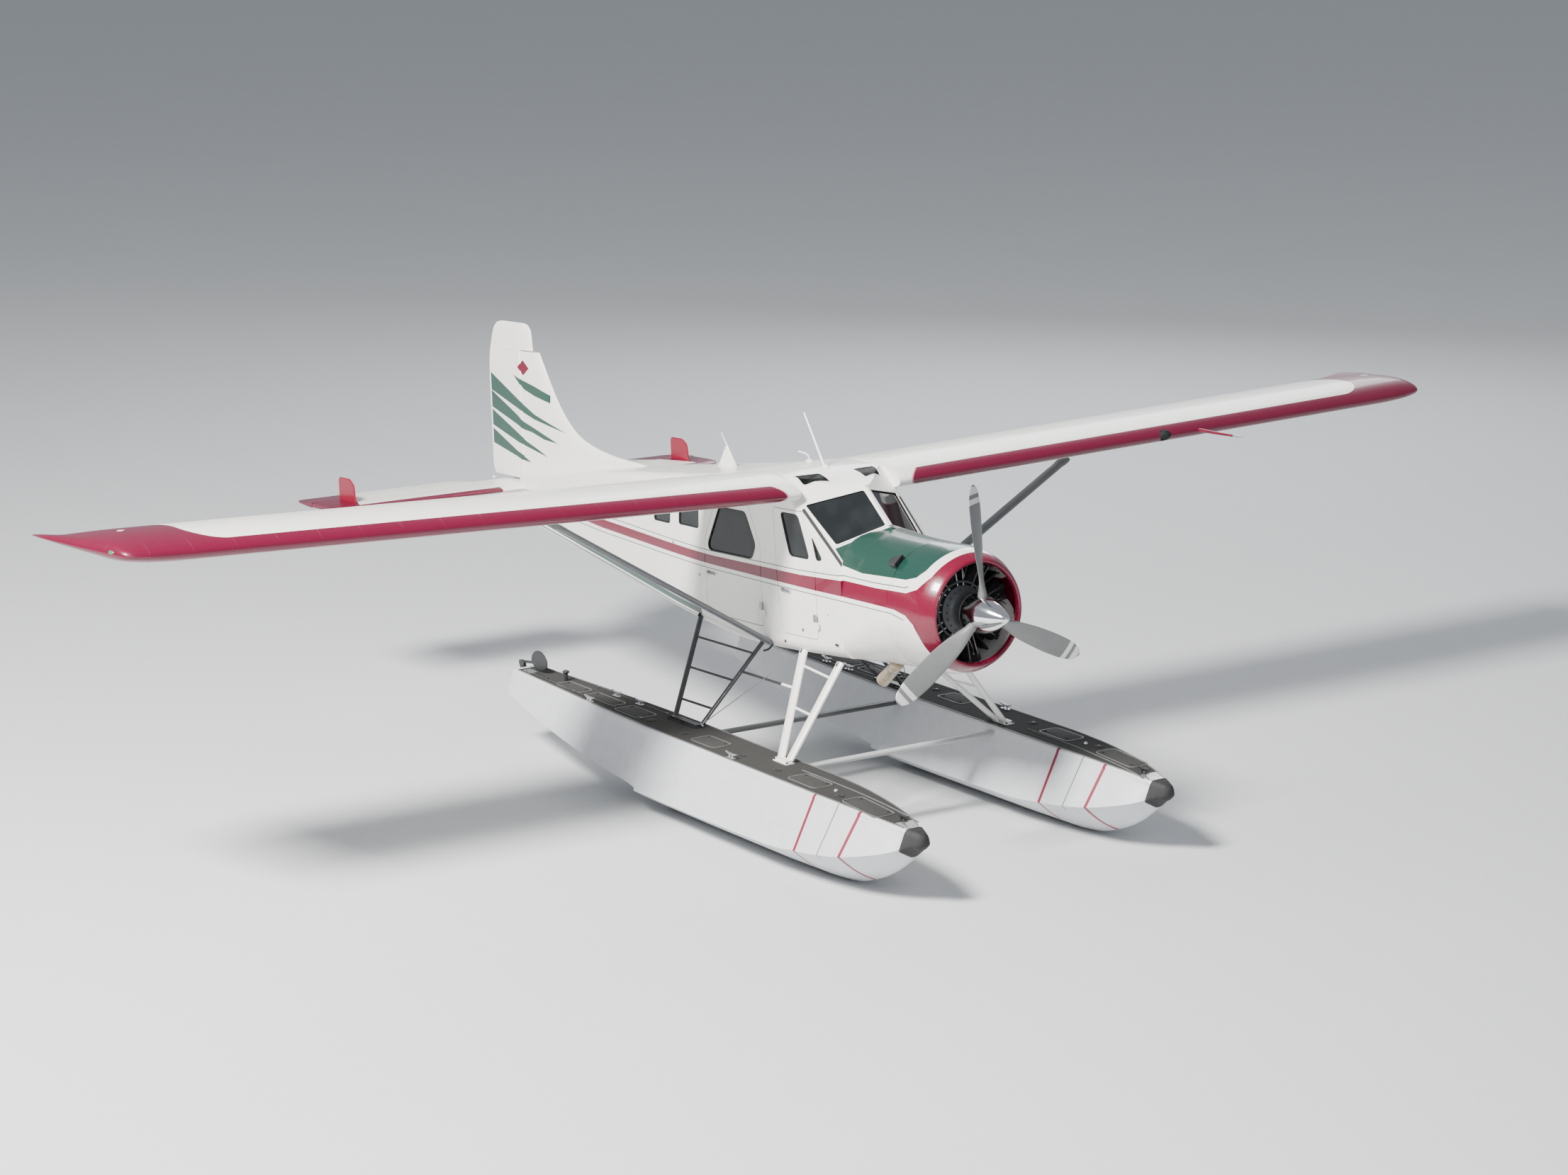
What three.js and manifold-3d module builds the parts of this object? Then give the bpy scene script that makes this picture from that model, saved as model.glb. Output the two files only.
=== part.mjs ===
// A single-engined, high-wing bush aeroplane standing on the keels of its two floats.
//
// Lengths are millimetres. The airframe is described in its own datum frame: x to the
// aeroplane's left, y aft, z up, with the origin at the leading edge of the wing root on the
// centreline. The floats are described in the stance frame: the same x, y level and aft,
// z up from the keels. The airframe sits nose-up on the floats by NOSE_UP.

import * as THREE from 'three';
import { mergeVertices } from 'three/addons/utils/BufferGeometryUtils.js';
import Module from 'manifold-3d';

const wasm = await Module();
wasm.setup();

const radians = THREE.MathUtils.degToRad;

// Stance
const NOSE_UP = radians(3.33);
const DATUM_HEIGHT = 3130; // wing-root leading edge above the keels
const CENTRE_Y = 1905.3; // middle of the whole length, in the stance frame

// Gaps
const SEAT = 0.3; // between pieces that touch
const TRIM = 0.4; // shift used when one piece is cut to another's surface
const RUN = 7; // round a moving panel

// Wing
const WING_ROOT = 620;
const WING_TIP = 7680;
const DIHEDRAL = radians(1.8);
const CHORD = 1575;
const WING_THICKNESS = 0.155;
const WING_CAMBER = 0.03;
const HINGE_Y = 1205;
const HINGE_Z = 30;
const NOSE_RADIUS = 56; // of a flap's or aileron's round leading edge
const FLAP_SPAN = [760, 3950]; // from the centreline
const AILERON_SPAN = [3957, 6860];

// Cabin
const SILL_Z = -750;
const SIDE_WALL = 36;
const REAR_WALL = 24;
const ROOF_WALL = 42;
const SCREEN_WALL = 30;
const FLOOR_Z = -1440;
const FIREWALL_Y = -800;
const CABIN_END_Y = 2950;

// Engine and propeller, on the thrust line
const THRUST_Z = -950;
const COWL_LIP_Y = -1970;
const COWL_END_Y = -1350;
const COWL_RADIUS = 600;
const COWL_MOUTH = 460;
const CYLINDER_COUNT = 9;
const BLADE_Y = -2050;
const BLADE_ANGLES = [-4.4, -124.4, 115.6]; // from the vertical, towards the left
const SPINNER_BASE_Y = -1930;
const SPINNER_RADIUS = 185;
const PLATE = 14; // thickness of the spinner's back plate

// Tail
const FIN_HINGE_Y = 6170;
const RUDDER_NOSE = 34;
const RUDDER_END_Y = 6870;
const TAIL_Z = -600;
const TAIL_SPAN = 2420;
const TAIL_LE_Y = 5950;
const ELEVATOR_Y = 6575;
const ELEVATOR_NOSE = 27;
const ELEVATOR_END_Y = 6985;
const ELEVATOR_INNER = 400;
const TORQUE_TUBE = 22;
const FINLET_X = 2100;

// Floats, in the stance frame
const FLOAT_X = 1400;
const DECK_Z = 800;
const KEEL_HALF = 25;
const STEP_Y = 920; // of the planing bottom, behind the centre of gravity
const TRANSOM_Y = 3800;
const RUDDER_POST_Y = 3828; // steering axis of a water rudder
const RUDDER_POST_RADIUS = 27.4;
const RUDDER_PIVOT = [3890, 835]; // y, z of the water rudder's lifting pin

// Points, rings and closed bodies

const point = (x, y, z) => new THREE.Vector3(x, y, z);

const airframeToStance = new THREE.Matrix4()
  .makeTranslation(0, 0, DATUM_HEIGHT)
  .multiply(new THREE.Matrix4().makeRotationX(-NOSE_UP));

function signedVolume(positions, faces) {
  const [a, b, c] = [point(), point(), point()];
  let volume = 0;
  for (let k = 0; k < faces.length; k += 3) {
    a.fromArray(positions, 3 * faces[k]);
    b.fromArray(positions, 3 * faces[k + 1]);
    c.fromArray(positions, 3 * faces[k + 2]);
    volume += a.dot(b.cross(c)) / 6;
  }
  return volume;
}

// A closed solid from a geometry whose faces close, whichever way they wind
function solid(geometry) {
  const bare = geometry.clone();
  bare.deleteAttribute('normal');
  bare.deleteAttribute('uv');
  const merged = mergeVertices(bare, 1e-3);
  const positions = merged.attributes.position.array;
  const faces = [];
  for (let k = 0; k < merged.index.count; k += 3) {
    const [a, b, c] = [0, 1, 2].map((step) => merged.index.getX(k + step));
    if (a !== b && b !== c && c !== a) faces.push(a, b, c);
  }
  if (signedVolume(positions, faces) < 0) faces.reverse();
  return new wasm.Manifold(new wasm.Mesh({
    numProp: 3,
    vertProperties: Float32Array.from(positions),
    triVerts: Uint32Array.from(faces),
  }));
}

// A closed body through rings of equal length, with a fan of triangles over each end
function loft(rings) {
  const count = rings[0].length;
  const last = rings.length - 1;
  const middle = (ring) => ring.reduce((sum, p) => sum.add(p), point(0, 0, 0)).divideScalar(count);
  const points = [...rings.flat(), middle(rings[0]), middle(rings[last])];
  const startMiddle = rings.length * count;
  const faces = [];
  for (let k = 0; k < count; k += 1) {
    const next = (k + 1) % count;
    for (let ring = 0; ring < last; ring += 1) {
      const here = ring * count;
      faces.push(here + k, here + next, here + count + next);
      faces.push(here + k, here + count + next, here + count + k);
    }
    faces.push(startMiddle, next, k);
    faces.push(startMiddle + 1, last * count + k, last * count + next);
  }
  const geometry = new THREE.BufferGeometry().setFromPoints(points);
  geometry.setIndex(faces);
  return solid(geometry);
}

// A prism between two values of x from an outline of [y, z] corners
function prism(outline, x0, x1) {
  return loft([x0, x1].map((x) => outline.map(([y, z]) => point(x, y, z))));
}

function block(x0, x1, y0, y1, z0, z1) {
  return prism([[y0, z0], [y1, z0], [y1, z1], [y0, z1]], x0, x1);
}

// A body of revolution about the thrust line from a profile of [radius, y]
function turned(profile, sides) {
  const points = profile.map(([radius, y]) => new THREE.Vector2(radius, y));
  return solid(new THREE.LatheGeometry(points, sides)).translate([0, 0, THRUST_Z]);
}

// A bar from one point to another with an oval section, its chord as near fore-and-aft as it can be
function bar(from, to, chord, thickness, sides = 10) {
  const along = to.clone().sub(from).normalize();
  const aft = Math.abs(along.y) > 0.95 ? point(0, 0, 1) : point(0, 1, 0);
  const across = along.clone().cross(aft).normalize();
  const chordwise = across.clone().cross(along);
  const ring = (centre) => Array.from({ length: sides }, (_, k) => {
    const angle = (2 * Math.PI * k) / sides;
    return centre.clone()
      .addScaledVector(chordwise, (chord / 2) * Math.cos(angle))
      .addScaledVector(across, (thickness / 2) * Math.sin(angle));
  });
  return loft([ring(from), ring(to)]);
}

const rod = (from, to, radius, sides = 10) => bar(from, to, 2 * radius, 2 * radius, sides);

const join = (...bodies) => bodies.reduce((whole, body) => whole.add(body));
const mirrored = (body) => body.mirror([1, 0, 0]);
const bothSides = (body) => body.add(mirrored(body));
const symmetric = (body) => bothSides(body.trimByPlane([1, 0, 0], 0));
const inStance = (body) => body.transform(airframeToStance.elements);
const datumPoint = (x, y, z) => point(x, y, z).applyMatrix4(airframeToStance);

// What is left of a body outside another, with a touching gap towards each of the given shifts
function cutTo(body, other, ...shifts) {
  return shifts.reduce(
    (left, shift) => left.subtract(other.translate(shift.map((step) => step * TRIM))),
    body.subtract(other),
  );
}

// An outline of a convex shape moved inwards by a distance
function inset(outline, distance) {
  const corners = outline.map(([y, z]) => new THREE.Vector2(y, z));
  const count = corners.length;
  const area = THREE.ShapeUtils.area(corners);
  return corners.map((corner, k) => {
    const before = corner.clone().sub(corners[(k + count - 1) % count]).normalize();
    const after = corners[(k + 1) % count].clone().sub(corner).normalize();
    const inward = new THREE.Vector2(-before.y - after.y, before.x + after.x).normalize();
    const turn = inward.dot(new THREE.Vector2(-after.y, after.x));
    const moved = corner.clone().addScaledVector(inward, (Math.sign(area) * distance) / turn);
    return [moved.x, moved.y];
  });
}

// Aerofoil of a given chord, as [y, z] corners from the trailing edge over the nose and back
function aerofoil(chord, thickness, camber, steps = 10) {
  const upper = [];
  const lower = [];
  const crest = 0.4;
  for (let k = 0; k <= steps; k += 1) {
    const s = (1 - Math.cos((Math.PI * k) / steps)) / 2;
    const half = 5 * thickness
      * (0.2969 * Math.sqrt(s) - 0.126 * s - 0.3516 * s ** 2 + 0.2843 * s ** 3 - 0.1015 * s ** 4);
    const mean = s < crest
      ? (camber / crest ** 2) * (2 * crest * s - s ** 2)
      : (camber / (1 - crest) ** 2) * (1 - 2 * crest + 2 * crest * s - s ** 2);
    upper.push([s * chord, mean * chord + half]);
    lower.push([s * chord, mean * chord - half]);
  }
  return [...upper.reverse(), ...lower.slice(1)];
}

// Fuselage

// A fuselage section: floor and roof heights, half widths low, at the sill and high, and the
// radii of the low and high corners. The ring runs from the keel up the left side and back.
function fuselageRing([y, bottom, top, low, sill, high, lowRadius, topRadius, crown]) {
  const steps = [0, 1, 2, 3, 4].map((k) => (k * Math.PI) / 8);
  const lowArc = steps.map((angle) => [
    low - lowRadius + lowRadius * Math.sin(angle),
    bottom + lowRadius - lowRadius * Math.cos(angle),
  ]);
  const topArc = steps.map((angle) => [
    high - topRadius + topRadius * Math.cos(angle),
    top - topRadius + topRadius * Math.sin(angle),
  ]);
  const sillZ = THREE.MathUtils.clamp(SILL_Z, bottom + lowRadius + 5, top - topRadius - 5);
  const half = [...lowArc, [sill, sillZ], ...topArc];
  const left = [[0, bottom], ...half, [0, top + crown]];
  const right = half.map(([x, z]) => [-x, z]).reverse();
  return [...left, ...right].map(([x, z]) => point(x, y, z));
}

// The same section moved in by the thickness of its walls, with a flat floor where there is one.
// Its low corners shrink where the two arcs of a side would otherwise meet.
function innerStation([y, bottom, top, low, sill, high, lowRadius, topRadius, crown], wall) {
  const floor = Math.max(bottom + wall, FLOOR_Z);
  const roof = top - ROOF_WALL;
  const upper = Math.max(topRadius - wall, 12);
  const lower = Math.min(Math.max(lowRadius - wall, 12), roof - floor - upper - 15);
  return [y, floor, roof, low - wall, sill - wall, high - wall, lower, upper, crown];
}

// Round-topped nose, from the cowl ring to under the windscreen:
// y, bottom, top, low, sill, high, low radius, top radius, crown
const NOSE = [
  [-1350, -1544, -356, 598, 600, 598, 575, 575, 3],
  [-1120, -1538, -352, 600, 604, 600, 500, 575, 3],
  [-740, -1519, -335, 604, 615, 606, 290, 575, 3],
  [-500, -1508, -318, 604, 618, 608, 170, 575, 3],
  [-200, -1508, -308, 596, 612, 600, 140, 575, 3],
];

// Square-topped cabin, from the windscreen to the baggage bulkhead, with the same columns
const CABIN = [
  [-660, -1500, 10, 596, 612, 592, 150, 170, 30],
  [-240, -1514, 10, 606, 626, 596, 125, 170, 30],
  [10, -1525, 50, 608, 630, 604, 120, 90, 28],
  [150, -1532, 100, 609, 630, 612, 120, 40, 24],
  [450, -1542, 148, 610, 630, 614, 120, 36, 18],
  [850, -1548, 142, 610, 630, 614, 120, 36, 18],
  [1300, -1524, 88, 610, 630, 612, 120, 36, 18],
  [1620, -1490, 42, 604, 624, 602, 120, 60, 18],
  [2300, -1415, -30, 556, 574, 540, 120, 110, 16],
  [2950, -1335, -96, 488, 504, 456, 120, 120, 14],
];

// Rear fuselage and tail cone, with the same columns
const REAR = [
  CABIN[CABIN.length - 1],
  [3550, -1262, -152, 424, 438, 388, 118, 118, 12],
  [4500, -1142, -270, 322, 332, 286, 100, 100, 8],
  [5400, -1032, -396, 224, 230, 196, 80, 80, 6],
  [6088, -946, -474, 156, 160, 132, 58, 58, 4],
  [6120, -942, -552, 151, 155, 128, 56, 56, 4],
  [ELEVATOR_Y - TORQUE_TUBE - SEAT, -884, -572, 88, 92, 74, 40, 40, 3],
];

// The left half of the windscreen is flat: its post top and bottom and its outer top corner
const SCREEN_TOP = point(0, -240, 40);
const SCREEN_FOOT = point(0, -620, -290);
const SCREEN_OUTER = point(580, 20, -130);
const screenNormal = SCREEN_FOOT.clone().sub(SCREEN_TOP)
  .cross(SCREEN_OUTER.clone().sub(SCREEN_TOP)).normalize();

// A point of the windscreen's plane by its share of the way out and down the post
function screenPoint(out, down, depth = 0) {
  return SCREEN_TOP.clone()
    .addScaledVector(SCREEN_OUTER.clone().sub(SCREEN_TOP), out)
    .addScaledVector(SCREEN_FOOT.clone().sub(SCREEN_TOP), down)
    .addScaledVector(screenNormal, depth);
}

// A body cut back behind both flats of the windscreen, at a depth below their outer face
function behindScreen(body, depth) {
  const offset = screenNormal.dot(SCREEN_TOP) - depth;
  return [1, -1].reduce(
    (left, side) => left.trimByPlane(
      [-side * screenNormal.x, -screenNormal.y, -screenNormal.z], -offset,
    ),
    body,
  );
}

// The pane's corners as shares of the way out and down
const PANE = [[0.05, 0.06], [0.91, 0.05], [0.83, 1.04], [0.05, 0.94]];

// Side windows and doors, as [y, z] outlines
const WINDOWS = {
  quarter: [[-195, -372], [-368, -575], [-282, -590]],
  rear_1: [[1770, -255], [2180, -262], [2180, -518], [1770, -512]],
  rear_2: [[2380, -282], [2740, -290], [2740, -545], [2380, -538]],
};
const DOORS = {
  front: {
    hingeY: -270,
    knuckleZ: -1180,
    outline: [[-262, -1360], [340, -1360], [430, -150], [-30, -150], [-262, -640]],
    window: [[25, -190], [300, -190], [150, -590], [-165, -590]],
  },
  rear: {
    hingeY: 647,
    knuckleZ: -1180,
    outline: [[655, -1350], [1655, -1335], [1655, -620], [1440, -180], [850, -180], [655, -560]],
    window: [[910, -255], [1370, -255], [1585, -640], [1560, -700], [800, -700], [735, -560]],
  },
};
const HINGE_X = 640; // of both door hinges, just outside the skin
const SKYLIGHT = [195, 485, 20, 255]; // inner and outer x, fore and aft y

const noseBody = symmetric(loft(NOSE.map(fuselageRing)));
const cabinBody = behindScreen(symmetric(loft(CABIN.map(fuselageRing))), 0);
const rearBody = symmetric(loft(REAR.map(fuselageRing)));
const frontBody = noseBody.add(cabinBody);
const fuselageBody = join(frontBody, rearBody);

const hollow = (stations, wall) => symmetric(
  loft(stations.map((station) => fuselageRing(innerStation(station, wall)))),
);
const noseCavity = hollow(NOSE, SIDE_WALL);
const cabinCavity = behindScreen(hollow(CABIN, SIDE_WALL), SCREEN_WALL);
const cavity = noseCavity.add(cabinCavity);

function paneSlab(shrink, top, bottom) {
  const centre = [0.5, 0.5];
  const ring = (depth) => PANE.map(([out, down]) => screenPoint(
    centre[0] + (out - centre[0]) * shrink,
    centre[1] + (down - centre[1]) * shrink,
    depth,
  ));
  return loft([ring(top), ring(bottom)]);
}

// A hinge knuckle outside the skin, its strap running aft (1) or forward (-1) to a foot in the panel
function doorKnuckle(door, fromZ, toZ, way) {
  const pin = rod(point(HINGE_X, door.hingeY, fromZ), point(HINGE_X, door.hingeY, toZ), 9);
  const reach = (near, far) => [near, far].map((step) => door.hingeY + way * step).sort((a, b) => a - b);
  const strap = block(HINGE_X - 7, HINGE_X, ...reach(0, 44), fromZ, toZ);
  const foot = block(600, HINGE_X, ...reach(24, 44), fromZ, toZ);
  return join(pin, strap, foot);
}

function makeCabin() {
  const room = cavity.trimByPlane([0, 1, 0], FIREWALL_Y + 25)
    .trimByPlane([0, -1, 0], -(CABIN_END_Y - 40));
  let shell = frontBody.trimByPlane([0, 1, 0], FIREWALL_Y).subtract(room);
  shell = shell.subtract(bothSides(paneSlab(1, 60, -60)));
  for (const outline of Object.values(WINDOWS)) {
    shell = shell.subtract(bothSides(prism(outline, 400, 800)));
  }
  const [x0, x1, y0, y1] = SKYLIGHT;
  shell = shell.subtract(bothSides(block(x0, x1, y0, y1, 0, 300)));
  const doors = {};
  for (const [name, door] of Object.entries(DOORS)) {
    const knuckleTop = door.knuckleZ + 70;
    const leaf = doorKnuckle(door, door.knuckleZ, knuckleTop, 1);
    doors[name] = shell.intersect(prism(inset(door.outline, RUN), 500, 800))
      .subtract(prism(door.window, 400, 800)).add(leaf.subtract(cavity));
    shell = shell.subtract(bothSides(prism(door.outline, 500, 800)));
    const frameLeaf = doorKnuckle(door, door.knuckleZ - 60, door.knuckleZ - SEAT, -1);
    shell = shell.add(bothSides(frameLeaf.subtract(cavity)));
  }
  return { shell, doors };
}

const cabin = makeCabin();

function makeNoseCowl() {
  const tube = noseBody.subtract(noseCavity);
  return tube.trimByPlane([0, -1, 0], -(FIREWALL_Y - SEAT));
}

function makeRearFuselage() {
  return rearBody.trimByPlane([0, 1, 0], CABIN_END_Y + SEAT)
    .subtract(hollow(REAR.slice(0, 5), REAR_WALL));
}

// Engine, cowl ring and propeller

function makeCowlRing() {
  const end = COWL_END_Y - SEAT;
  return turned([
    [COWL_MOUTH, -1925], [464, -1950], [475, -1966], [490, COWL_LIP_Y], [507, -1955], [530, -1918],
    [558, -1862], [580, -1800], [594, -1710], [COWL_RADIUS, -1600], [COWL_RADIUS, end],
    [COWL_RADIUS - 14, end], [COWL_RADIUS - 14, -1600], [578, -1715], [562, -1800], [535, -1862],
    [505, -1905], [480, -1900], [COWL_MOUTH, -1925],
  ], 40);
}

function makeEngine() {
  const front = SPINNER_BASE_Y + PLATE + SEAT;
  const back = FIREWALL_Y - SEAT;
  const crankcase = turned([
    [0, front], [55, front], [60, -1880], [100, -1850], [150, -1770], [232, -1730],
    [232, -1400], [190, -1370], [190, -1000], [110, back], [0, back],
  ], 24);
  const cylinders = Array.from({ length: CYLINDER_COUNT }, (_, k) => {
    const angle = (2 * Math.PI * k) / CYLINDER_COUNT;
    const at = (radius) => point(radius * Math.sin(angle), -1560, THRUST_Z + radius * Math.cos(angle));
    return rod(at(200), at(440), 74, 12).add(rod(at(425), at(562), 92, 12));
  });
  return join(crankcase, ...cylinders);
}

// Stations of a blade: radius, chord, thickness, pitch in degrees
const BLADE = [
  [90, 94, 92, 45], [190, 92, 86, 45], [290, 130, 58, 44], [430, 178, 38, 39], [620, 208, 27, 32],
  [820, 216, 20, 27], [1000, 200, 15, 23], [1120, 158, 11, 21], [1185, 96, 8, 20], [1210, 34, 6, 20],
];

function bladeRing([radius, chord, thickness, pitch]) {
  const tilt = radians(pitch);
  return Array.from({ length: 12 }, (_, k) => {
    const angle = (2 * Math.PI * k) / 12;
    const u = (chord / 2) * Math.cos(angle);
    const v = (thickness / 2) * Math.sin(angle);
    return point(
      u * Math.cos(tilt) + v * Math.sin(tilt), u * Math.sin(tilt) - v * Math.cos(tilt), radius,
    );
  });
}

function makePropeller() {
  const plateBack = SPINNER_BASE_Y + PLATE;
  const plateFront = SPINNER_BASE_Y + SEAT;
  const hub = turned([
    [0, plateBack], [SPINNER_RADIUS, plateBack], [SPINNER_RADIUS, plateFront], [105, plateFront],
    [105, -2150], [60, -2170], [0, -2170],
  ], 32);
  const blades = BLADE_ANGLES.map((angle) => loft(BLADE.map(bladeRing))
    .rotate([0, angle, 0]).translate([0, BLADE_Y, THRUST_Z]));
  return join(hub, ...blades);
}

function makeSpinner() {
  const outer = [
    [SPINNER_RADIUS, SPINNER_BASE_Y], [SPINNER_RADIUS, -1975], [178, -2040], [160, -2125], [128, -2215],
    [88, -2300], [48, -2368], [18, -2402],
  ];
  const inner = [
    [0, -2372], [36, -2352], [78, -2286], [120, -2200], [152, -2112], [171, -2035], [179, -1972],
  ];
  const shell = turned([
    [0, -2410], ...outer.reverse(), [SPINNER_RADIUS - 6, SPINNER_BASE_Y], ...inner.reverse(),
  ], 32);
  const holes = BLADE_ANGLES.map((angle) => rod(point(0, 0, 60), point(0, 0, 260), 56, 16)
    .rotate([0, angle, 0]).translate([0, BLADE_Y, THRUST_Z]));
  return holes.reduce((left, hole) => left.subtract(hole), shell);
}

function makeExhaust() {
  const pipe = rod(point(-270, -1130, -1455), point(-262, -800, -1712), 66, 14);
  const bore = rod(point(-265, -940, -1603), point(-261, -760, -1743), 58, 14);
  return cutTo(pipe, noseBody, [0, 0, -1]).subtract(bore);
}

function makeScoop() {
  const rings = [
    [-1440, 72, 66], [-1300, 66, 52], [-1180, 44, 18],
  ].map(([y, half, height]) => [
    [-half, -60], [half, -60], [half, height - 18],
    [half - 18, height], [18 - half, height], [-half, height - 18],
  ].map(([x, z]) => point(x, y, z)));
  const mouth = block(-54, 54, -1500, -1330, 8, 44);
  const scoop = loft(rings).subtract(mouth).translate([0, 0, COWL_RADIUS - 6])
    .rotate([0, -43, 0]).translate([0, 0, THRUST_Z]);
  return cutTo(scoop.trimByPlane([0, 1, 0], COWL_END_Y + SEAT), noseBody, [-1, 0, 1]);
}

// Wings. A wing is built level with its root at x = 0 and then raised to its dihedral.

const wingPose = new THREE.Matrix4().makeTranslation(WING_ROOT, 0, 0)
  .multiply(new THREE.Matrix4().makeRotationY(-DIHEDRAL));
const placeWing = (body) => body.transform(wingPose.elements);
const spanwise = (x) => x - WING_ROOT;

// Raked tip: x, leading and trailing edge, share of the full thickness, rise of the chord line
const TIP = [
  [6900, 0, 1575, 1, 0],
  [7200, 4, 1575, 0.93, 6],
  [7360, 20, 1572, 0.8, 14],
  [7440, 60, 1568, 0.68, 20],
  [7500, 250, 1560, 0.52, 30],
  [7580, 620, 1545, 0.34, 45],
  [7640, 950, 1520, 0.2, 58],
  [WING_TIP, 1200, 1470, 0.1, 66],
];

function wingRing([x, leading, trailing, share, rise]) {
  const chord = trailing - leading;
  const camber = (WING_CAMBER * share * CHORD) / chord;
  return aerofoil(chord, WING_THICKNESS * share * CHORD, camber)
    .map(([y, z]) => point(spanwise(x), leading + y, z + rise));
}

// A flap, aileron, rudder or elevator section: a round nose on the hinge and a thin trailing edge
function surfaceOutline(nose, tail, tailHalf) {
  const arc = [0, 1, 2, 3, 4, 5, 6].map((k) => radians(78 + (204 * k) / 6));
  return [
    ...arc.map((angle) => [nose * Math.cos(angle), nose * Math.sin(angle)]),
    [tail[0], tail[1] - tailHalf], [tail[0], tail[1] + tailHalf],
  ];
}

function makeWing() {
  const rings = [[560, 0, CHORD, 1, 0], ...TIP].map(wingRing);
  const well = block(
    spanwise(FLAP_SPAN[0] - RUN), spanwise(AILERON_SPAN[1] + RUN),
    HINGE_Y - NOSE_RADIUS - RUN, CHORD + 100, -400, 400,
  );
  return cutTo(placeWing(loft(rings).subtract(well)), frontBody, [1, 0, 0], [1, 0, 1]);
}

function makeWingSurface([x0, x1], pinIn, pinOut) {
  const outline = surfaceOutline(NOSE_RADIUS, [CHORD - HINGE_Y, -HINGE_Z], 4)
    .map(([y, z]) => [y + HINGE_Y, z + HINGE_Z]);
  const panel = prism(outline, spanwise(x0), spanwise(x1));
  const pin = rod(
    point(spanwise(x0 - pinIn), HINGE_Y, HINGE_Z),
    point(spanwise(x1 + pinOut), HINGE_Y, HINGE_Z), 9,
  );
  return placeWing(panel.add(pin));
}

// Tail

// Fin outline by height: z, leading edge, half thickness
const FIN = [
  [-560, 3420, 40], [-160, 3560, 38], [-110, 4280, 38], [-60, 4640, 38], [30, 4970, 38],
  [160, 5190, 37], [340, 5385, 36], [590, 5575, 34], [870, 5765, 31],
];
const finBack = FIN_HINGE_Y - RUDDER_NOSE - RUN;

function finRing([z, leading, half]) {
  const length = finBack - leading;
  const nose = Math.min(120, length * 0.12);
  const side = [[leading + nose * 0.25, half * 0.45], [leading + nose, half * 0.8],
    [leading + length * 0.4, half], [finBack, half * 0.95]];
  return [[leading, 0], ...side, ...side.map(([y, x]) => [y, -x]).reverse()]
    .map(([y, x]) => point(x, y, z));
}

function makeFin() {
  return cutTo(loft(FIN.map(finRing)), fuselageBody, [0, 0, 1]);
}

// Rudder outline by height: z, trailing edge; and its horn: z, leading edge, trailing edge
const RUDDER = [[-530, 6820], [-440, 6868], [500, RUDDER_END_Y], [760, 6850], [880, 6822]];
const RUDDER_HORN = [[882, 5905, 6822], [1080, 5930, 6740], [1150, 5985, 6660], [1172, 6060, 6560]];

function makeRudder() {
  const section = ([z, trailing]) => surfaceOutline(RUDDER_NOSE, [trailing - FIN_HINGE_Y, 0], 4)
    .map(([y, x]) => point(x, y + FIN_HINGE_Y, z));
  const body = loft(RUDDER.map(section));
  const hornRing = ([z, leading, trailing], half) => [
    [leading, 0], [leading + 40, half * 0.7], [FIN_HINGE_Y, half], [trailing, 4],
    [trailing, -4], [FIN_HINGE_Y, -half], [leading + 40, -half * 0.7],
  ].map(([y, x]) => point(x, y, z));
  const thickness = [RUDDER_NOSE, 30, 22, 8];
  const horn = loft(RUDDER_HORN.map((row, k) => hornRing(row, thickness[k])));
  const neck = loft([878, 884].map((z) => hornRing([z, FIN_HINGE_Y - 30, 6822], RUDDER_NOSE)));
  const pin = rod(point(0, FIN_HINGE_Y, -500), point(0, FIN_HINGE_Y, -620), 12);
  return join(body, horn, neck, cutTo(pin, fuselageBody, [0, 0, 1]));
}

const tailBack = ELEVATOR_Y - ELEVATOR_NOSE - RUN;

function tailRing([x, leading, half]) {
  const length = tailBack - leading;
  const side = [
    [leading + 14, half * 0.45], [leading + 60, half * 0.78], [leading + length * 0.35, half],
    [tailBack, Math.min(half, ELEVATOR_NOSE + 1)],
  ];
  return [[leading, 0], ...side, ...side.map(([y, z]) => [y, -z]).reverse()]
    .map(([y, z]) => point(x, y, TAIL_Z + z));
}

function makeTailplane() {
  const rings = [
    [40, TAIL_LE_Y, 42], [2200, TAIL_LE_Y, 36], [2340, 5985, 30], [TAIL_SPAN, 6080, 20],
  ].map(tailRing);
  const slot = block(
    FINLET_X - 10 - SEAT, FINLET_X + 10 + SEAT, 6100 - SEAT, 6520 + SEAT, -2000, 500,
  );
  return cutTo(loft(rings), fuselageBody, [1, 0, 0]).subtract(slot);
}

function makeElevator() {
  const outline = (trailing) => surfaceOutline(ELEVATOR_NOSE, [trailing - ELEVATOR_Y, 0], 4)
    .map(([y, z]) => [y + ELEVATOR_Y, z + TAIL_Z]);
  const ring = ([x, trailing]) => outline(trailing).map(([y, z]) => point(x, y, z));
  const half = loft([
    [ELEVATOR_INNER, 6900], [ELEVATOR_INNER + 90, ELEVATOR_END_Y], [2300, ELEVATOR_END_Y],
    [2385, 6940], [TAIL_SPAN, 6850],
  ].map(ring));
  const tube = rod(
    point(-ELEVATOR_INNER - 20, ELEVATOR_Y, TAIL_Z),
    point(ELEVATOR_INNER + 20, ELEVATOR_Y, TAIL_Z), TORQUE_TUBE, 14,
  );
  return join(bothSides(half), tube);
}

function makeFinlet() {
  const outline = [
    [6100, -860], [6130, -885], [6500, -885], [6520, -860],
    [6520, -340], [6490, -322], [6270, -322], [6180, -380],
  ];
  return prism(outline, FINLET_X - 10, FINLET_X + 10);
}

// Floats and their struts, in the stance frame

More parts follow.
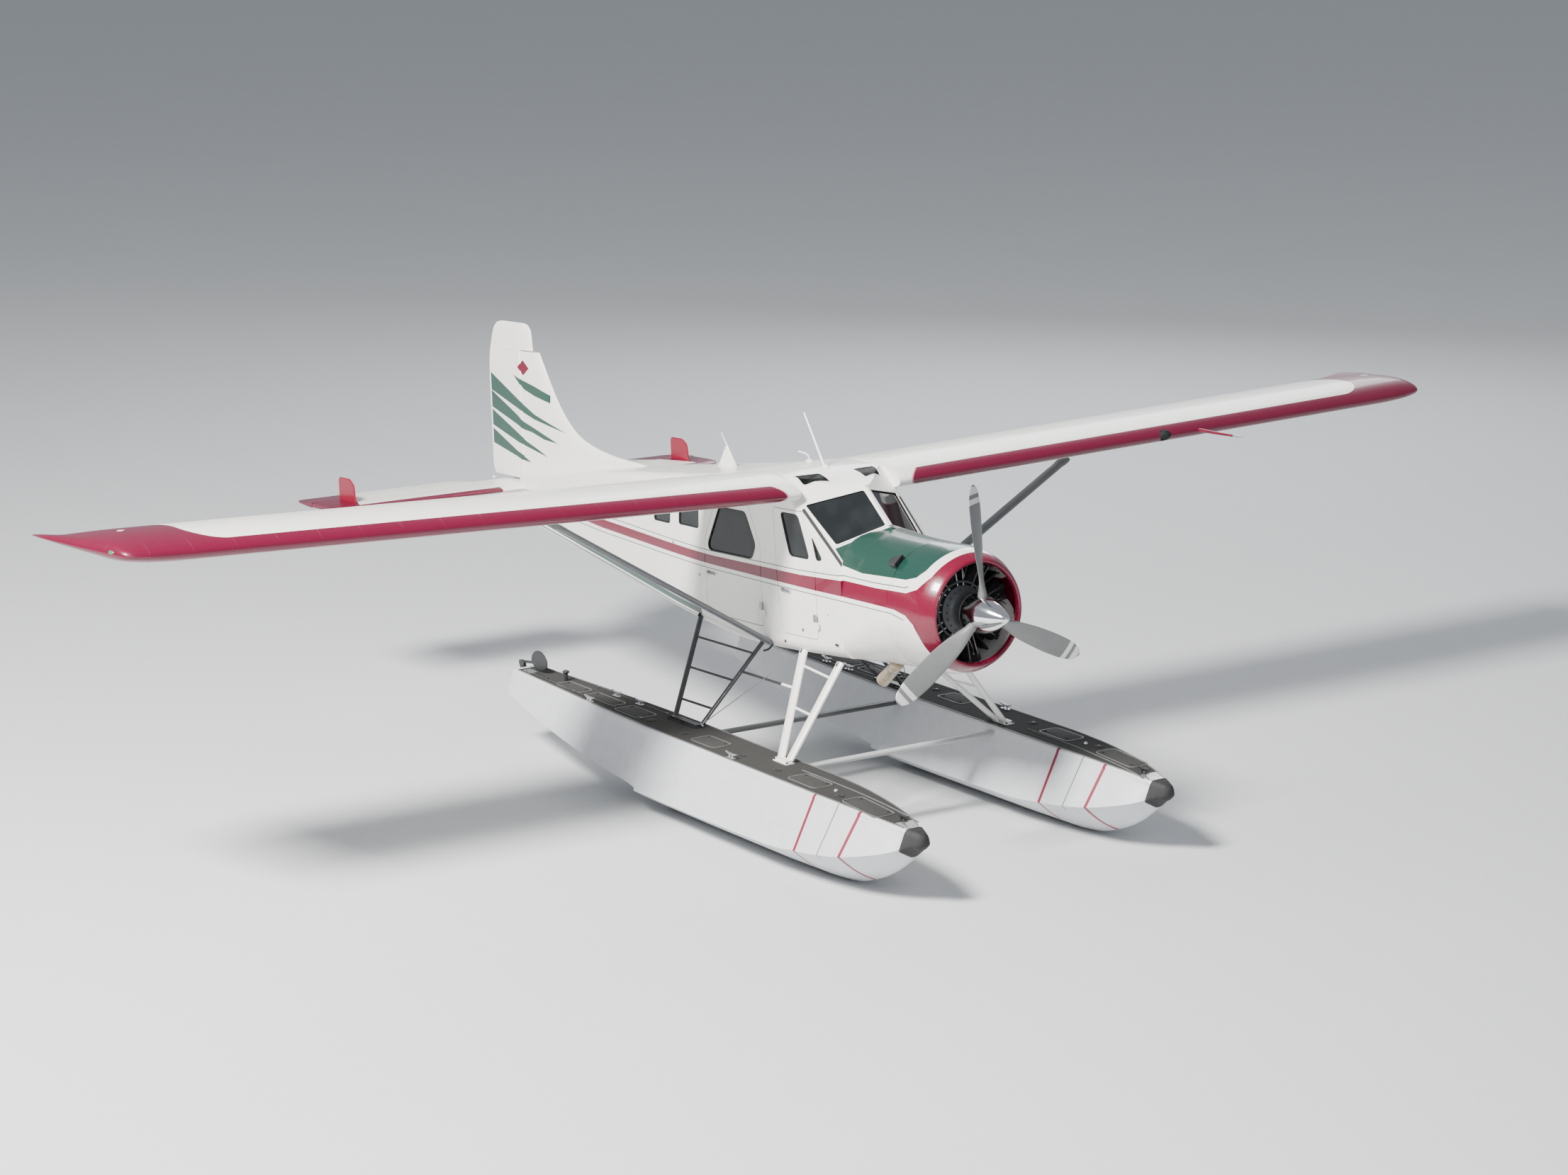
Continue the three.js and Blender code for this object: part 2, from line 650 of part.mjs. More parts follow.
// Float sections: y, keel height, chine height, half width at the chine and at the deck, deck height
const FLOAT = [
  [-3030, 575, 602, 66, 48, 692],
  [-2960, 480, 550, 142, 84, 708],
  [-2850, 370, 502, 245, 124, 728],
  [-2680, 245, 452, 340, 168, 748],
  [-2420, 115, 392, 430, 210, 768],
  [-2120, 28, 344, 473, 243, 784],
  [-1850, 0, 310, 488, 266, 793],
  [-1300, 0, 256, 495, 284, DECK_Z],
  [STEP_Y, 0, 230, 495, 286, DECK_Z],
  [STEP_Y + 2, 78, 262, 492, 286, DECK_Z],
  [1600, 170, 312, 455, 270, DECK_Z],
  [2700, 305, 402, 345, 220, 799],
  [TRANSOM_Y, 470, 545, 215, 154, 794],
];

// Sections of the rubber cap over the bow, with the same columns
const BUMPER = [
  [-3128, 592, 606, 38, 34, 668],
  [-3098, 556, 590, 76, 58, 696],
  [-3030, 520, 572, 110, 80, 716],
  [-2950, 448, 528, 172, 106, 726],
];

function floatRing([y, keel, chine, wide, deckHalf, deck]) {
  const half = [[KEEL_HALF, keel], [wide, chine], [deckHalf, deck - 34], [deckHalf - 30, deck]];
  return [...half, ...half.map(([x, z]) => [-x, z]).reverse()]
    .map(([x, z]) => point(FLOAT_X + x, y, z));
}

const floatBody = loft(FLOAT.map(floatRing));
const fuselageInStance = inStance(fuselageBody);
const floatAndMirror = bothSides(floatBody);

function makeBumper() {
  const cap = loft(BUMPER.map(floatRing));
  return cutTo(cap, floatBody, [0, -1, 0], [1, -1, 0], [-1, -1, 0], [0, -1, 1], [0, -1, -1]);
}

// A leg ends in a shoe on the deck and is cut to the fuselage above
function leg(top, foot, chord, thickness) {
  return cutTo(
    bar(top, foot, chord, thickness).trimByPlane([0, 0, 1], DECK_Z + SEAT),
    fuselageInStance, [0, 0, -1], [1, 0, -1], [1, 0, 0], [0, -1, -1],
  );
}

// The point of a leg at a height
const atHeight = (top, foot, z) => foot.clone().lerp(top, (z - foot.z) / (top.z - foot.z));

// Level rungs between two legs
function ladder(tops, feet, heights, radius) {
  return heights.map((z) => rod(
    atHeight(tops[0], feet[0], z), atHeight(tops[1], feet[1], z), radius, 8,
  ));
}

const REAR_TOPS = [datumPoint(540, 1850, -1340), datumPoint(530, 770, -1490)];
const REAR_FEET = [point(1275, 1160, DECK_Z - 20), point(1250, 765, DECK_Z - 20)];

function makeRearStrut() {
  const legs = REAR_TOPS.map((top, k) => leg(top, REAR_FEET[k], k === 0 ? 70 : 60, 32));
  const shoe = block(1205, 1325, 710, 1215, DECK_Z + SEAT, DECK_Z + 30);
  return join(...legs, ...ladder(REAR_TOPS, REAR_FEET, [1460, 1215, 960], 12), shoe);
}

const rearStrut = makeRearStrut();

function makeFrontStrut() {
  const tops = [datumPoint(545, -640, -1400), datumPoint(545, 80, -1490)];
  const feet = [point(1285, -800, DECK_Z - 20), point(1285, -690, DECK_Z - 20)];
  const legs = tops.map((top, k) => leg(top, feet[k], 105, 46));
  const rail = cutTo(
    rod(atHeight(tops[1], feet[1], 1332), atHeight(REAR_TOPS[1], REAR_FEET[1], 1300), 13, 8),
    rearStrut, [0, -1, 0],
  );
  const shoe = block(1230, 1340, -870, -630, DECK_Z + SEAT, DECK_Z + 34);
  return join(...legs, ...ladder(tops, feet, [1516, 1200], 13), rail, shoe);
}

function makeSpreader(y) {
  const beam = bar(point(-FLOAT_X, y, 735), point(FLOAT_X, y, 735), 110, 46, 12);
  return cutTo(beam, floatAndMirror, [-1, 0, 0], [1, 0, 0]);
}

// Wing strut, in the datum frame
function makeWingStrut(wing) {
  const beam = bar(point(560, 612, -1515), point(3060, 478, -30), 150, 52, 12);
  return cutTo(cutTo(beam, fuselageBody, [1, 0, 0], [0, 0, -1], [1, 0, -1]), wing, [0, 0, -1]);
}

// Water rudder: a post that steers and a blade that lifts, drawn raised over the deck

function makeRudderPost() {
  const x = FLOAT_X;
  const [pivotY, pivotZ] = RUDDER_PIVOT;
  const body = rod(point(x, RUDDER_POST_Y, 560), point(x, RUDDER_POST_Y, 800), RUDDER_POST_RADIUS, 16);
  const cheek = block(x + 8.3, x + 16, 3812, pivotY + 18, 720, pivotZ + 18);
  const web = block(x - 16, x + 16, 3812, 3850, 780, 800);
  return join(body, cheek, web, cheek.translate([-24.3, 0, 0]));
}

function makeRudderBlade() {
  const [pivotY, pivotZ] = RUDDER_PIVOT;
  const arm = bar(
    point(FLOAT_X, pivotY, pivotZ), point(FLOAT_X, 3600, 880), 30, 16, 8,
  );
  const outline = Array.from({ length: 14 }, (_, k) => {
    const angle = (2 * Math.PI * k) / 14;
    const half = 158 * (1 - 0.12 * Math.sin(angle));
    return [3515 + half * Math.cos(angle), 916 + 102 * Math.sin(angle)];
  });
  return join(arm, prism(outline, FLOAT_X - 7, FLOAT_X + 7), rod(
    point(FLOAT_X - 8, pivotY, pivotZ), point(FLOAT_X + 8, pivotY, pivotZ), 17, 12,
  ));
}

// Cabin fittings

const roomLimit = [[1, 0, 0], [-1, 0, 0], [0, 0, -1], [0, 0, 1]].reduce(
  (left, shift) => left.intersect(cavity.translate(shift.map((step) => step * TRIM))),
  cavity,
);

function makePanel() {
  const board = roomLimit.intersect(block(-700, 700, -470, -420, -760, -330));
  const column = rod(point(0, -440, -800), point(0, -150, -760), 20, 8);
  const root = block(-30, 30, -470, -420, -830, -700);
  const crossbar = rod(point(-280, -150, -760), point(280, -150, -760), 14, 8);
  const wheels = [-280, 280].map((x) => join(
    block(x - 110, x + 110, -158, -142, -772, -748),
    block(x - 110, x - 88, -158, -142, -772, -690),
    block(x + 88, x + 110, -158, -142, -772, -690),
  ));
  return join(board, root, column, crossbar, ...wheels);
}

function makeSeat(x, y, halfWidth, depth, backHeight) {
  const base = FLOOR_Z + SEAT;
  const pedestal = block(
    x - halfWidth + 40, x + halfWidth - 40, y + 60, y + depth - 40, base, base + 290,
  );
  const cushion = block(x - halfWidth, x + halfWidth, y, y + depth, base + 280, base + 390);
  const back = prism([
    [y + depth - 60, base + 330], [y + depth + 30, base + 330],
    [y + depth + 110, base + backHeight], [y + depth + 30, base + backHeight],
  ], x - halfWidth, x + halfWidth);
  return join(pedestal, cushion, back);
}

// Antennas, in the datum frame

function makeWhip() {
  const mast = rod(point(0, 400, 120), point(0, 750, 660), 13, 8);
  const foot = block(-28, 28, 372, 452, 100, 186);
  return cutTo(mast.add(foot), fuselageBody, [0, 0, 1]);
}

function makeBladeAntenna() {
  const blade = prism([[1990, -40], [2330, -60], [2150, 210], [2120, 210]], -9, 9);
  const mast = rod(point(0, 1950, -60), point(0, 2230, 330), 9, 8);
  return cutTo(blade.add(mast), fuselageBody, [0, 0, 1]);
}

// Materials: colour, roughness, metalness

const finish = (color, roughness, metalness = 0) => new THREE.MeshStandardMaterial({
  color, roughness, metalness,
});
const WHITE = finish(0xf2f1ec, 0.3);
const CRIMSON = finish(0xa3152c, 0.28);
const RED = finish(0xd01f2a, 0.35);
const GREEN = finish(0x1c5a45, 0.35);
const FLOAT_WHITE = finish(0xd9dbdd, 0.4);
const CHROME = finish(0xdfe3e6, 0.08, 1);
const BLADE_GREY = finish(0x6d7073, 0.4, 0.6);
const ENGINE_BLACK = finish(0x1b1c1d, 0.6, 0.3);
const STEEL = finish(0x7a6a58, 0.45, 0.8);
const RUBBER = finish(0x141414, 0.85);
const GLASS = finish(0x2a3338, 0.05);
const SEAT_CLOTH = finish(0x3c3f45, 0.9);
const PANEL_BLACK = finish(0x202224, 0.7);

// Assembly

const airframe = new THREE.Group();
const floatGear = new THREE.Group();
airframe.position.z = DATUM_HEIGHT;
airframe.rotation.x = -NOSE_UP;

function add(group, name, body, material) {
  const mesh = body.getMesh();
  const geometry = new THREE.BufferGeometry();
  const positions = Float32Array.from(mesh.vertProperties);
  geometry.setAttribute('position', new THREE.BufferAttribute(positions, 3));
  geometry.setIndex(new THREE.BufferAttribute(Uint32Array.from(mesh.triVerts), 1));
  const flat = geometry.toNonIndexed();
  flat.computeVertexNormals();
  const part = new THREE.Mesh(flat, material);
  part.name = name;
  group.add(part);
}

function addPair(group, name, body, material) {
  add(group, `${name}_left`, body, material);
  add(group, `${name}_right`, mirrored(body), material);
}

add(airframe, 'cabin_shell', cabin.shell, WHITE);
add(airframe, 'rear_fuselage', makeRearFuselage(), WHITE);
add(airframe, 'nose_cowl', makeNoseCowl(), GREEN);
add(airframe, 'cowl_ring', makeCowlRing(), CRIMSON);
add(airframe, 'engine', makeEngine(), ENGINE_BLACK);
add(airframe, 'exhaust_stack', makeExhaust(), STEEL);
add(airframe, 'air_scoop', makeScoop(), ENGINE_BLACK);
add(airframe, 'propeller', makePropeller(), BLADE_GREY);
add(airframe, 'spinner', makeSpinner(), CHROME);
add(airframe, 'windscreen_left', paneSlab(0.998, -12, -20), GLASS);
add(airframe, 'windscreen_right', mirrored(paneSlab(0.998, -12, -20)), GLASS);
for (const [name, door] of Object.entries(cabin.doors)) {
  addPair(airframe, `${name}_door`, door, WHITE);
}

const wing = makeWing();
addPair(airframe, 'wing', wing, WHITE);
addPair(airframe, 'flap', makeWingSurface(FLAP_SPAN, RUN - SEAT, 0), WHITE);
addPair(airframe, 'aileron', makeWingSurface(AILERON_SPAN, 0, RUN - SEAT), WHITE);
addPair(airframe, 'wing_strut', makeWingStrut(wing), WHITE);

add(airframe, 'fin', makeFin(), WHITE);
add(airframe, 'rudder', makeRudder(), WHITE);
addPair(airframe, 'tailplane', makeTailplane(), WHITE);
add(airframe, 'elevator', makeElevator(), WHITE);
addPair(airframe, 'finlet', makeFinlet(), RED);

add(airframe, 'instrument_panel', makePanel(), PANEL_BLACK);
addPair(airframe, 'front_seat', makeSeat(290, 60, 210, 460, 950), SEAT_CLOTH);
add(airframe, 'rear_seat', makeSeat(0, 1150, 500, 480, 880), SEAT_CLOTH);
add(airframe, 'whip_antenna', makeWhip(), WHITE);
add(airframe, 'blade_antenna', makeBladeAntenna(), WHITE);

addPair(floatGear, 'float', floatBody, FLOAT_WHITE);
addPair(floatGear, 'bow_bumper', makeBumper(), RUBBER);
addPair(floatGear, 'front_strut', makeFrontStrut(), WHITE);
addPair(floatGear, 'rear_strut', rearStrut, PANEL_BLACK);
add(floatGear, 'front_spreader', makeSpreader(-790), FLOAT_WHITE);
add(floatGear, 'rear_spreader', makeSpreader(680), FLOAT_WHITE);
addPair(floatGear, 'water_rudder_post', makeRudderPost(), PANEL_BLACK);
addPair(floatGear, 'water_rudder_blade', makeRudderBlade(), PANEL_BLACK);

const group = new THREE.Group();
group.add(airframe, floatGear);
group.position.y = -CENTRE_Y;

export default group;
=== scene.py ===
"""Dresses a packed floatplane with painted skins, glass, engine, cabin, floats and their gear.

The airframe is worked out in its datum frame: x to the aeroplane's left, y aft, z up, with the origin
at the leading edge of the wing root on the centreline. The floats are worked out in the stance frame:
the same x, y level and aft, z up from the keels. Both become row-frame metres as meshes are made.
"""

from __future__ import annotations

import logging
import math
from dataclasses import dataclass, field
from enum import Enum
from typing import Callable, ClassVar, Iterable, Sequence

import bmesh
import bpy
import numpy as np
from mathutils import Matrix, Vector

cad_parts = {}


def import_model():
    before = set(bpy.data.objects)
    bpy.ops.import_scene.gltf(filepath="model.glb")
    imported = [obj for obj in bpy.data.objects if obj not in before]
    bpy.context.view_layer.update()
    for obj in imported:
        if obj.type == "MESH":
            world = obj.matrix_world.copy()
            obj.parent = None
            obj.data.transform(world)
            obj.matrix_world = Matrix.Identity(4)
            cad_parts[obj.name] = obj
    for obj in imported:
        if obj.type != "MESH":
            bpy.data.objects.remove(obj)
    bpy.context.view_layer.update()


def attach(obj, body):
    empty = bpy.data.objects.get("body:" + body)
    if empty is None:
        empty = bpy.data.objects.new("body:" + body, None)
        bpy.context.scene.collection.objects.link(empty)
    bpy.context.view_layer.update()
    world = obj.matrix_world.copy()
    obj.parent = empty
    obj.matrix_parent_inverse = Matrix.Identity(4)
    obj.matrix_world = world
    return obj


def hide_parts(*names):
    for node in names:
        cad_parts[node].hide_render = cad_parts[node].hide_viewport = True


LOG = logging.getLogger("floatplane")
Array = np.ndarray
Colour = tuple[float, float, float]
Body = bpy.types.Object

NOSE_UP = math.radians(3.33)
SIN, COS = math.sin(NOSE_UP), math.cos(NOSE_UP)
DATUM_HEIGHT = 3.130  # wing-root leading edge above the keels
CENTRE_Y = 1.9053  # middle of the whole length in the stance frame
MEET = 0.0003  # left between pieces that meet

WING_ROOT = 0.620
WING_TIP = 7.680
DIHEDRAL = math.radians(1.8)
CHORD = 1.575
WING_THICKNESS = 0.155
WING_CAMBER = 0.03
HINGE_Y, HINGE_Z = 1.205, 0.030
NOSE_RADIUS = 0.056  # of a flap's or aileron's leading edge
FLAP_SPAN = (0.760, 3.950)
AILERON_SPAN = (3.957, 6.860)
RUN = 0.007  # gap round a moving panel
TRAILING = 0.004  # half the thickness of a control surface's trailing edge

SILL_Z = -0.750
SIDE_WALL, REAR_WALL, ROOF_WALL, SCREEN_WALL = 0.036, 0.024, 0.042, 0.030
FLOOR_Z = -1.440
FIREWALL_Y, CABIN_END_Y = -0.800, 2.950
THRUST_Z = -0.950
COWL_END_Y = -1.350
COWL_RADIUS = 0.600
SPINNER_BASE_Y, SPINNER_RADIUS, PLATE = -1.930, 0.185, 0.014
BLADE_Y = -2.050
BLADE_ANGLES = (-4.4, -124.4, 115.6)  # degrees from the vertical, towards the left
CYLINDERS = 9
FIN_HINGE_Y, RUDDER_NOSE = 6.170, 0.034
TAIL_Z, TAIL_SPAN, TAIL_LE_Y = -0.600, 2.420, 5.950
ELEVATOR_Y, ELEVATOR_NOSE, ELEVATOR_INNER = 6.575, 0.027, 0.400
FLOAT_X, DECK_Z, KEEL_HALF, TRANSOM_Y = 1.400, 0.800, 0.025, 3.800
DECK_ROUND = 0.034  # radius of a hull's deck edge

WHITE: Colour = (0.88, 0.87, 0.83)
CRIMSON: Colour = (0.128, 0.001, 0.023)
STRIPE_RED: Colour = (0.155, 0.001, 0.021)
FINLET_RED: Colour = (0.260, 0.002, 0.024)
DEEP_GREEN: Colour = (0.009, 0.046, 0.033)
BAND_GREEN: Colour = (0.022, 0.070, 0.052)
PINK_LINE: Colour = (0.55, 0.24, 0.25)
FLOAT_GREY: Colour = (0.62, 0.635, 0.665)
LINE_RED: Colour = (0.24, 0.012, 0.035)
DIRT: Colour = (0.03, 0.03, 0.025)


class Frame(Enum):
    """The frames that shapes are worked out in."""

    DATUM = "datum"
    STANCE = "stance"

    def to_row(self, points: Array) -> Array:
        """Gives points of this frame in the row frame.

        Args:
            points: Coordinates in metres, with x, y, z on the last axis.

        Returns:
            The same points in the row frame.
        """
        x, y, z = points[..., 0], points[..., 1], points[..., 2]
        if self is Frame.DATUM:
            y, z = y * COS + z * SIN, z * COS - y * SIN + DATUM_HEIGHT
        return np.stack([x, y - CENTRE_Y, z], axis=-1)


def in_stance(points: Sequence[Sequence[float]]) -> Array:
    """Gives points of the datum frame in the stance frame."""
    return Frame.DATUM.to_row(np.asarray(points, float)) + (0, CENTRE_Y, 0)


class Cut(Enum):
    """What a boolean does with its cutter."""

    TAKE_AWAY = "DIFFERENCE"
    KEEP = "INTERSECT"
    ADD = "UNION"


class Side(Enum):
    """The aeroplane's left and right, with the sign of x there."""

    LEFT = 1
    RIGHT = -1

    @property
    def word(self) -> str:
        """The ending of a node's or body's name on this side."""
        return self.name.lower()


# Curves and tables


def smooth_table(table: Sequence[Sequence[float]], at: Array) -> Array:
    """Interpolates each column of a table over its first, by a monotone cubic.

    The slope at a row is the harmonic mean of the slopes on its two sides, or nothing where they differ
    in sign, so no column overshoots its rows.

    Args:
        table: Rows that start with the station and rise in it.
        at: Stations to interpolate at.

    Returns:
        One row of values for each station, without the station itself.
    """
    rows = np.asarray(table, float)
    x, values = rows[:, 0], rows[:, 1:]
    step = np.diff(x)[:, None]
    slope = np.diff(values, axis=0) / step
    before, after = slope[:-1], slope[1:]
    same = before * after > 0
    mean = np.where(same, 2 * before * after / np.where(same, before + after, 1), 0)
    tangent = np.vstack([slope[:1], mean, slope[-1:]])
    at = np.clip(at, x[0], x[-1])
    k = np.clip(np.searchsorted(x, at, side="right") - 1, 0, len(x) - 2)
    t = ((at - x[k]) / (x[k + 1] - x[k]))[:, None]
    h00, h10 = 2 * t**3 - 3 * t**2 + 1, t**3 - 2 * t**2 + t
    h01, h11 = 3 * t**2 - 2 * t**3, t**3 - t**2
    return h00 * values[k] + h10 * step[k] * tangent[k] + h01 * values[k + 1] + h11 * step[k] * tangent[k + 1]


def through(points: Sequence[Sequence[float]], per: int = 8) -> Array:
    """Draws a Catmull-Rom curve: each span blends the lines through its four nearest points.

    Args:
        points: The points it passes through.
        per: Steps in each span.

    Returns:
        The curve's points, the first and last as given.
    """
    p = np.asarray(points, float)
    p = np.vstack([2 * p[0] - p[1], p, 2 * p[-1] - p[-2]])
    t = np.linspace(0, 1, per, endpoint=False)[None, :, None]
    a, b, c, d = (p[k : len(p) - 3 + k, None, :] for k in range(4))
    curve = 0.5 * (2 * b + (c - a) * t + (2 * a - 5 * b + 4 * c - d) * t**2 + (3 * b - a - 3 * c + d) * t**3)
    return np.vstack([curve.reshape(-1, p.shape[1]), p[-2]])


def rounded(outline: Sequence[Sequence[float]], radius: float, steps: int = 6) -> Array:
    """Rounds each corner of a polygon with a parabola that is tangent to both its edges.

    Args:
        outline: The polygon's corners in order.
        radius: How far from a corner the rounding starts, at most 45% of the edge there.
        steps: Points of each rounded corner.

    Returns:
        The rounded outline.
    """
    corner = np.asarray(outline, float)
    to_last, to_next = np.roll(corner, 1, axis=0) - corner, np.roll(corner, -1, axis=0) - corner
    reach = [np.linalg.norm(edge, axis=1, keepdims=True) for edge in (to_last, to_next)]
    start = corner + to_last / reach[0] * np.minimum(radius, 0.45 * reach[0])
    end = corner + to_next / reach[1] * np.minimum(radius, 0.45 * reach[1])
    s = np.linspace(0, 1, steps)[None, :, None]
    arc = (1 - s) ** 2 * start[:, None] + 2 * s * (1 - s) * corner[:, None] + s**2 * end[:, None]
    return arc.reshape(-1, corner.shape[1])


def inset(outline: Array, distance: float) -> Array:
    """Moves a convex outline's corners inwards, along the bisectors of its edges.

    Args:
        outline: The corners, either way round.
        distance: How far each edge moves in.

    Returns:
        The smaller outline.
    """
    p = np.asarray(outline, float)
    before, after = p - np.roll(p, 1, axis=0), np.roll(p, -1, axis=0) - p
    before = before / np.linalg.norm(before, axis=1, keepdims=True)
    after = after / np.linalg.norm(after, axis=1, keepdims=True)
    area = np.sum(p[:, 0] * np.roll(p[:, 1], -1) - p[:, 1] * np.roll(p[:, 0], -1))
    inward = np.stack([-before[:, 1] - after[:, 1], before[:, 0] + after[:, 0]], axis=1)
    inward = inward / np.linalg.norm(inward, axis=1, keepdims=True)
    turn = np.sum(inward * np.stack([-after[:, 1], after[:, 0]], axis=1), axis=1, keepdims=True)
    return p + inward * math.copysign(distance, area) / turn


def circle(count: int, start: float = 0.0) -> Array:
    """Gives count points round a unit circle, from an angle in radians."""
    angle = start + np.arange(count) * 2 * math.pi / count
    return np.stack([np.cos(angle), np.sin(angle)], axis=1)


# Shapes


def grid_faces(rows: int, cols: int, ring: bool = True) -> Array:
    """Lists the quads of a grid of points.

    Args:
        rows: Rows of points.
        cols: Points in a row.
        ring: Whether each row closes on itself.

    Returns:
        Four point numbers for each quad.
    """
    r, c = np.meshgrid(np.arange(rows - 1), np.arange(cols if ring else cols - 1), indexing="ij")
    d = (c + 1) % cols
    quads = np.stack([r * cols + c, r * cols + d, (r + 1) * cols + d, (r + 1) * cols + c], axis=-1)
    return quads.reshape(-1, 4)


@dataclass
class Shape:
    """Points and polygons gathered before they become one mesh."""

    points: list[Array] = field(default_factory=list)
    faces: list[Array] = field(default_factory=list)
    count: int = 0

    def add(self, points: Array, *faces: Array) -> "Shape":
        """Adds points and the faces between them, and returns the shape."""
        flat = np.asarray(points, float).reshape(-1, 3)
        self.points.append(flat)
        self.faces.extend(part + self.count for part in faces)
        self.count += len(flat)
        return self

    def join(self, *others: "Shape") -> "Shape":
        """Adds other shapes to this one and returns it."""
        for other in others:
            self.add(np.concatenate(other.points), *other.faces)
        return self

    def changed(self, change: Callable[[Array], Array]) -> "Shape":
        """Gives a copy whose points have been put through a function."""
        return Shape().add(change(np.concatenate(self.points)), *self.faces)

    def moved(self, x: float, y: float, z: float) -> "Shape":
        """Gives a copy moved by x, y and z."""
        return self.changed(lambda points: points + (x, y, z))

    def rolled(self, angle: float) -> "Shape":
        """Gives a copy turned about the y axis by an angle in radians, its top towards the left."""
        sine, cosine = math.sin(angle), math.cos(angle)
        turn = np.array([[cosine, 0, -sine], [0, 1, 0], [sine, 0, cosine]])
        return self.changed(lambda points: points @ turn)

    def mirrored(self) -> "Shape":
        """Gives a copy on the other side of the centreline."""
        copy = self.changed(lambda points: points * (-1, 1, 1))
        copy.faces = [part[:, ::-1] for part in copy.faces]
        return copy

    def on(self, side: Side) -> "Shape":
        """Gives the shape, drawn for the left, on either side."""
        return self if side is Side.LEFT else self.mirrored()

    def both(self) -> "Shape":
        """Gives the shape and its mirror image together."""
        return Shape().join(self, self.mirrored())

    def to_object(self, name: str, frame: Frame = Frame.DATUM, crease: float = 30.0) -> Body:
        """Makes one mesh object, with seams and poles closed and faces outwards.

        Args:
            name: The object's name.
            frame: The frame of the shape's points.
            crease: Edges that turn by more degrees than this stay sharp.

        Returns:
            The new object, at the origin.
        """
        mesh = bpy.data.meshes.new(name)
        points = frame.to_row(np.concatenate(self.points))
        corners = np.concatenate([part.ravel() for part in self.faces])
        sizes = np.concatenate([np.full(len(part), part.shape[1]) for part in self.faces])
        mesh.vertices.add(len(points))
        mesh.vertices.foreach_set("co", points.astype(np.float32).ravel())
        mesh.loops.add(len(corners))
        mesh.loops.foreach_set("vertex_index", corners.astype(np.int32))
        mesh.polygons.add(len(sizes))
        mesh.polygons.foreach_set("loop_start", (np.cumsum(sizes) - sizes).astype(np.int32))
        mesh.update(calc_edges=True)
        body = bpy.data.objects.new(name, mesh)
        bpy.context.scene.collection.objects.link(body)
        clean(body, crease)
        return body


def clean(body: Body, crease: float = 30.0) -> None:
    """Merges doubled points, turns faces outwards and shades the mesh smooth between its creases.

    Args:
        body: A mesh object.
        crease: Edges that turn by more degrees than this stay sharp.
    """
    work = bmesh.new()
    work.from_mesh(body.data)
    bmesh.ops.remove_doubles(work, verts=work.verts, dist=2e-5)
    bmesh.ops.dissolve_degenerate(work, edges=work.edges, dist=1e-6)
    bmesh.ops.recalc_face_normals(work, faces=work.faces)
    work.to_mesh(body.data)
    work.free()
    shade(body, crease)


def shade(body: Body, crease: float = 30.0) -> None:
    """Shades a mesh smooth, with sharp edges where it turns by more than crease degrees."""
    body.data.polygons.foreach_set("use_smooth", np.ones(len(body.data.polygons), bool))
    body.data.set_sharp_from_angle(angle=math.radians(crease))


def loft(rings: Array, caps: bool = True) -> Shape:
    """Joins rings of equal length into a body, with a fan of triangles over each end.

    Args:
        rings: Points by ring and place in the ring.
        caps: Whether the ends are closed.

    Returns:
        The body.
    """
    rows, cols = rings.shape[:2]
    shape = Shape().add(rings, grid_faces(rows, cols))
    if caps:
        here = np.arange(cols)
        fan = np.stack([np.full(cols, cols), here, (here + 1) % cols], axis=1)
        for ring in (rings[0], rings[-1]):
            shape.add(np.vstack([ring, ring.mean(axis=0)]), fan)
    return shape


def turned(
    profile: Array, sides: int = 64, origin: Sequence[float] = (0, 0, THRUST_Z), closed: bool = False
) -> Shape:
    """Turns a profile of (radius, y) about a fore-and-aft line.

    Args:
        profile: Radius and distance along the line.
        sides: Steps round.
        origin: A point on the line.
        closed: Whether the profile ends where it starts.

    Returns:
        The body of revolution: x and z are the radius times cosine and sine.
    """
    ring = circle(sides)
    radius, along = profile[:, :1], profile[:, 1:]
    points = np.stack([radius * ring[:, 0], along + 0 * ring[:, 0], radius * ring[:, 1]], axis=-1)
    return loft(points + np.asarray(origin, float), caps=not closed)


def layers(axis: int, *slices: tuple[float, Array]) -> Shape:
    """Lofts flat outlines, each given with its place along an axis: 0 for x, 1 for y, 2 for z."""
    return loft(np.stack([np.insert(outline, axis, at, axis=1) for at, outline in slices]))


def prism(outline: Array, low: float, high: float) -> Shape:
    """Extrudes an outline of (y, z) from one x to another."""
    return layers(0, (low, outline), (high, outline))


def plate(outline: Array, low: float, high: float) -> Shape:
    """Extrudes an outline of (x, y) from one z to another."""
    return layers(2, (low, outline), (high, outline))


def wafer(outline: Array, x: float, half: float, rim: float, bevel: float) -> Shape:
    """Makes a thin plate on edge whose rim is bevelled on both sides.

    Args:
        outline: The rim as (y, z).
        x: Its middle.
        half: Half its thickness.
        rim: Half the thickness of its rim.
        bevel: How far in from the rim its flat faces end.

    Returns:
        The plate.
    """
    slim = inset(outline, bevel)
    return layers(0, (x - half, slim), (x - rim, outline), (x + rim, outline), (x + half, slim))


def rect(x0: float, y0: float, x1: float, y1: float) -> Array:
    """Gives a rectangle's corners from two opposite ones, going along the first axis first."""
    return np.array([[x0, y0], [x1, y0], [x1, y1], [x0, y1]], float)


def box(low: Sequence[float], high: Sequence[float]) -> Shape:
    """Makes a block between two corners."""
    (x0, y0, z0), (x1, y1, z1) = low, high
    return prism(rect(y0, z0, y1, z1), x0, x1)


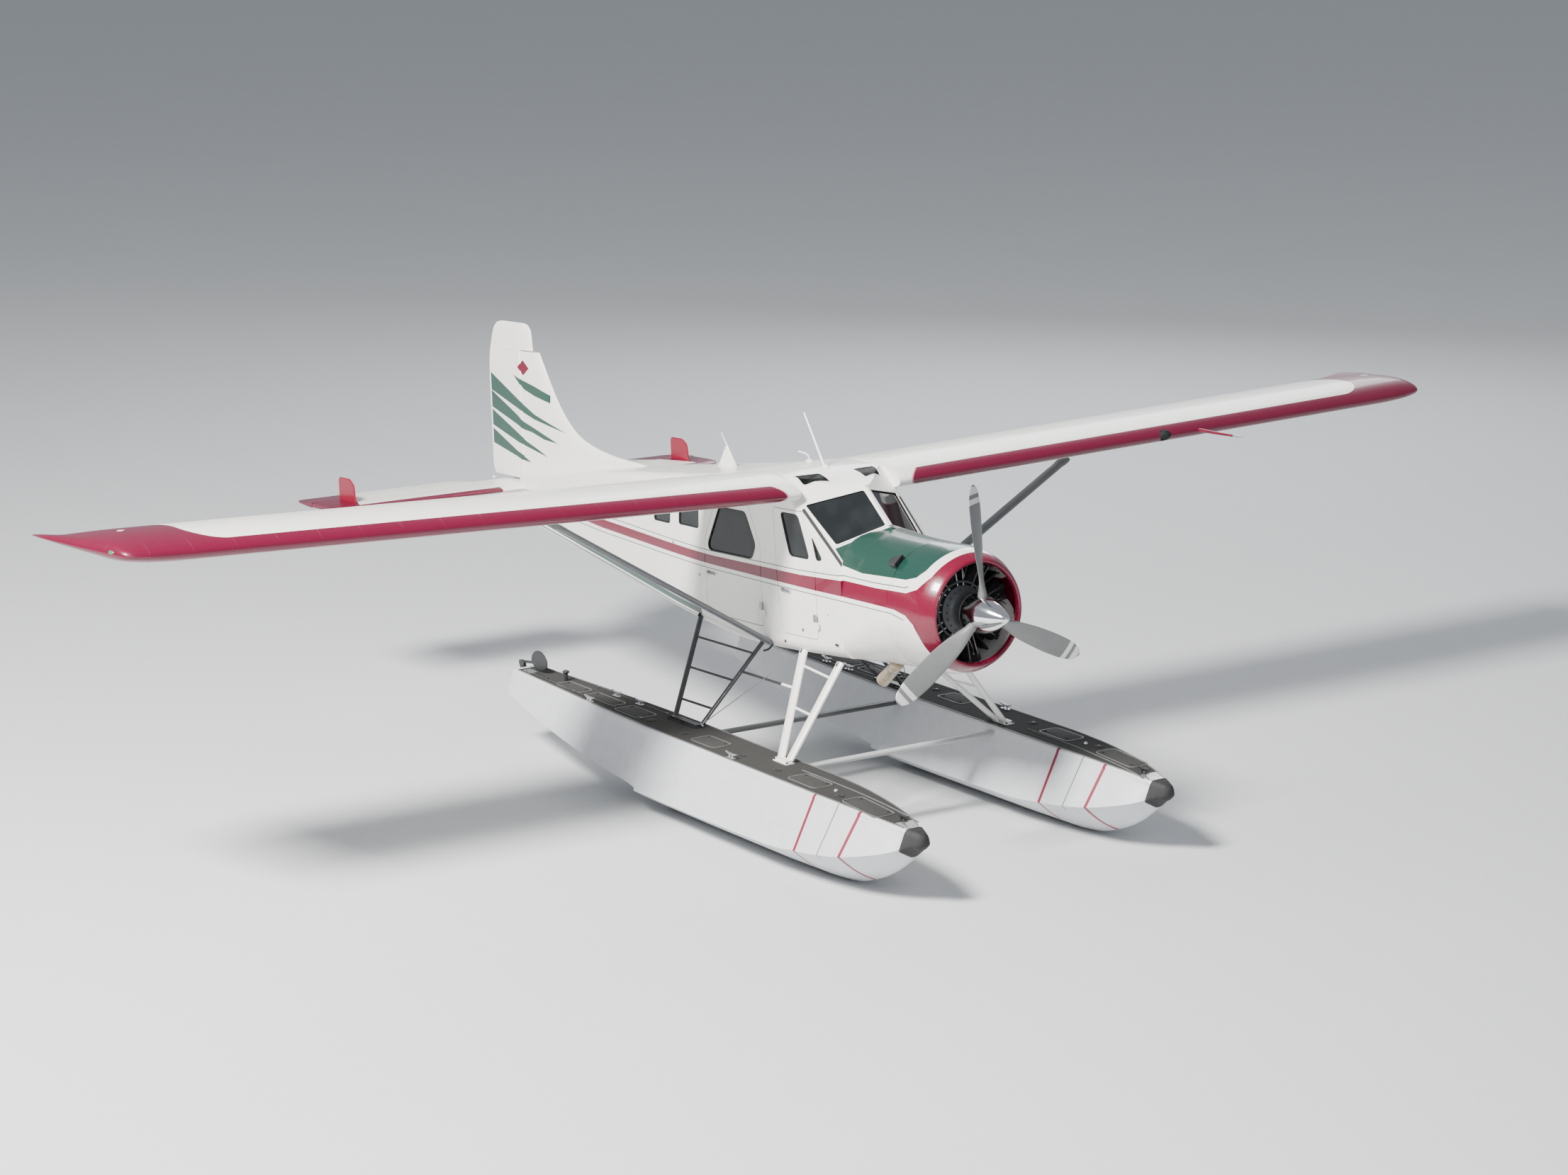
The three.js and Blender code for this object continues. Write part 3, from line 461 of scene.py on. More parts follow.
def sweep(
    path: Array, section: Array, side: Sequence[float] = (1, 0, 0), closed: bool = False, scale: Array | None = None
) -> Shape:
    """Carries a section along a path.

    The section's second axis is the given side, made square to the path, and its first is square to both.

    Args:
        path: Points of the path.
        section: The section's outline as pairs.
        side: A direction that is never along the path.
        closed: Whether the path ends where it starts.
        scale: A factor for the section at each point.

    Returns:
        The swept body.
    """
    path = np.asarray(path, float)
    if closed:
        tangent = np.roll(path, -1, axis=0) - np.roll(path, 1, axis=0)
    else:
        tangent = np.gradient(path, axis=0)
    tangent = tangent / np.linalg.norm(tangent, axis=1, keepdims=True)
    normal = np.asarray(side, float) - tangent * (tangent @ np.asarray(side, float))[:, None]
    normal = normal / np.linalg.norm(normal, axis=1, keepdims=True)
    across = np.cross(tangent, normal)
    size = np.ones(len(path)) if scale is None else scale
    local = section[None, :, :] * size[:, None, None]
    rings = path[:, None] + local[..., :1] * across[:, None] + local[..., 1:] * normal[:, None]
    return loft(np.concatenate([rings, rings[:1]]) if closed else rings, caps=not closed)


def rod(start: Sequence[float], end: Sequence[float], radius: float, sides: int = 16) -> Shape:
    """Makes a round bar between two points."""
    direction = np.subtract(end, start)
    side = (0, 0, 1) if abs(direction[2]) < 0.9 * np.linalg.norm(direction) else (1, 0, 0)
    return sweep(np.array([start, end], float), circle(sides) * radius, side)


def tube(points: Sequence[Sequence[float]], radius: float) -> Shape:
    """Sweeps a round section along the smooth curve through some points."""
    return sweep(through(points, 6), circle(10) * radius, (1, 0, 0))


def ball(centre: Sequence[float], radii: Sequence[float], steps: int = 16) -> Shape:
    """Makes an ellipsoid: each ring's radius is the cosine of its latitude."""
    latitude = np.linspace(-math.pi / 2 + 0.02, math.pi / 2 - 0.02, steps)[:, None]
    ring = circle(2 * steps)
    unit = np.stack([np.cos(latitude) * ring[:, 0], np.cos(latitude) * ring[:, 1],
                     np.sin(latitude) + 0 * ring[:, 0]], axis=-1)
    return loft(unit * np.asarray(radii, float) + np.asarray(centre, float))


def teardrop(chord: float, thickness: float, sides: int = 28) -> Array:
    """Gives a strut's section, widest ahead of its middle, the chord on its second axis."""
    ring = circle(sides)
    swell = 1 - 0.35 * ring[:, 0]
    return np.column_stack([ring[:, 1] * swell * thickness / 2, ring[:, 0] * chord / 2])


def chordwise(along: Array) -> Array:
    """Gives the direction square to a strut that is nearest to fore-and-aft."""
    return np.array([0, 1, 0]) - along * (along[1] / np.sum(along**2))


def leg(top: Array, foot: Array, chord: float, thickness: float, places: int = 10) -> Shape:
    """Makes a faired strut between two points, its chord as near fore-and-aft as it can be."""
    along = foot - top
    line = top + along * np.linspace(0, 1, places)[:, None]
    return sweep(line, teardrop(chord, thickness), chordwise(along))


def apply_modifiers(body: Body) -> None:
    """Makes an object's modifiers part of its mesh."""
    finished = bpy.data.meshes.new_from_object(body.evaluated_get(bpy.context.evaluated_depsgraph_get()))
    body.modifiers.clear()
    body.data = finished


def carve(body: Body, *cutters: Body, how: Cut = Cut.TAKE_AWAY) -> Body:
    """Applies booleans to a closed body and removes the cutters.

    Args:
        body: The body to change.
        cutters: Closed bodies, used one after the other.
        how: What each cutter does.

    Returns:
        The changed body.
    """
    for cutter in cutters:
        step = body.modifiers.new("carve", "BOOLEAN")
        step.operation, step.object, step.solver = how.value, cutter, "MANIFOLD"
    apply_modifiers(body)
    for cutter in cutters:
        bpy.data.objects.remove(cutter)
    shade(body)
    return body


def copy_of(body: Body, name: str) -> Body:
    """Gives a copy of an object with a mesh of its own."""
    twin = bpy.data.objects.new(name, body.data.copy())
    bpy.context.scene.collection.objects.link(twin)
    return twin


# Materials


@dataclass
class Wire:
    """A value in a node tree, combined with others by ordinary arithmetic."""

    tree: bpy.types.NodeTree
    socket: bpy.types.NodeSocket

    def math(self, operation: str, *others: "Wire | float", clamp: bool = False) -> "Wire":
        """Runs a Math node on this value and others."""
        node = self.tree.nodes.new("ShaderNodeMath")
        node.operation, node.use_clamp = operation, clamp
        for slot, value in zip(node.inputs, (self, *others)):
            plug(self.tree, value, slot)
        return Wire(self.tree, node.outputs[0])

    def __add__(self, other: "Wire | float") -> "Wire":
        """Adds."""
        return self.math("ADD", other)

    def __sub__(self, other: "Wire | float") -> "Wire":
        """Subtracts."""
        return self.math("SUBTRACT", other)

    def __mul__(self, other: "Wire | float") -> "Wire":
        """Multiplies, which is also how two masks are both asked for."""
        return self.math("MULTIPLY", other)

    def __or__(self, other: "Wire | float") -> "Wire":
        """Takes the larger, which is how either of two masks is asked for."""
        return self.math("MAXIMUM", other)

    def size(self) -> "Wire":
        """The absolute value."""
        return self.math("ABSOLUTE")

    def above(self, limit: "Wire | float", soft: float = 0.002) -> "Wire":
        """1 over a limit and 0 under it, over an edge of soft metres."""
        return (self - limit).math("MULTIPLY_ADD", 1 / soft, 0.5, clamp=True)

    def below(self, limit: "Wire | float", soft: float = 0.002) -> "Wire":
        """1 under a limit and 0 over it, over an edge of soft metres."""
        return (self - limit).math("MULTIPLY_ADD", -1 / soft, 0.5, clamp=True)

    def within(self, low: float, high: float, soft: float = 0.002) -> "Wire":
        """1 between two limits."""
        return self.above(low, soft) * self.below(high, soft)

    def near(self, place: "Wire | float", half: float, soft: float = 0.002) -> "Wire":
        """1 within half of a place."""
        return (self - place).size().below(half, soft)

    def beat(self, pitch: float, start: float = 0.0) -> "Wire":
        """The distance to the nearest of the places that lie pitch apart from start."""
        return (self - start).math("WRAP", pitch / 2, -pitch / 2).size()

    def along(self, points: Sequence[tuple[float, float]]) -> "Wire":
        """A function of this value that runs straight from each point to the next.

        Args:
            points: Pairs of input and output, the inputs rising.

        Returns:
            The sum of one clamped ramp for each stretch.
        """
        total: Wire | None = None
        for (x0, y0), (x1, y1) in zip(points, points[1:]):
            node = self.tree.nodes.new("ShaderNodeMapRange")
            node.clamp = True
            plug(self.tree, self, node.inputs["Value"])
            for name, value in (("From Min", x0), ("From Max", x1), ("To Min", 0.0), ("To Max", y1 - y0)):
                node.inputs[name].default_value = value
            ramp = Wire(self.tree, node.outputs["Result"])
            total = ramp + y0 if total is None else total + ramp
        assert total is not None
        return total


Paint = Wire | Colour


def plug(tree: bpy.types.NodeTree, value: Wire | float | Colour, slot: bpy.types.NodeSocket) -> None:
    """Links a wire to a socket, or sets a constant on it."""
    if isinstance(value, Wire):
        tree.links.new(value.socket, slot)
    elif isinstance(value, tuple):
        slot.default_value = (*value, 1.0)
    else:
        slot.default_value = value


class Web:
    """The node tree of one material."""

    def __init__(self, name: str) -> None:
        """Starts a material of that name."""
        self.material = bpy.data.materials.new(name)
        self.material.use_nodes = True
        self.tree = self.material.node_tree
        self.shader = self.tree.nodes["Principled BSDF"]

    def place(self, frame: Frame | None = None) -> tuple[Wire, Wire, Wire]:
        """Gives the point being shaded.

        Args:
            frame: The frame to give it in, or None for the row frame.

        Returns:
            Its x, y and z.
        """
        node = self.tree.nodes.new("ShaderNodeTexCoord")
        out = node.outputs["Object"]
        if frame is not None:
            turn = self.tree.nodes.new("ShaderNodeMapping")
            turned_up = frame is Frame.DATUM
            turn.inputs["Rotation"].default_value = (NOSE_UP if turned_up else 0.0, 0.0, 0.0)
            turn.inputs["Location"].default_value = (
                (0.0, CENTRE_Y * COS + DATUM_HEIGHT * SIN, CENTRE_Y * SIN - DATUM_HEIGHT * COS)
                if turned_up
                else (0.0, CENTRE_Y, 0.0)
            )
            self.tree.links.new(out, turn.inputs["Vector"])
            out = turn.outputs["Vector"]
        split = self.tree.nodes.new("ShaderNodeSeparateXYZ")
        self.tree.links.new(out, split.inputs[0])
        return tuple(Wire(self.tree, socket) for socket in split.outputs)

    def noise(self, scale: float, detail: float = 4.0, stretch: Sequence[float] = (1, 1, 1)) -> Wire:
        """Gives soft noise from 0 to 1 in the object's own space.

        Args:
            scale: Lumps in a metre.
            detail: Octaves.
            stretch: Factors on x, y and z.

        Returns:
            The noise.
        """
        place = self.tree.nodes.new("ShaderNodeTexCoord")
        turn = self.tree.nodes.new("ShaderNodeMapping")
        turn.inputs["Scale"].default_value = stretch
        node = self.tree.nodes.new("ShaderNodeTexNoise")
        node.inputs["Scale"].default_value, node.inputs["Detail"].default_value = scale, detail
        self.tree.links.new(place.outputs["Object"], turn.inputs["Vector"])
        self.tree.links.new(turn.outputs["Vector"], node.inputs["Vector"])
        return Wire(self.tree, node.outputs["Fac"])

    def over(self, base: Paint, top: Paint, mask: Wire | float) -> Wire:
        """Lays one colour over another where a mask is 1."""
        node = self.tree.nodes.new("ShaderNodeMix")
        node.data_type = "RGBA"
        sockets = {s.identifier: s for s in node.inputs}
        plug(self.tree, mask, sockets["Factor_Float"])
        plug(self.tree, base, sockets["A_Color"])
        plug(self.tree, top, sockets["B_Color"])
        return Wire(self.tree, next(s for s in node.outputs if s.identifier == "Result_Color"))

    def bump(self, height: Wire, depth: float) -> None:
        """Lets a height from 0 to 1 raise the surface by depth metres."""
        node = self.tree.nodes.new("ShaderNodeBump")
        node.inputs["Strength"].default_value = 1.0
        node.inputs["Distance"].default_value = depth
        self.tree.links.new(height.socket, node.inputs["Height"])
        self.tree.links.new(node.outputs["Normal"], self.shader.inputs["Normal"])

    def set(self, **values: Wire | float | Colour) -> None:
        """Sets the shader's sockets, named with _ for a space."""
        for name, value in values.items():
            plug(self.tree, value, self.shader.inputs[name.replace("_", " ")])


@dataclass(frozen=True)
class Finish:
    """A finish of one colour with small unevenness in its gloss and colour."""

    name: str
    colour: Colour = (0.5, 0.5, 0.5)
    roughness: float = 0.4
    metallic: float = 0.0
    coat: float = 0.0
    grain: float = 9.0  # lumps in a metre
    mottle: float = 0.12  # how much darker the darkest lumps are
    bumps: float = 0.0  # metres
    made: ClassVar[dict[str, bpy.types.Material]] = {}

    def material(self) -> bpy.types.Material:
        """Gives the material, made the first time it is asked for."""
        if self.name not in self.made:
            web = Web(self.name)
            self.dress(web)
            self.made[self.name] = web.material
        return self.made[self.name]

    def paint(self, web: Web) -> Paint:
        """Gives the colour before it is mottled."""
        return self.colour

    def relief(self, web: Web) -> Wire | None:
        """Gives the height of seams and rivets, or None."""
        return None

    def dress(self, web: Web) -> None:
        """Lays out the material's nodes."""
        lumps = web.noise(self.grain)
        streaks = web.noise(self.grain * 3, 6, (1, 0.3, 1))
        colour = self.paint(web)
        web.set(
            Base_Color=web.over(colour, DIRT, lumps.above(0.62, 0.5) * self.mottle),
            Roughness=streaks.math("MULTIPLY_ADD", 0.16, self.roughness - 0.08, clamp=True),
            Metallic=self.metallic,
            Coat_Weight=self.coat,
            Coat_Roughness=0.06,
        )
        relief = self.relief(web)
        if relief is not None:
            web.bump(relief, RELIEF_DEPTH)
        elif self.bumps:
            web.bump(web.noise(self.grain * 12, 8), self.bumps)


GROOVE = 0.0018  # half width of a lap seam
RIVET_ROW, RIVET_PITCH, RIVET_RADIUS = 0.014, 0.045, 0.0035  # the row's distance from its seam first
RELIEF_DEPTH = 0.0016  # from the bottom of a seam to the top of a rivet


def seams(along: Wire, lines: Wire) -> Wire:
    """Gives the relief of lap seams with a row of domed rivets beside each.

    Args:
        along: The coordinate along the seams.
        lines: The distance to the nearest seam.

    Returns:
        A height from 0 to 1, where 0.5 is the plain skin.
    """
    groove = lines.below(GROOVE, 0.002) * -0.5
    to_rivet = along.beat(RIVET_PITCH)
    off_row = (lines - RIVET_ROW).size()
    dome = (to_rivet * to_rivet + off_row * off_row).math("SQRT").below(RIVET_RADIUS, 0.003) * 0.45
    return groove + dome + 0.5


@dataclass(frozen=True)
class SkinPaint(Finish):
    """Painted sheet metal on the fuselage: white, with the red stripe, green panel and dark line."""

    coat: float = 0.35
    roughness: float = 0.34
    mottle: float = 0.06
    frames: float = 0.508  # distance between riveted frames
    stringers: tuple[float, ...] = (-0.60, -1.08, -1.30)  # their heights
    red_end: float = 5.9
    green_rear: float = -0.20  # where the green ends beside the windscreen
    green_side: float = 0.56  # half the green's width
    line_span: tuple[float, float] = (1.78, 6.05)  # of the dark lines over the belly's edge, along y

    # Upper and lower edges of the red, lower edge of the green, and edge of the belly, as (y, z)
    red_top: tuple[tuple[float, float], ...] = (
        (-1.900, 0.10), (-1.880, -0.30), (-1.868, -0.43), (-1.840, -0.58), (-1.750, -0.69), (-1.620, -0.735),
        (-1.150, -0.745), (-0.700, -0.735), (0.0, -0.755), (1.590, -0.750), (3.650, -0.700), (5.900, -0.655),
    )
    red_bottom: tuple[tuple[float, float], ...] = (
        (-1.880, -1.80), (-1.840, -1.27), (-1.800, -1.12), (-1.750, -1.010), (-1.650, -0.935), (-1.470, -0.902),
        (-0.740, -0.886), (0.0, -0.874), (1.600, -0.842), (3.940, -0.782), (5.900, -0.676),
    )
    green_edge: tuple[tuple[float, float], ...] = (
        (-1.800, 0.0), (-1.782, -0.38), (-1.745, -0.53), (-1.680, -0.595), (-1.550, -0.628), (-0.900, -0.645),
        (-0.590, -0.610), (-0.300, -0.580),
    )
    belly: tuple[tuple[float, float], ...] = ((1.30, -1.524), (1.62, -1.490), (2.30, -1.415), (6.12, -0.942))

    def paint(self, web: Web) -> Paint:
        """White, with each marking laid over it in turn."""
        x, y, z = web.place(Frame.DATUM)
        x = x.size()

        def red(shift: float) -> Wire:
            """The red's mask, grown by shift metres."""
            top = (y - shift).along(self.red_top) + shift
            bottom = (y - shift).along(self.red_bottom) - shift
            return z.below(top) * z.above(bottom) * y.below(self.red_end + shift)

        # Distance ahead of the windscreen's plane keeps the green off its frame
        normal, foot = screen_plane()
        ahead = x * float(normal[0]) + y * float(normal[1]) + z * float(normal[2]) - float(normal @ foot)
        # and outboard of the post it runs down to a line a little below the panes
        down = (y + 0.24) * (-1 / 0.38) + x * (0.26 / 0.58 / 0.38)
        free = ahead.above(0.004) | ((down - x * 0.15).above(1.026, 0.008) * x.below(0.505))
        green = z.above(y.along(self.green_edge)) * y.below(self.green_rear) * free * x.below(self.green_side)
        belly = y.along(self.belly)
        aft = y.within(*self.line_span, 0.01)
        dark = (z.near(belly + 0.122, 0.029) | z.near(belly + 0.060, 0.008)) * aft
        colour = web.over(WHITE, BAND_GREEN, (red(0.046) - red(0.038)) * y.above(-1.62))
        colour = web.over(colour, STRIPE_RED, red(0.0))
        colour = web.over(colour, DEEP_GREEN, green)
        return web.over(colour, BAND_GREEN, dark)

    def relief(self, web: Web) -> Wire | None:
        """Seams at the frames and along three stringers."""
        x, y, z = web.place(Frame.DATUM)
        upright = seams(z, y.beat(self.frames, FIREWALL_Y))
        one, two, three = ((z - height).size() for height in self.stringers)
        level = one.math("MINIMUM", two).math("MINIMUM", three)
        return upright.math("MINIMUM", seams(y, level)) * y.above(-0.82)


@dataclass(frozen=True)
class CowlPaint(SkinPaint):
    """The fuselage's markings on the cowl ring, in a deeper gloss and with no rivet rows."""

    coat: float = 0.5
    roughness: float = 0.26
    joint_y: float = -1.70

    def relief(self, web: Web) -> Wire | None:
        """One joint round the ring behind its lip."""
        y = web.place(Frame.DATUM)[1]
        return y.near(self.joint_y, 0.0015) * -0.5 + 0.5


@dataclass(frozen=True)
class WingPaint(Finish):
    """White wing with a red leading edge and red tips whose inner edge is rounded."""

    coat: float = 0.3
    roughness: float = 0.36
    mottle: float = 0.05
    band: float = 0.105  # depth of the red leading edge
    band_start: float = 0.735
    white_end: float = 6.76
    corner: float = 0.34  # radius of the white's outer front corner
    slant: float = 1.15  # how fast the red's inner end runs outwards going aft
    rear_round: float = 1.43  # where the white's outer edge starts to turn inwards, along y
    ribs: float = 0.404  # distance between riveted ribs
    spars: tuple[float, float] = (0.30, 0.86)

    def paint(self, web: Web) -> Paint:
        """Red outside the white, whose outer front corner is a circle's quarter."""
        x, y, _ = web.place(Frame.DATUM)
        x = x.size()
        out = (x - (self.white_end - self.corner)).math("MAXIMUM", 0.0)
        front = (y * -1.0 + (self.band + self.corner)).math("MAXIMUM", 0.0)
        beyond = (out * out + front * front).math("SQRT").above(self.corner)
        rear = (y - self.rear_round).math("MAXIMUM", 0.0)
        tail = (out * out + (rear * rear) * 4.0).math("SQRT").above(self.corner)
        inner = x - y.math("MAXIMUM", 0.0) * self.slant
        red = (beyond | tail) * inner.above(self.band_start)
        rim = inner.within(self.band_start - 0.018, self.band_start, 0.003) * y.below(self.band)
        return web.over(web.over(WHITE, PINK_LINE, rim), CRIMSON, red)

    def relief(self, web: Web) -> Wire | None:
        """Seams at the ribs and along two spars."""
        x, y, _ = web.place(Frame.DATUM)
        x = x.size()
        ribs = seams(y, x.beat(self.ribs, FLAP_SPAN[0]))
        front, rear = ((y - place).size() for place in self.spars)
        return ribs.math("MINIMUM", seams(x, front.math("MINIMUM", rear)))


Edge = tuple[tuple[float, float], ...]


@dataclass(frozen=True)
class TailPaint(Finish):
    """White fin and rudder with five green blades that narrow going forwards, and a red lozenge."""

    coat: float = 0.25
    roughness: float = 0.36
    mottle: float = 0.05
    # Upper and lower edge of each blade, as (y, z) going aft
    blades: tuple[tuple[Edge, Edge], ...] = (
        (((5.530, 0.430), (5.840, 0.503), (6.180, 0.566), (6.310, 0.600)),
         ((5.530, 0.345), (5.850, 0.398), (6.070, 0.452), (6.180, 0.508), (6.310, 0.600))),
        (((5.221, 0.052), (5.590, 0.133), (5.870, 0.198), (6.080, 0.279), (6.232, 0.341), (6.870, 0.600)),
         ((5.221, 0.050), (5.600, 0.102), (5.880, 0.143), (6.085, 0.193), (6.235, 0.235), (6.870, 0.400))),
        (((5.393, -0.078), (5.670, -0.008), (5.930, 0.058), (6.150, 0.110), (6.240, 0.158), (6.870, 0.400)),
         ((5.393, -0.080), (5.687, -0.058), (5.946, -0.001), (6.152, 0.019), (6.246, 0.052), (6.870, 0.210))),
        (((5.624, -0.243), (5.825, -0.177), (6.065, -0.110), (6.235, -0.042), (6.870, 0.190)),
         ((5.624, -0.246), (5.845, -0.208), (6.069, -0.167), (6.239, -0.140), (6.870, 0.010))),
        (((5.984, -0.333), (6.175, -0.264), (6.285, -0.235), (6.870, -0.020)),
         ((5.984, -0.336), (6.190, -0.324), (6.287, -0.300), (6.870, -0.190))),
    )
    blade_end: float = 6.84
    lozenge: tuple[float, float, float, float] = (6.085, 0.690, 0.125, 0.085)  # centre, half lengths
    ribs: tuple[float, float] = (0.33, -0.40)  # distance between riveted ribs, and one's height

    def paint(self, web: Web) -> Paint:
        """Green between each blade's edges; red where the shares of the half lengths add to under 1."""
        _, y, z = web.place(Frame.DATUM)
        green: Wire | float = 0.0
        for upper, lower in self.blades:
            blade = z.below(y.along(upper), 0.004) * z.above(y.along(lower), 0.004) * y.above(upper[0][0])
            green = blade | green
        at_y, at_z, long, tall = self.lozenge
        share = (y - at_y).size() * (1 / long) + (z - at_z).size() * (1 / tall)
        colour = web.over(WHITE, BAND_GREEN, green * y.below(self.blade_end))
        return web.over(colour, STRIPE_RED, share.below(1.0, 0.04))

    def relief(self, web: Web) -> Wire | None:
        """Seams at the ribs."""
        _, y, z = web.place(Frame.DATUM)
        return seams(y, z.beat(*self.ribs))


@dataclass(frozen=True)
class StabPaint(Finish):
    """White tailplane with a red leading edge and red tips."""

    coat: float = 0.3
    roughness: float = 0.36
    mottle: float = 0.05
    band: float = 0.085  # depth of the red leading edge
    band_start: float = 0.42
    tip_start: float = 2.15  # at the leading edge
    slant: float = 0.35  # how fast the tip's red runs inwards going aft
    ribs: tuple[float, float] = (0.30, 0.10)  # distance between riveted ribs, and one's place

    def paint(self, web: Web) -> Paint:
        """Red ahead of a line behind the leading edge, and outside a slanted line near the tip."""
        x, y, _ = web.place(Frame.DATUM)
        x = x.size()
        tip = (x + (y - TAIL_LE_Y) * self.slant).above(self.tip_start)
        return web.over(WHITE, CRIMSON, (y.below(TAIL_LE_Y + self.band) * x.above(self.band_start)) | tip)

    def relief(self, web: Web) -> Wire | None:
        """Seams at the ribs."""
        x, y, _ = web.place(Frame.DATUM)
        return seams(y, x.size().beat(*self.ribs))


@dataclass(frozen=True)
class FloatPaint(Finish):
    """Grey float skin with two red lines round each bow and riveted bulkheads."""

    coat: float = 0.15
    roughness: float = 0.42
    mottle: float = 0.10
    red_lines: tuple[float, float] = (-1.790, -2.410)  # their places along y
    dark_line: float = -2.126
    dark_band_height: float = 0.20  # height up to which the hull is darker
    bulkheads: float = 0.62  # distance between them
    seam_z: float = 0.735

    def paint(self, web: Web) -> Paint:
        """Two thin red lines, a dark one between them, and a darker band low on the hull."""
        _, y, z = web.place(Frame.STANCE)
        first, second = (y.near(place, 0.018) for place in self.red_lines)
        lines = first | second
        grey = web.over(FLOAT_GREY, (0.42, 0.43, 0.42), z.below(self.dark_band_height, 0.10) * 0.35)
        grey = web.over(grey, (0.10, 0.11, 0.12), y.near(self.dark_line, 0.006) * z.above(0.30, 0.02))
        return web.over(grey, LINE_RED, lines * z.above(0.10, 0.02))

    def relief(self, web: Web) -> Wire | None:
        """Seams at the bulkheads and along the side."""
        _, y, z = web.place(Frame.STANCE)
        upright = seams(z, y.beat(self.bulkheads, self.red_lines[0]))
        return upright.math("MINIMUM", seams(y, (z - self.seam_z).size()))


@dataclass(frozen=True)
class Glass(Finish):
    """Dark tinted acrylic."""

    colour: Colour = (0.040, 0.048, 0.052)
    clear: float = 0.70
    index: float = 1.40
    gloss: float = 0.28

    def dress(self, web: Web) -> None:
        """Lets some light through and keeps a sharp gloss, with faint haze in the roughness."""
        haze = web.noise(5.0, 5)
        web.set(
            Base_Color=web.over(self.colour, (0.09, 0.10, 0.10), haze.above(0.6, 0.3) * 0.5),
            Roughness=haze.math("MULTIPLY_ADD", 0.05, 0.01),
            Specular_IOR_Level=self.gloss,
            Transmission_Weight=self.clear,
            IOR=self.index,
        )


@dataclass(frozen=True)
class Cloth(Finish):
    """Woven seat cloth: fine crossed threads in relief, with a painted highlight where they rise."""

    thread: float = 0.0016

    def dress(self, web: Web) -> None:
        """A painted highlight lightens the colour where the crossed threads rise."""
        x, y, z = web.place()
        weave = x.beat(self.thread * 2) * (1 / self.thread) * ((y + z).beat(self.thread * 2) * (1 / self.thread))
        web.set(
            # the lighter colour on the threads' crests is a painted highlight
            Base_Color=web.over(self.colour, tuple(min(1.0, 2.2 * c + 0.02) for c in self.colour), weave * 0.6),
            Roughness=web.noise(40).math("MULTIPLY_ADD", 0.1, 0.82),
            Sheen_Weight=0.3,
        )
        web.bump(weave, 0.0006)


@dataclass(frozen=True)
class BladePaint(Finish):
    """Grey propeller blade with two white bands near the tip."""

    roughness: float = 0.38
    bands: tuple[tuple[float, float], ...] = ((1.035, 1.085), (1.125, 1.195))  # radii
    band_white: Colour = (0.75, 0.75, 0.73)

    def paint(self, web: Web) -> Paint:
        """Bands by distance from the thrust line."""
        x, _, z = web.place(Frame.DATUM)
        up = z - THRUST_Z
        radius = (x * x + up * up).math("SQRT")
        inner, outer = (radius.within(low, high) for low, high in self.bands)
        return web.over(self.colour, self.band_white, inner | outer)


SKIN = SkinPaint("skin_paint")
COWL = CowlPaint("cowl_paint")
WING = WingPaint("wing_paint")
TAIL = TailPaint("tail_paint")
STAB = StabPaint("stab_paint")
HULL = FloatPaint("float_skin")
GLASS = Glass("tinted_window")
SKY_GLASS = Glass("dark_skylight", colour=(0.008, 0.009, 0.009), clear=0.10, index=1.12, gloss=0.06)
SEAT = Cloth("seat_weave", colour=(0.045, 0.05, 0.06))
BLADE_FRONT = BladePaint("blade_front", colour=(0.20, 0.205, 0.205), metallic=0.35)
BLADE_BACK = BladePaint("blade_back", colour=(0.018, 0.018, 0.02), roughness=0.55)
PLAIN_WHITE = Finish("white_enamel", WHITE, 0.33, coat=0.3, mottle=0.08)
# The lift struts' grey is their own grey darkened with painted shade.
STRUT_GREY_AND_SHADE = Finish("strut_grey_and_shade", (0.115, 0.12, 0.13), 0.36, coat=0.2, mottle=0.15)
SPREADER_GREY = Finish("spreader_grey", (0.40, 0.41, 0.41), 0.4, mottle=0.15)
# The rear spreader's dark grey is painted shade on a bar like the front one.
SPREADER_SHADE = Finish("spreader_painted_shade", (0.07, 0.075, 0.075), 0.45, mottle=0.2)
REAR_BLACK = Finish("rear_strut_black", (0.030, 0.032, 0.034), 0.34, coat=0.2, mottle=0.2)
FINLET = Finish("finlet_red", FINLET_RED, 0.3, coat=0.4, mottle=0.08)
CHROME = Finish("polished_spinner", (0.80, 0.81, 0.82), 0.12, 1.0, mottle=0.04)
STEEL = Finish("bare_steel", (0.42, 0.42, 0.42), 0.34, 0.9, mottle=0.3)
EXHAUST = Finish("heated_steel", (0.52, 0.43, 0.33), 0.44, 0.6, grain=22, mottle=0.5)
RUBBER = Finish("bumper_rubber", (0.017, 0.017, 0.018), 0.72, mottle=0.2, bumps=0.0004)
NON_SKID = Finish("non_skid", (0.026, 0.025, 0.024), 0.9, grain=24, mottle=0.5, bumps=0.0012)
BLACK = Finish("black_paint", (0.02, 0.021, 0.023), 0.42, mottle=0.2)
ENGINE_GREY = Finish("engine_case", (0.075, 0.08, 0.085), 0.42, 0.3, grain=16, mottle=0.4)
FIN_METAL = Finish("cooling_fins", (0.055, 0.055, 0.058), 0.5, 0.5, grain=20, mottle=0.5)
TRIM_BLACK = Finish("black_trim", (0.015, 0.015, 0.016), 0.6, mottle=0.2, bumps=0.0003)
LINING = Finish("cabin_lining", (0.10, 0.10, 0.098), 0.85, mottle=0.2, bumps=0.0004)
SEAT_FRAME = Finish("seat_frame_grey", (0.115, 0.118, 0.120), 0.5, 0.2, mottle=0.2)
SEAT_PIPING = Finish("seat_piping", (0.030, 0.028, 0.027), 0.8, mottle=0.2)
DIAL_FACE = Finish("dial_dark", (0.020, 0.021, 0.022), 0.22, coat=0.6, mottle=0.1)
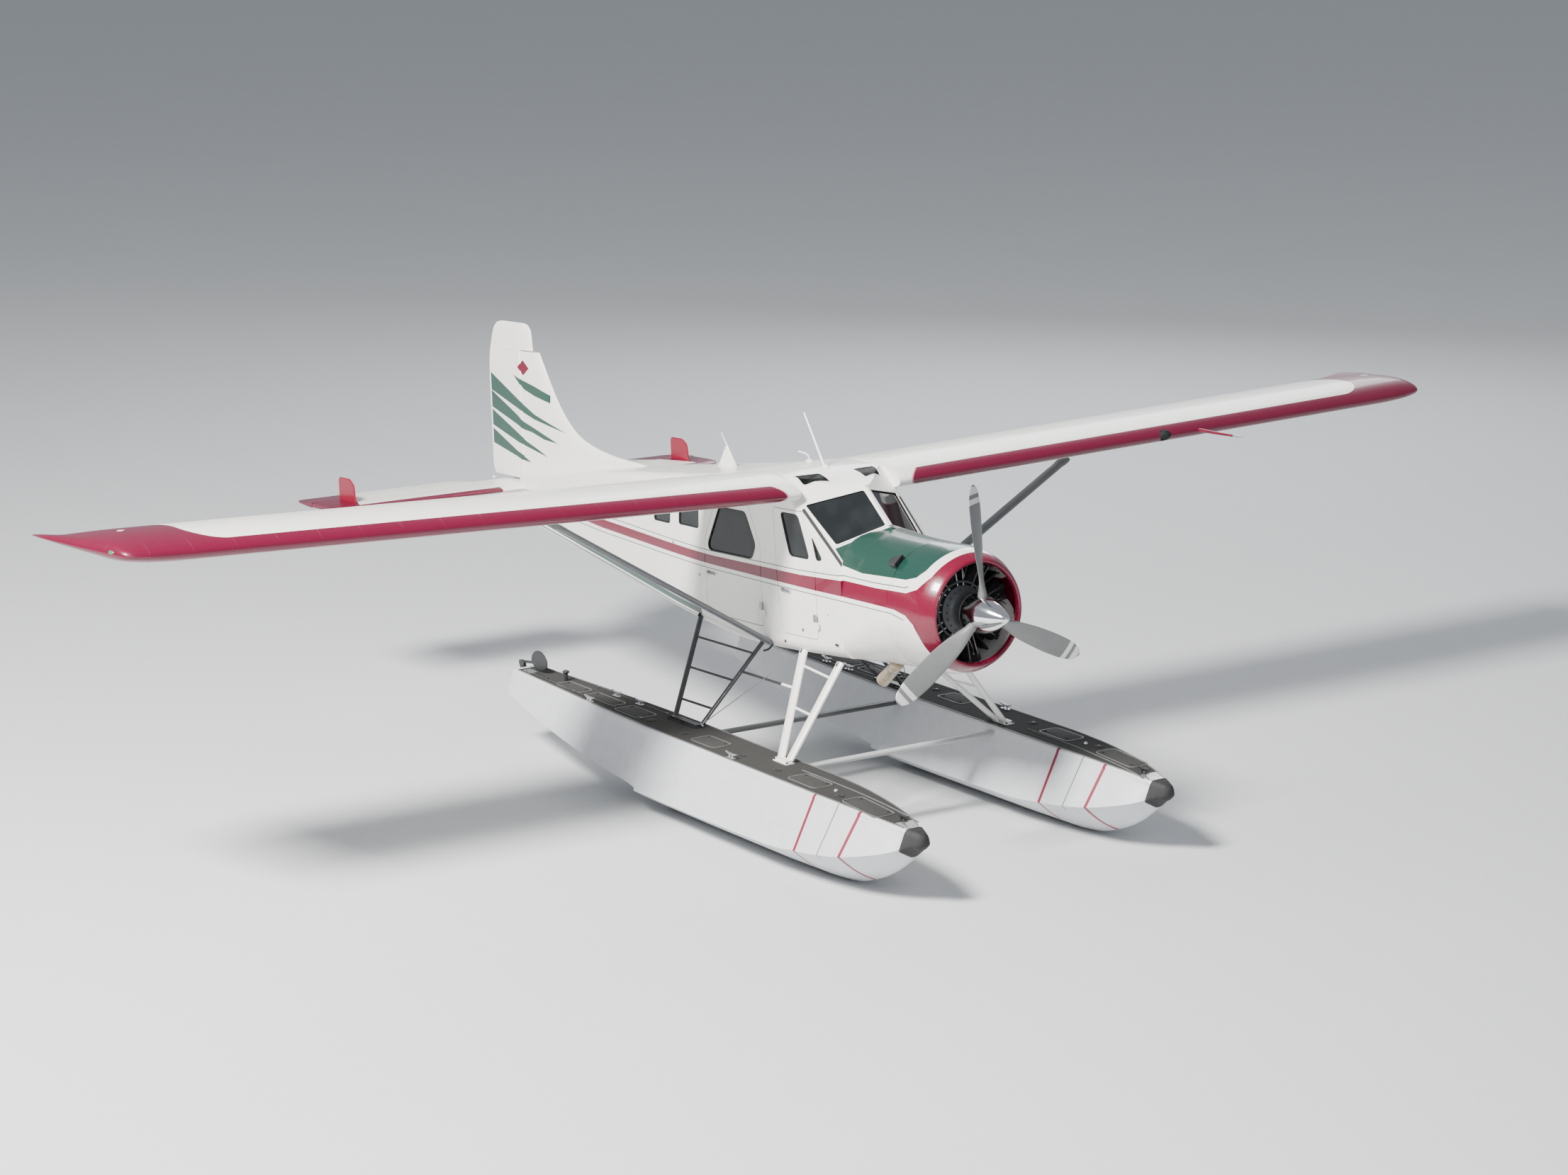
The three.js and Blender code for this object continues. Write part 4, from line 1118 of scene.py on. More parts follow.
PANEL_PAINT = Finish("panel_paint", (0.028, 0.029, 0.030), 0.7, mottle=0.25, bumps=0.0004)
LENS_CLEAR = Finish("lamp_clear", (0.70, 0.72, 0.70), 0.08, coat=0.8, mottle=0.03)
LENS_RED = Finish("lamp_red", (0.45, 0.010, 0.010), 0.10, coat=0.8, mottle=0.03)
LENS_GREEN = Finish("lamp_green", (0.010, 0.22, 0.08), 0.10, coat=0.8, mottle=0.03)
RED_ENAMEL = Finish("red_enamel", STRIPE_RED, 0.32, coat=0.3, mottle=0.10)
RIM_GREY = Finish("hatch_rim", (0.17, 0.175, 0.17), 0.5, 0.3, mottle=0.45)
BRIGHT = Finish("polished_fitting", (0.74, 0.75, 0.76), 0.24, 0.9, mottle=0.2)
COVER = Finish("hatch_cover", (0.034, 0.033, 0.032), 0.8, grain=18, mottle=0.4, bumps=0.0008)
LEATHER = Finish("wheel_grip", (0.018, 0.016, 0.015), 0.55, mottle=0.3, bumps=0.0003)
FLOOR = Finish("studio_floor", (0.64, 0.65, 0.66), 0.75, mottle=0.02, grain=0.4)


def settle(body: Body, finish: Finish | Sequence[Finish], rides: str, slot: str, *stands_for: str) -> Body:
    """Gives a finished piece its material and its body, and hides the CAD nodes that it stands for.

    Args:
        body: The piece, its place in its mesh.
        finish: Its finish, or several in the order of its material numbers.
        rides: The CAD body that it moves with.
        slot: The name of a material slot; not used.
        stands_for: CAD nodes that it replaces.

    Returns:
        The piece.
    """
    body.data.materials.clear()
    for one in [finish] if isinstance(finish, Finish) else finish:
        body.data.materials.append(one.material())
    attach(body, rides)
    if stands_for:
        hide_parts(*stands_for)
    LOG.info("%s: %d faces on %s", body.name, len(body.data.polygons), rides)
    return body


# Fuselage

# Columns: y, bottom, top, half widths low, at the sill and high, radii of the low and high corners, crown
Station = tuple[float, ...]
NOSE: tuple[Station, ...] = (
    (-1.350, -1.544, -0.356, 0.598, 0.600, 0.598, 0.575, 0.575, 0.003),
    (-1.120, -1.538, -0.352, 0.600, 0.604, 0.600, 0.500, 0.575, 0.003),
    (-0.740, -1.519, -0.335, 0.604, 0.615, 0.606, 0.290, 0.575, 0.003),
    (-0.500, -1.508, -0.318, 0.604, 0.618, 0.608, 0.170, 0.575, 0.003),
    (-0.200, -1.508, -0.308, 0.596, 0.612, 0.600, 0.140, 0.575, 0.003),
)
CABIN: tuple[Station, ...] = (
    (-0.660, -1.500, 0.010, 0.596, 0.612, 0.592, 0.150, 0.170, 0.030),
    (-0.240, -1.514, 0.010, 0.606, 0.626, 0.596, 0.125, 0.170, 0.030),
    (0.010, -1.525, 0.050, 0.608, 0.630, 0.604, 0.120, 0.090, 0.028),
    (0.150, -1.532, 0.100, 0.609, 0.630, 0.612, 0.120, 0.040, 0.024),
    (0.450, -1.542, 0.148, 0.610, 0.630, 0.614, 0.120, 0.036, 0.018),
    (0.850, -1.548, 0.142, 0.610, 0.630, 0.614, 0.120, 0.036, 0.018),
    (1.300, -1.524, 0.088, 0.610, 0.630, 0.612, 0.120, 0.036, 0.018),
    (1.620, -1.490, 0.042, 0.604, 0.624, 0.602, 0.120, 0.060, 0.018),
    (2.300, -1.415, -0.030, 0.556, 0.574, 0.540, 0.120, 0.110, 0.016),
    (2.950, -1.335, -0.096, 0.488, 0.504, 0.456, 0.120, 0.120, 0.014),
)
REAR: tuple[Station, ...] = (
    CABIN[-1],
    (3.550, -1.262, -0.152, 0.424, 0.438, 0.388, 0.118, 0.118, 0.012),
    (4.500, -1.142, -0.270, 0.322, 0.332, 0.286, 0.100, 0.100, 0.008),
    (5.400, -1.032, -0.396, 0.224, 0.230, 0.196, 0.080, 0.080, 0.006),
    (6.088, -0.946, -0.474, 0.156, 0.160, 0.132, 0.058, 0.058, 0.004),
    (6.120, -0.942, -0.552, 0.151, 0.155, 0.128, 0.056, 0.056, 0.004),
    (6.5527, -0.884, -0.572, 0.088, 0.092, 0.074, 0.040, 0.040, 0.003),
)
SCREEN_TOP = np.array([0, -0.240, 0.040])
SCREEN_FOOT = np.array([0, -0.620, -0.290])
SCREEN_OUTER = np.array([0.580, 0.020, -0.130])
PANE = np.array([[0.038, 0.045], [0.922, -0.045], [0.838, 1.050], [0.038, 0.975]])
WINDOWS: dict[str, list[list[float]]] = {
    "quarter": [[-0.195, -0.372], [-0.368, -0.575], [-0.282, -0.590]],
    "rear_1": [[1.770, -0.255], [2.180, -0.262], [2.180, -0.518], [1.770, -0.512]],
    "rear_2": [[2.380, -0.282], [2.740, -0.290], [2.740, -0.545], [2.380, -0.538]],
}
SKYLIGHT = np.array([[0.200, 0.040], [0.451, 0.135], [0.470, 0.290], [0.188, 0.245]])  # corners, as x and y
PANE_ROUND, WINDOW_ROUND, SKYLIGHT_ROUND, DOOR_ROUND = 0.06, 0.035, 0.03, 0.05
HANDLE_Z = -0.930


def screen_plane() -> tuple[Array, Array]:
    """Gives the outward normal of the windscreen's left flat and a point on it."""
    normal = np.cross(SCREEN_FOOT - SCREEN_TOP, SCREEN_OUTER - SCREEN_TOP)
    return normal / np.linalg.norm(normal), SCREEN_TOP


def on_screen(places: Array, depth: float = 0.0) -> Array:
    """Gives points of the windscreen's left flat from shares of the way out and down its post."""
    out, down = places[:, :1], places[:, 1:]
    flat = SCREEN_TOP + (SCREEN_OUTER - SCREEN_TOP) * out + (SCREEN_FOOT - SCREEN_TOP) * down
    return flat + screen_plane()[0] * depth


def fuselage_rings(table: Sequence[Station], at: Array, wall: float = 0.0) -> Array:
    """Works out fuselage sections.

    A half section runs along the flat bottom, round the low corner's arc, straight to the sill and to
    the high corner, round its arc, and along the roof, whose height falls with the square of x.

    Args:
        table: Stations with the columns given above.
        at: Places along y.
        wall: How far inside the skin the sections lie; over 0 they get the flat cabin floor.

    Returns:
        Points by place, then round the section.
    """
    bottom, top, low, sill, high, low_r, top_r, crown = (c[:, None] for c in smooth_table(table, at).T)
    if wall:
        bottom, top = np.maximum(bottom + wall, FLOOR_Z), top - ROOF_WALL
        low, sill, high = low - wall, sill - wall, high - wall
        top_r = np.maximum(top_r - wall, 0.012)
        low_r = np.minimum(np.maximum(low_r - wall, 0.012), top - bottom - top_r - 0.015)
    s, a = np.linspace(0, 1, 9)[None, :], np.linspace(0, math.pi / 2, 13)[None, :]
    sill_z = np.clip(SILL_Z, bottom + low_r + 0.005, top - top_r - 0.005)
    side_low, side_high = bottom + low_r, top - top_r
    flat, roof = low - low_r, high - top_r
    x = [flat * s[:, :-1], low - low_r + low_r * np.sin(a), low + (sill - low) * s[:, 1:],
         sill + (high - sill) * s[:, 1:-1], high - top_r + top_r * np.cos(a), roof * (1 - s[:, 1:])]
    z = [bottom + 0 * s[:, :-1], bottom + low_r - low_r * np.cos(a), side_low + (sill_z - side_low) * s[:, 1:],
         sill_z + (side_high - sill_z) * s[:, 1:-1], top - top_r + top_r * np.sin(a),
         top + crown * (1 - (1 - s[:, 1:]) ** 2)]
    x, z = np.concatenate(x, axis=1), np.concatenate(z, axis=1)
    x = np.concatenate([x, -x[:, -2:0:-1]], axis=1)
    z = np.concatenate([z, z[:, -2:0:-1]], axis=1)
    return np.stack([x, np.broadcast_to(at[:, None], x.shape), z], axis=-1)


def open_ahead(rings: Array) -> Array:
    """Runs a hollow's rings 30 mm out through the front face, so that no cap is left in it."""
    return np.concatenate([rings[:1] - [0, 0.03, 0], rings])


def stations(table: Sequence[Station], step: float = 0.06) -> Array:
    """Gives the table's own stations with even ones between, about step apart."""
    y = np.array([row[0] for row in table])
    spans = [np.linspace(a, b, max(2, round((b - a) / step)), endpoint=False) for a, b in zip(y, y[1:])]
    return np.append(np.concatenate(spans), y[-1])


def side_x(y: Array, z: Array) -> Array:
    """Gives the cabin side's half width at places between its corners, from low to sill to high."""
    bottom, top, low, sill, high, low_r, top_r, _ = smooth_table(CABIN, np.asarray(y, float)).T
    return np.where(
        z < SILL_Z,
        low + (sill - low) * (z - bottom - low_r) / (SILL_Z - bottom - low_r),
        sill + (high - sill) * (z - SILL_Z) / (top - top_r - SILL_Z),
    )


def side_at(y: float, z: float) -> float:
    """Gives the cabin side's half width at one place."""
    return float(side_x(np.array([y]), np.array([z]))[0])


def roof_z(x: Array, y: Array) -> Array:
    """Gives the roof's height inside its rounded edges: the table's top and a crown that falls off
    with the square of x."""
    top, _, _, high, _, radius, crown = smooth_table(CABIN, np.asarray(y, float))[:, 1:].T
    return top + crown * (1 - (np.abs(x) / (high - radius)) ** 2)


def outside_z(x: Array, y: Array) -> Array:
    """Gives the height of the roof, or of the windscreen's flat where that is lower."""
    normal, top = screen_plane()
    flat = top[2] - (np.abs(x) * normal[0] + (y - top[1]) * normal[1]) / normal[2]
    return np.minimum(roof_z(x, y), flat)


@dataclass
class DoorPlan:
    """A door's outline and window, as (y, z) corners, and its hinge."""

    outline: list[list[float]]
    window: list[list[float]]
    hinge_y: float
    handle_y: float
    knuckle_z: float = -1.180


DOORS: dict[str, DoorPlan] = {
    "front": DoorPlan(
        [[-0.262, -1.360], [0.340, -1.360], [0.430, -0.150], [-0.030, -0.150], [-0.262, -0.640]],
        [[0.025, -0.190], [0.300, -0.190], [0.150, -0.590], [-0.165, -0.590]],
        -0.270,
        0.235,
    ),
    "rear": DoorPlan(
        [[0.655, -1.350], [1.655, -1.335], [1.655, -0.620], [1.440, -0.180], [0.850, -0.180], [0.655, -0.560]],
        [[0.910, -0.255], [1.370, -0.255], [1.585, -0.640], [1.560, -0.700], [0.800, -0.700], [0.735, -0.560]],
        0.647,
        1.540,
    ),
}


@dataclass
class Fuselage:
    """Cabin, nose and tail cone, with their doors and glass."""

    hinge_x: float = 0.640
    vent_x: float = 0.607
    pane_depth: float = 0.010  # a side pane below the skin
    pane_thick: float = 0.006
    seal: float = 0.0065
    side_cut: tuple[float, float] = (0.40, 0.80)  # from inside to outside a side's skin, at the tail too
    door_cut: tuple[float, float] = (0.50, 0.80)
    # Black strip outside each windscreen pane, painted shade for the gap between the windscreen and its post, as
    # shares of the way out and down
    strip: tuple[tuple[float, float], ...] = ((0.945, 0.03), (0.995, 0.05), (0.935, 1.53), (0.888, 1.53))

    def behind_screen(self, body: Body, depth: float) -> Body:
        """Cuts a body back behind both flats of the windscreen, depth below their face."""
        normal, top = screen_plane()
        for sign in (1, -1):
            flat = normal * (sign, 1, 1)
            start = top - normal * depth
            row_start = Frame.DATUM.to_row(start * (sign, 1, 1))
            row_normal = Frame.DATUM.to_row(flat) - Frame.DATUM.to_row(np.zeros(3))
            work = bmesh.new()
            work.from_mesh(body.data)
            every = work.verts[:] + work.edges[:] + work.faces[:]
            bmesh.ops.bisect_plane(work, geom=every, plane_co=row_start, plane_no=row_normal, clear_outer=True)
            bmesh.ops.holes_fill(work, edges=work.edges)
            bmesh.ops.triangulate(work, faces=work.faces)
            work.to_mesh(body.data)
            work.free()
        return body

    def solids(self, wall: float) -> tuple[Body, Body]:
        """Makes the nose and cabin bodies, or with a wall the spaces inside them."""
        rings = fuselage_rings(NOSE, stations(NOSE), wall)
        nose = loft(open_ahead(rings) if wall else rings).to_object("nose_form")
        cabin = loft(fuselage_rings(CABIN, stations(CABIN), wall)).to_object("cabin_form")
        return nose, self.behind_screen(cabin, SCREEN_WALL if wall else 0.0)

    def openings(self) -> list[Body]:
        """Makes the cutters for the windscreen, side windows and skylights."""
        rim = rounded(PANE, PANE_ROUND)
        screen = loft(np.stack([on_screen(rim, 0.06), on_screen(rim, -0.06)])).both().to_object("screen_cut")
        sides = Shape()
        for outline in WINDOWS.values():
            sides.join(prism(rounded(outline, WINDOW_ROUND), *self.side_cut))
        tops = plate(rounded(SKYLIGHT, SKYLIGHT_ROUND), 0.0, 0.3)
        return [screen, sides.both().to_object("side_cut"), tops.both().to_object("sky_cut")]

    def knuckle(self, plan: DoorPlan, low: float, high: float, way: int) -> Shape:
        """Makes a hinge knuckle with its strap, running aft (1) or forward (-1)."""
        pin = rod((self.hinge_x, plan.hinge_y, low), (self.hinge_x, plan.hinge_y, high), 0.009)
        near, far = sorted((plan.hinge_y, plan.hinge_y + way * 0.044))
        return pin.join(box((self.hinge_x - 0.007, near, low), (self.hinge_x, far, high)))

    def build(self) -> None:
        """Makes the shell, doors, nose and tail cone with their glass and fittings."""
        nose, cabin = self.solids(0.0)
        outer = carve(nose, cabin, how=Cut.ADD)
        inner_nose, inner_cabin = self.solids(SIDE_WALL)
        room = carve(inner_nose, inner_cabin, how=Cut.ADD)
        reach = (FIREWALL_Y + 0.025, CABIN_END_Y - 0.040)
        keep = box((-2, reach[0], -3), (2, reach[1], 1)).to_object("room_keep")
        hollow = copy_of(room, "hollow")
        skin = carve(copy_of(outer, "thin_skin"), room, how=Cut.TAKE_AWAY)
        room = carve(hollow, keep, how=Cut.KEEP)
        for name, plan in DOORS.items():
            self.door(name, plan, skin)
        self.nose_cowl(skin)
        shell = carve(outer, box((-2, FIREWALL_Y, -3), (2, 4, 1)).to_object("aft_of_firewall"), how=Cut.KEEP)
        cutters = [room, *self.openings()]
        for plan in DOORS.values():
            outline = rounded(plan.outline, DOOR_ROUND)
            cutters.append(prism(outline, *self.door_cut).both().to_object("door_cut"))
        shell = carve(shell, *cutters)
        shell.name = "cabin_skin"
        bpy.data.objects.remove(skin)
        self.line_inside(shell)
        settle(shell, (SKIN, LINING), "airframe", "white_paint", "cabin_shell")
        self.tail_cone()
        self.glass()
        self.fittings()

    def line_inside(self, body: Body) -> None:
        """Gives faces that lie nearly half the wall or more inside the skin the lining's material number."""
        mesh = body.data
        centre = np.zeros(len(mesh.polygons) * 3)
        mesh.polygons.foreach_get("center", centre)
        x, y, z = centre.reshape(-1, 3).T
        y, z = y + CENTRE_Y, z - DATUM_HEIGHT
        y, z = y * COS - z * SIN, y * SIN + z * COS
        bottom, top, *_ = smooth_table(CABIN, y).T
        inside = (np.abs(x) < side_x(y, z) - SIDE_WALL * 0.45) & (z > bottom + 0.02) & (z < top - 0.02)
        normal, start = screen_plane()
        ahead = np.abs(x) * normal[0] + (y - start[1]) * normal[1] + (z - start[2]) * normal[2]
        inside &= ahead < -0.004
        inside &= (y > -0.60) | (z < -1.0)
        mesh.polygons.foreach_set("material_index", inside.astype(np.int32))

    def door(self, name: str, plan: DoorPlan, skin: Body) -> None:
        """Cuts one door panel out of a copy of the skin, on both sides."""
        panel_rim = inset(rounded(plan.outline, DOOR_ROUND), RUN)
        seen = rounded(plan.window, DOOR_ROUND)
        for side in Side:
            low, high = sorted(x * side.value for x in self.door_cut)
            panel = copy_of(skin, f"{name}_door_skin_{side.word}")
            panel = carve(panel, prism(panel_rim, low, high).to_object("panel_cut"), how=Cut.KEEP)
            panel = carve(panel, prism(seen, low, high).to_object("window_cut"))
            rides = f"{name}_door_{side.word}"
            settle(panel, SKIN, rides, "white_paint", rides)
            self.pane(f"{name}_door_pane", seen, side, rides)
            fittings = self.knuckle(plan, plan.knuckle_z, plan.knuckle_z + 0.07, 1)
            y, x = plan.handle_y, side_at(plan.handle_y, HANDLE_Z)
            grip = through([[x - 0.004, y + 0.06, HANDLE_Z], [x + 0.016, y + 0.055, HANDLE_Z],
                            [x + 0.018, y, -0.932], [x + 0.017, y - 0.075, -0.934]], 6)
            fittings.join(sweep(grip, circle(12) * (0.008, 0.011), (0, 0, 1)))
            back = rounded(rect(y + 0.03, -0.905, y + 0.09, -0.955), 0.015)
            fittings.join(prism(back, x - 0.004, x + 0.0025))
            settle(fittings.on(side).to_object(f"{name}_door_handle_{side.word}"), STEEL, rides, "grey_paint")

    def pane(self, name: str, outline: Array, side: Side, rides: str) -> None:
        """Makes a side pane just under the skin, with a rubber seal along the opening's edge."""
        y, z = outline[:, 0], outline[:, 1]
        x = side_x(y, z)
        depths = (self.pane_depth, self.pane_depth + self.pane_thick)
        rings = np.stack([np.stack([x - depth, y, z], axis=1) for depth in depths])
        pane = loft(rings).on(side).to_object(f"{name}_{side.word}")
        settle(pane, GLASS, rides, "window_glass")
        path = np.stack([x - 0.002, y, z], axis=1)
        seal = sweep(path, circle(8) * self.seal, (1, 0, 0), closed=True).on(side)
        settle(seal.to_object(f"{name}_seal_{side.word}"), TRIM_BLACK, rides, "panel_black")

    def nose_cowl(self, skin: Body) -> None:
        """Keeps the skin ahead of the firewall as the nose cowl."""
        cowl = copy_of(skin, "nose_cowl_skin")
        ahead = box((-2, -2, -3), (2, FIREWALL_Y - 2 * MEET, 1)).to_object("ahead_of_firewall")
        settle(carve(cowl, ahead, how=Cut.KEEP), SKIN, "airframe", "green_paint", "nose_cowl")

    def tail_cone(self) -> None:
        """Makes the rear fuselage as a hollow cone with a closed end."""
        outer = loft(fuselage_rings(REAR, stations(REAR))).to_object("tail_cone_skin")
        inner_rows = REAR[:5]  # up to the foot of the fin
        rings = fuselage_rings(inner_rows, stations(inner_rows, 0.2), REAR_WALL)
        inner = loft(open_ahead(rings)).to_object("cone_hollow")
        settle(carve(outer, inner), SKIN, "airframe", "white_paint", "rear_fuselage")

    def glass(self) -> None:
        """Makes the windscreen, fixed side panes and skylights."""
        rim = rounded(PANE, PANE_ROUND)
        pull = (rim - (0.5, 0.5)) * 0.998 + (0.5, 0.5)
        for side in Side:
            pane = loft(np.stack([on_screen(pull, -0.012), on_screen(pull, -0.018)])).on(side)
            settle(pane.to_object(f"windscreen_pane_{side.word}"), GLASS, "airframe", "window_glass",
                   f"windscreen_{side.word}")
            section = rounded(rect(-0.008, -0.003, 0.008, 0.003), 0.002, 3)
            frame = sweep(on_screen(rim, 0.001), section, screen_plane()[0], closed=True).on(side)
            settle(frame.to_object(f"windscreen_frame_{side.word}"), PLAIN_WHITE, "airframe", "white_paint")
            gasket_and_gap_shade = sweep(on_screen(rim, -0.006), circle(8) * self.seal, screen_plane()[0], closed=True)
            # The black strip joined to the gasket is painted shade in the gap beside the post.
            strip = rounded(self.strip, 0.02)
            gasket_and_gap_shade.join(loft(np.stack([on_screen(strip, 0.002), on_screen(strip, -0.004)])))
            settle(gasket_and_gap_shade.on(side).to_object(f"windscreen_seal_{side.word}"), TRIM_BLACK, "airframe", "panel_black")
            for name, outline in WINDOWS.items():
                self.pane(f"{name}_pane", rounded(outline, WINDOW_ROUND), side, "airframe")
            self.skylight(side)

    def skylight(self, side: Side) -> None:
        """Makes a skylight's pane, 6 mm thick and 3 mm under the roof, and the rim round it."""
        s, t = np.linspace(-0.02, 1.02, 28)[:, None, None], np.linspace(-0.02, 1.02, 14)[None, :, None]
        front, back = ((1 - t) * SKYLIGHT[a] + t * SKYLIGHT[b] for a, b in ((0, 1), (3, 2)))
        flat = (1 - s) * front + s * back
        top = outside_z(flat[..., 0].ravel(), flat[..., 1].ravel()).reshape(flat.shape[:2])
        upper, lower = (np.concatenate([flat, (top + low)[..., None]], axis=-1) for low in (-0.003, -0.009))
        pane = loft(np.concatenate([upper, lower[:, ::-1]], axis=1)).on(side).to_object(f"skylight_{side.word}")
        settle(pane, SKY_GLASS, "airframe", "window_glass")
        edge = rounded(SKYLIGHT, SKYLIGHT_ROUND, 9)
        to_next = np.roll(edge, -1, axis=0) - edge
        edge = np.stack([edge + to_next * share for share in (0, 0.34, 0.67)], axis=1).reshape(-1, 2)
        rail = np.column_stack([edge, outside_z(edge[:, 0], edge[:, 1])])
        trim = sweep(rail, circle(8) * (0.007, 0.0035), (0, 0, 1), closed=True)
        settle(trim.on(side).to_object(f"skylight_rim_{side.word}"), PLAIN_WHITE, "airframe", "white_paint")

    def fittings(self) -> None:
        """Makes the windscreen post, frame hinge halves, steps and small fairings."""
        post = np.array([SCREEN_TOP + (SCREEN_FOOT - SCREEN_TOP) * s for s in np.linspace(-0.04, 1.0, 12)])
        cap = sweep(post + (0, -0.003, 0.003), circle(20) * (0.010, 0.027), (1, 0, 0))
        hinges = Shape()
        for plan in DOORS.values():
            hinges.join(self.knuckle(plan, plan.knuckle_z - 0.06, plan.knuckle_z - MEET, -1))
        settle(cap.join(hinges.both()).to_object("screen_post"), PLAIN_WHITE, "airframe", "white_paint")
        self.small_fittings()
        self.antennas()

    def small_fittings(self) -> None:
        """Makes the side's vents and caps, the step under the cabin and the tail light."""
        black, bright = Shape(), Shape()
        for y, z, long, tall in ((-0.010, -1.285, 0.022, 0.034), (0.300, -1.440, 0.016, 0.016),
                                 (-0.560, -1.360, 0.030, 0.012), (-0.430, -1.090, 0.012, 0.012)):
            black.join(ball((self.vent_x, y, z), (0.006, long, tall), 10))
        for y, z in ((2.30, -0.72), (1.78, -0.98)):
            bright.join(ball((side_at(y, z) - 0.002, y, z), (0.008, 0.018, 0.018), 10))
        black, bright = black.both(), bright.both()
        foot = through([[0.575, 0.560, -1.505], [0.600, 0.600, -1.560], [0.640, 0.640, -1.580]], 6)
        black.join(sweep(foot, circle(12) * 0.010, (0, 1, 0)).both())
        lamp = ball((0.0, 6.885, -0.590), (0.020, 0.030, 0.020), 10)
        settle(black.to_object("skin_vents"), TRIM_BLACK, "airframe", "panel_black")
        settle(bright.to_object("skin_caps"), STEEL, "airframe", "grey_paint")
        settle(lamp.to_object("tail_light"), LENS_CLEAR, "rudder", "window_glass")

    def antennas(self) -> None:
        """Makes the roof whip, the blade antenna with its thin mast, and a low aerial behind the skylights."""
        mast = sweep(np.array([[0, 0.400, 0.120], [0, 0.575, 0.390], [0, 0.750, 0.660]]), circle(14), (1, 0, 0),
                     scale=np.array([0.015, 0.0125, 0.009]))
        foot = circle(24) * (0.026, 0.052)
        mast.join(layers(2, (0.140, foot + (0, 0.415)), (0.172, foot * 0.95 + (0, 0.412)),
                         (0.186, foot * 0.6 + (0, 0.420))))
        settle(mast.to_object("roof_whip"), PLAIN_WHITE, "airframe", "white_paint", "whip_antenna")
        outline = rounded([[1.990, -0.030], [2.330, -0.055], [2.150, 0.210], [2.120, 0.210]], 0.012, 4)
        blade = wafer(outline, 0.0, 0.009, 0.004, 0.006)
        rear_mast = np.array([[0, 1.950, -0.020], [0, 2.090, 0.155], [0, 2.230, 0.330]])
        blade.join(sweep(rear_mast, circle(10), (1, 0, 0), scale=np.array([0.009, 0.007, 0.005])))
        blade.join(ball((0, 1.945, -0.012), (0.018, 0.034, 0.014), 10))
        settle(blade.to_object("spine_antenna"), PLAIN_WHITE, "airframe", "white_paint", "blade_antenna")
        low = tube([[0.16, 0.92, 0.155], [0.16, 0.95, 0.215], [0.16, 1.10, 0.235]], 0.009)
        low.join(ball((0.16, 0.92, 0.158), (0.03, 0.05, 0.018), 10))
        settle(low.to_object("roof_aerial"), PLAIN_WHITE, "airframe", "white_paint")


# Engine, cowl ring and propeller


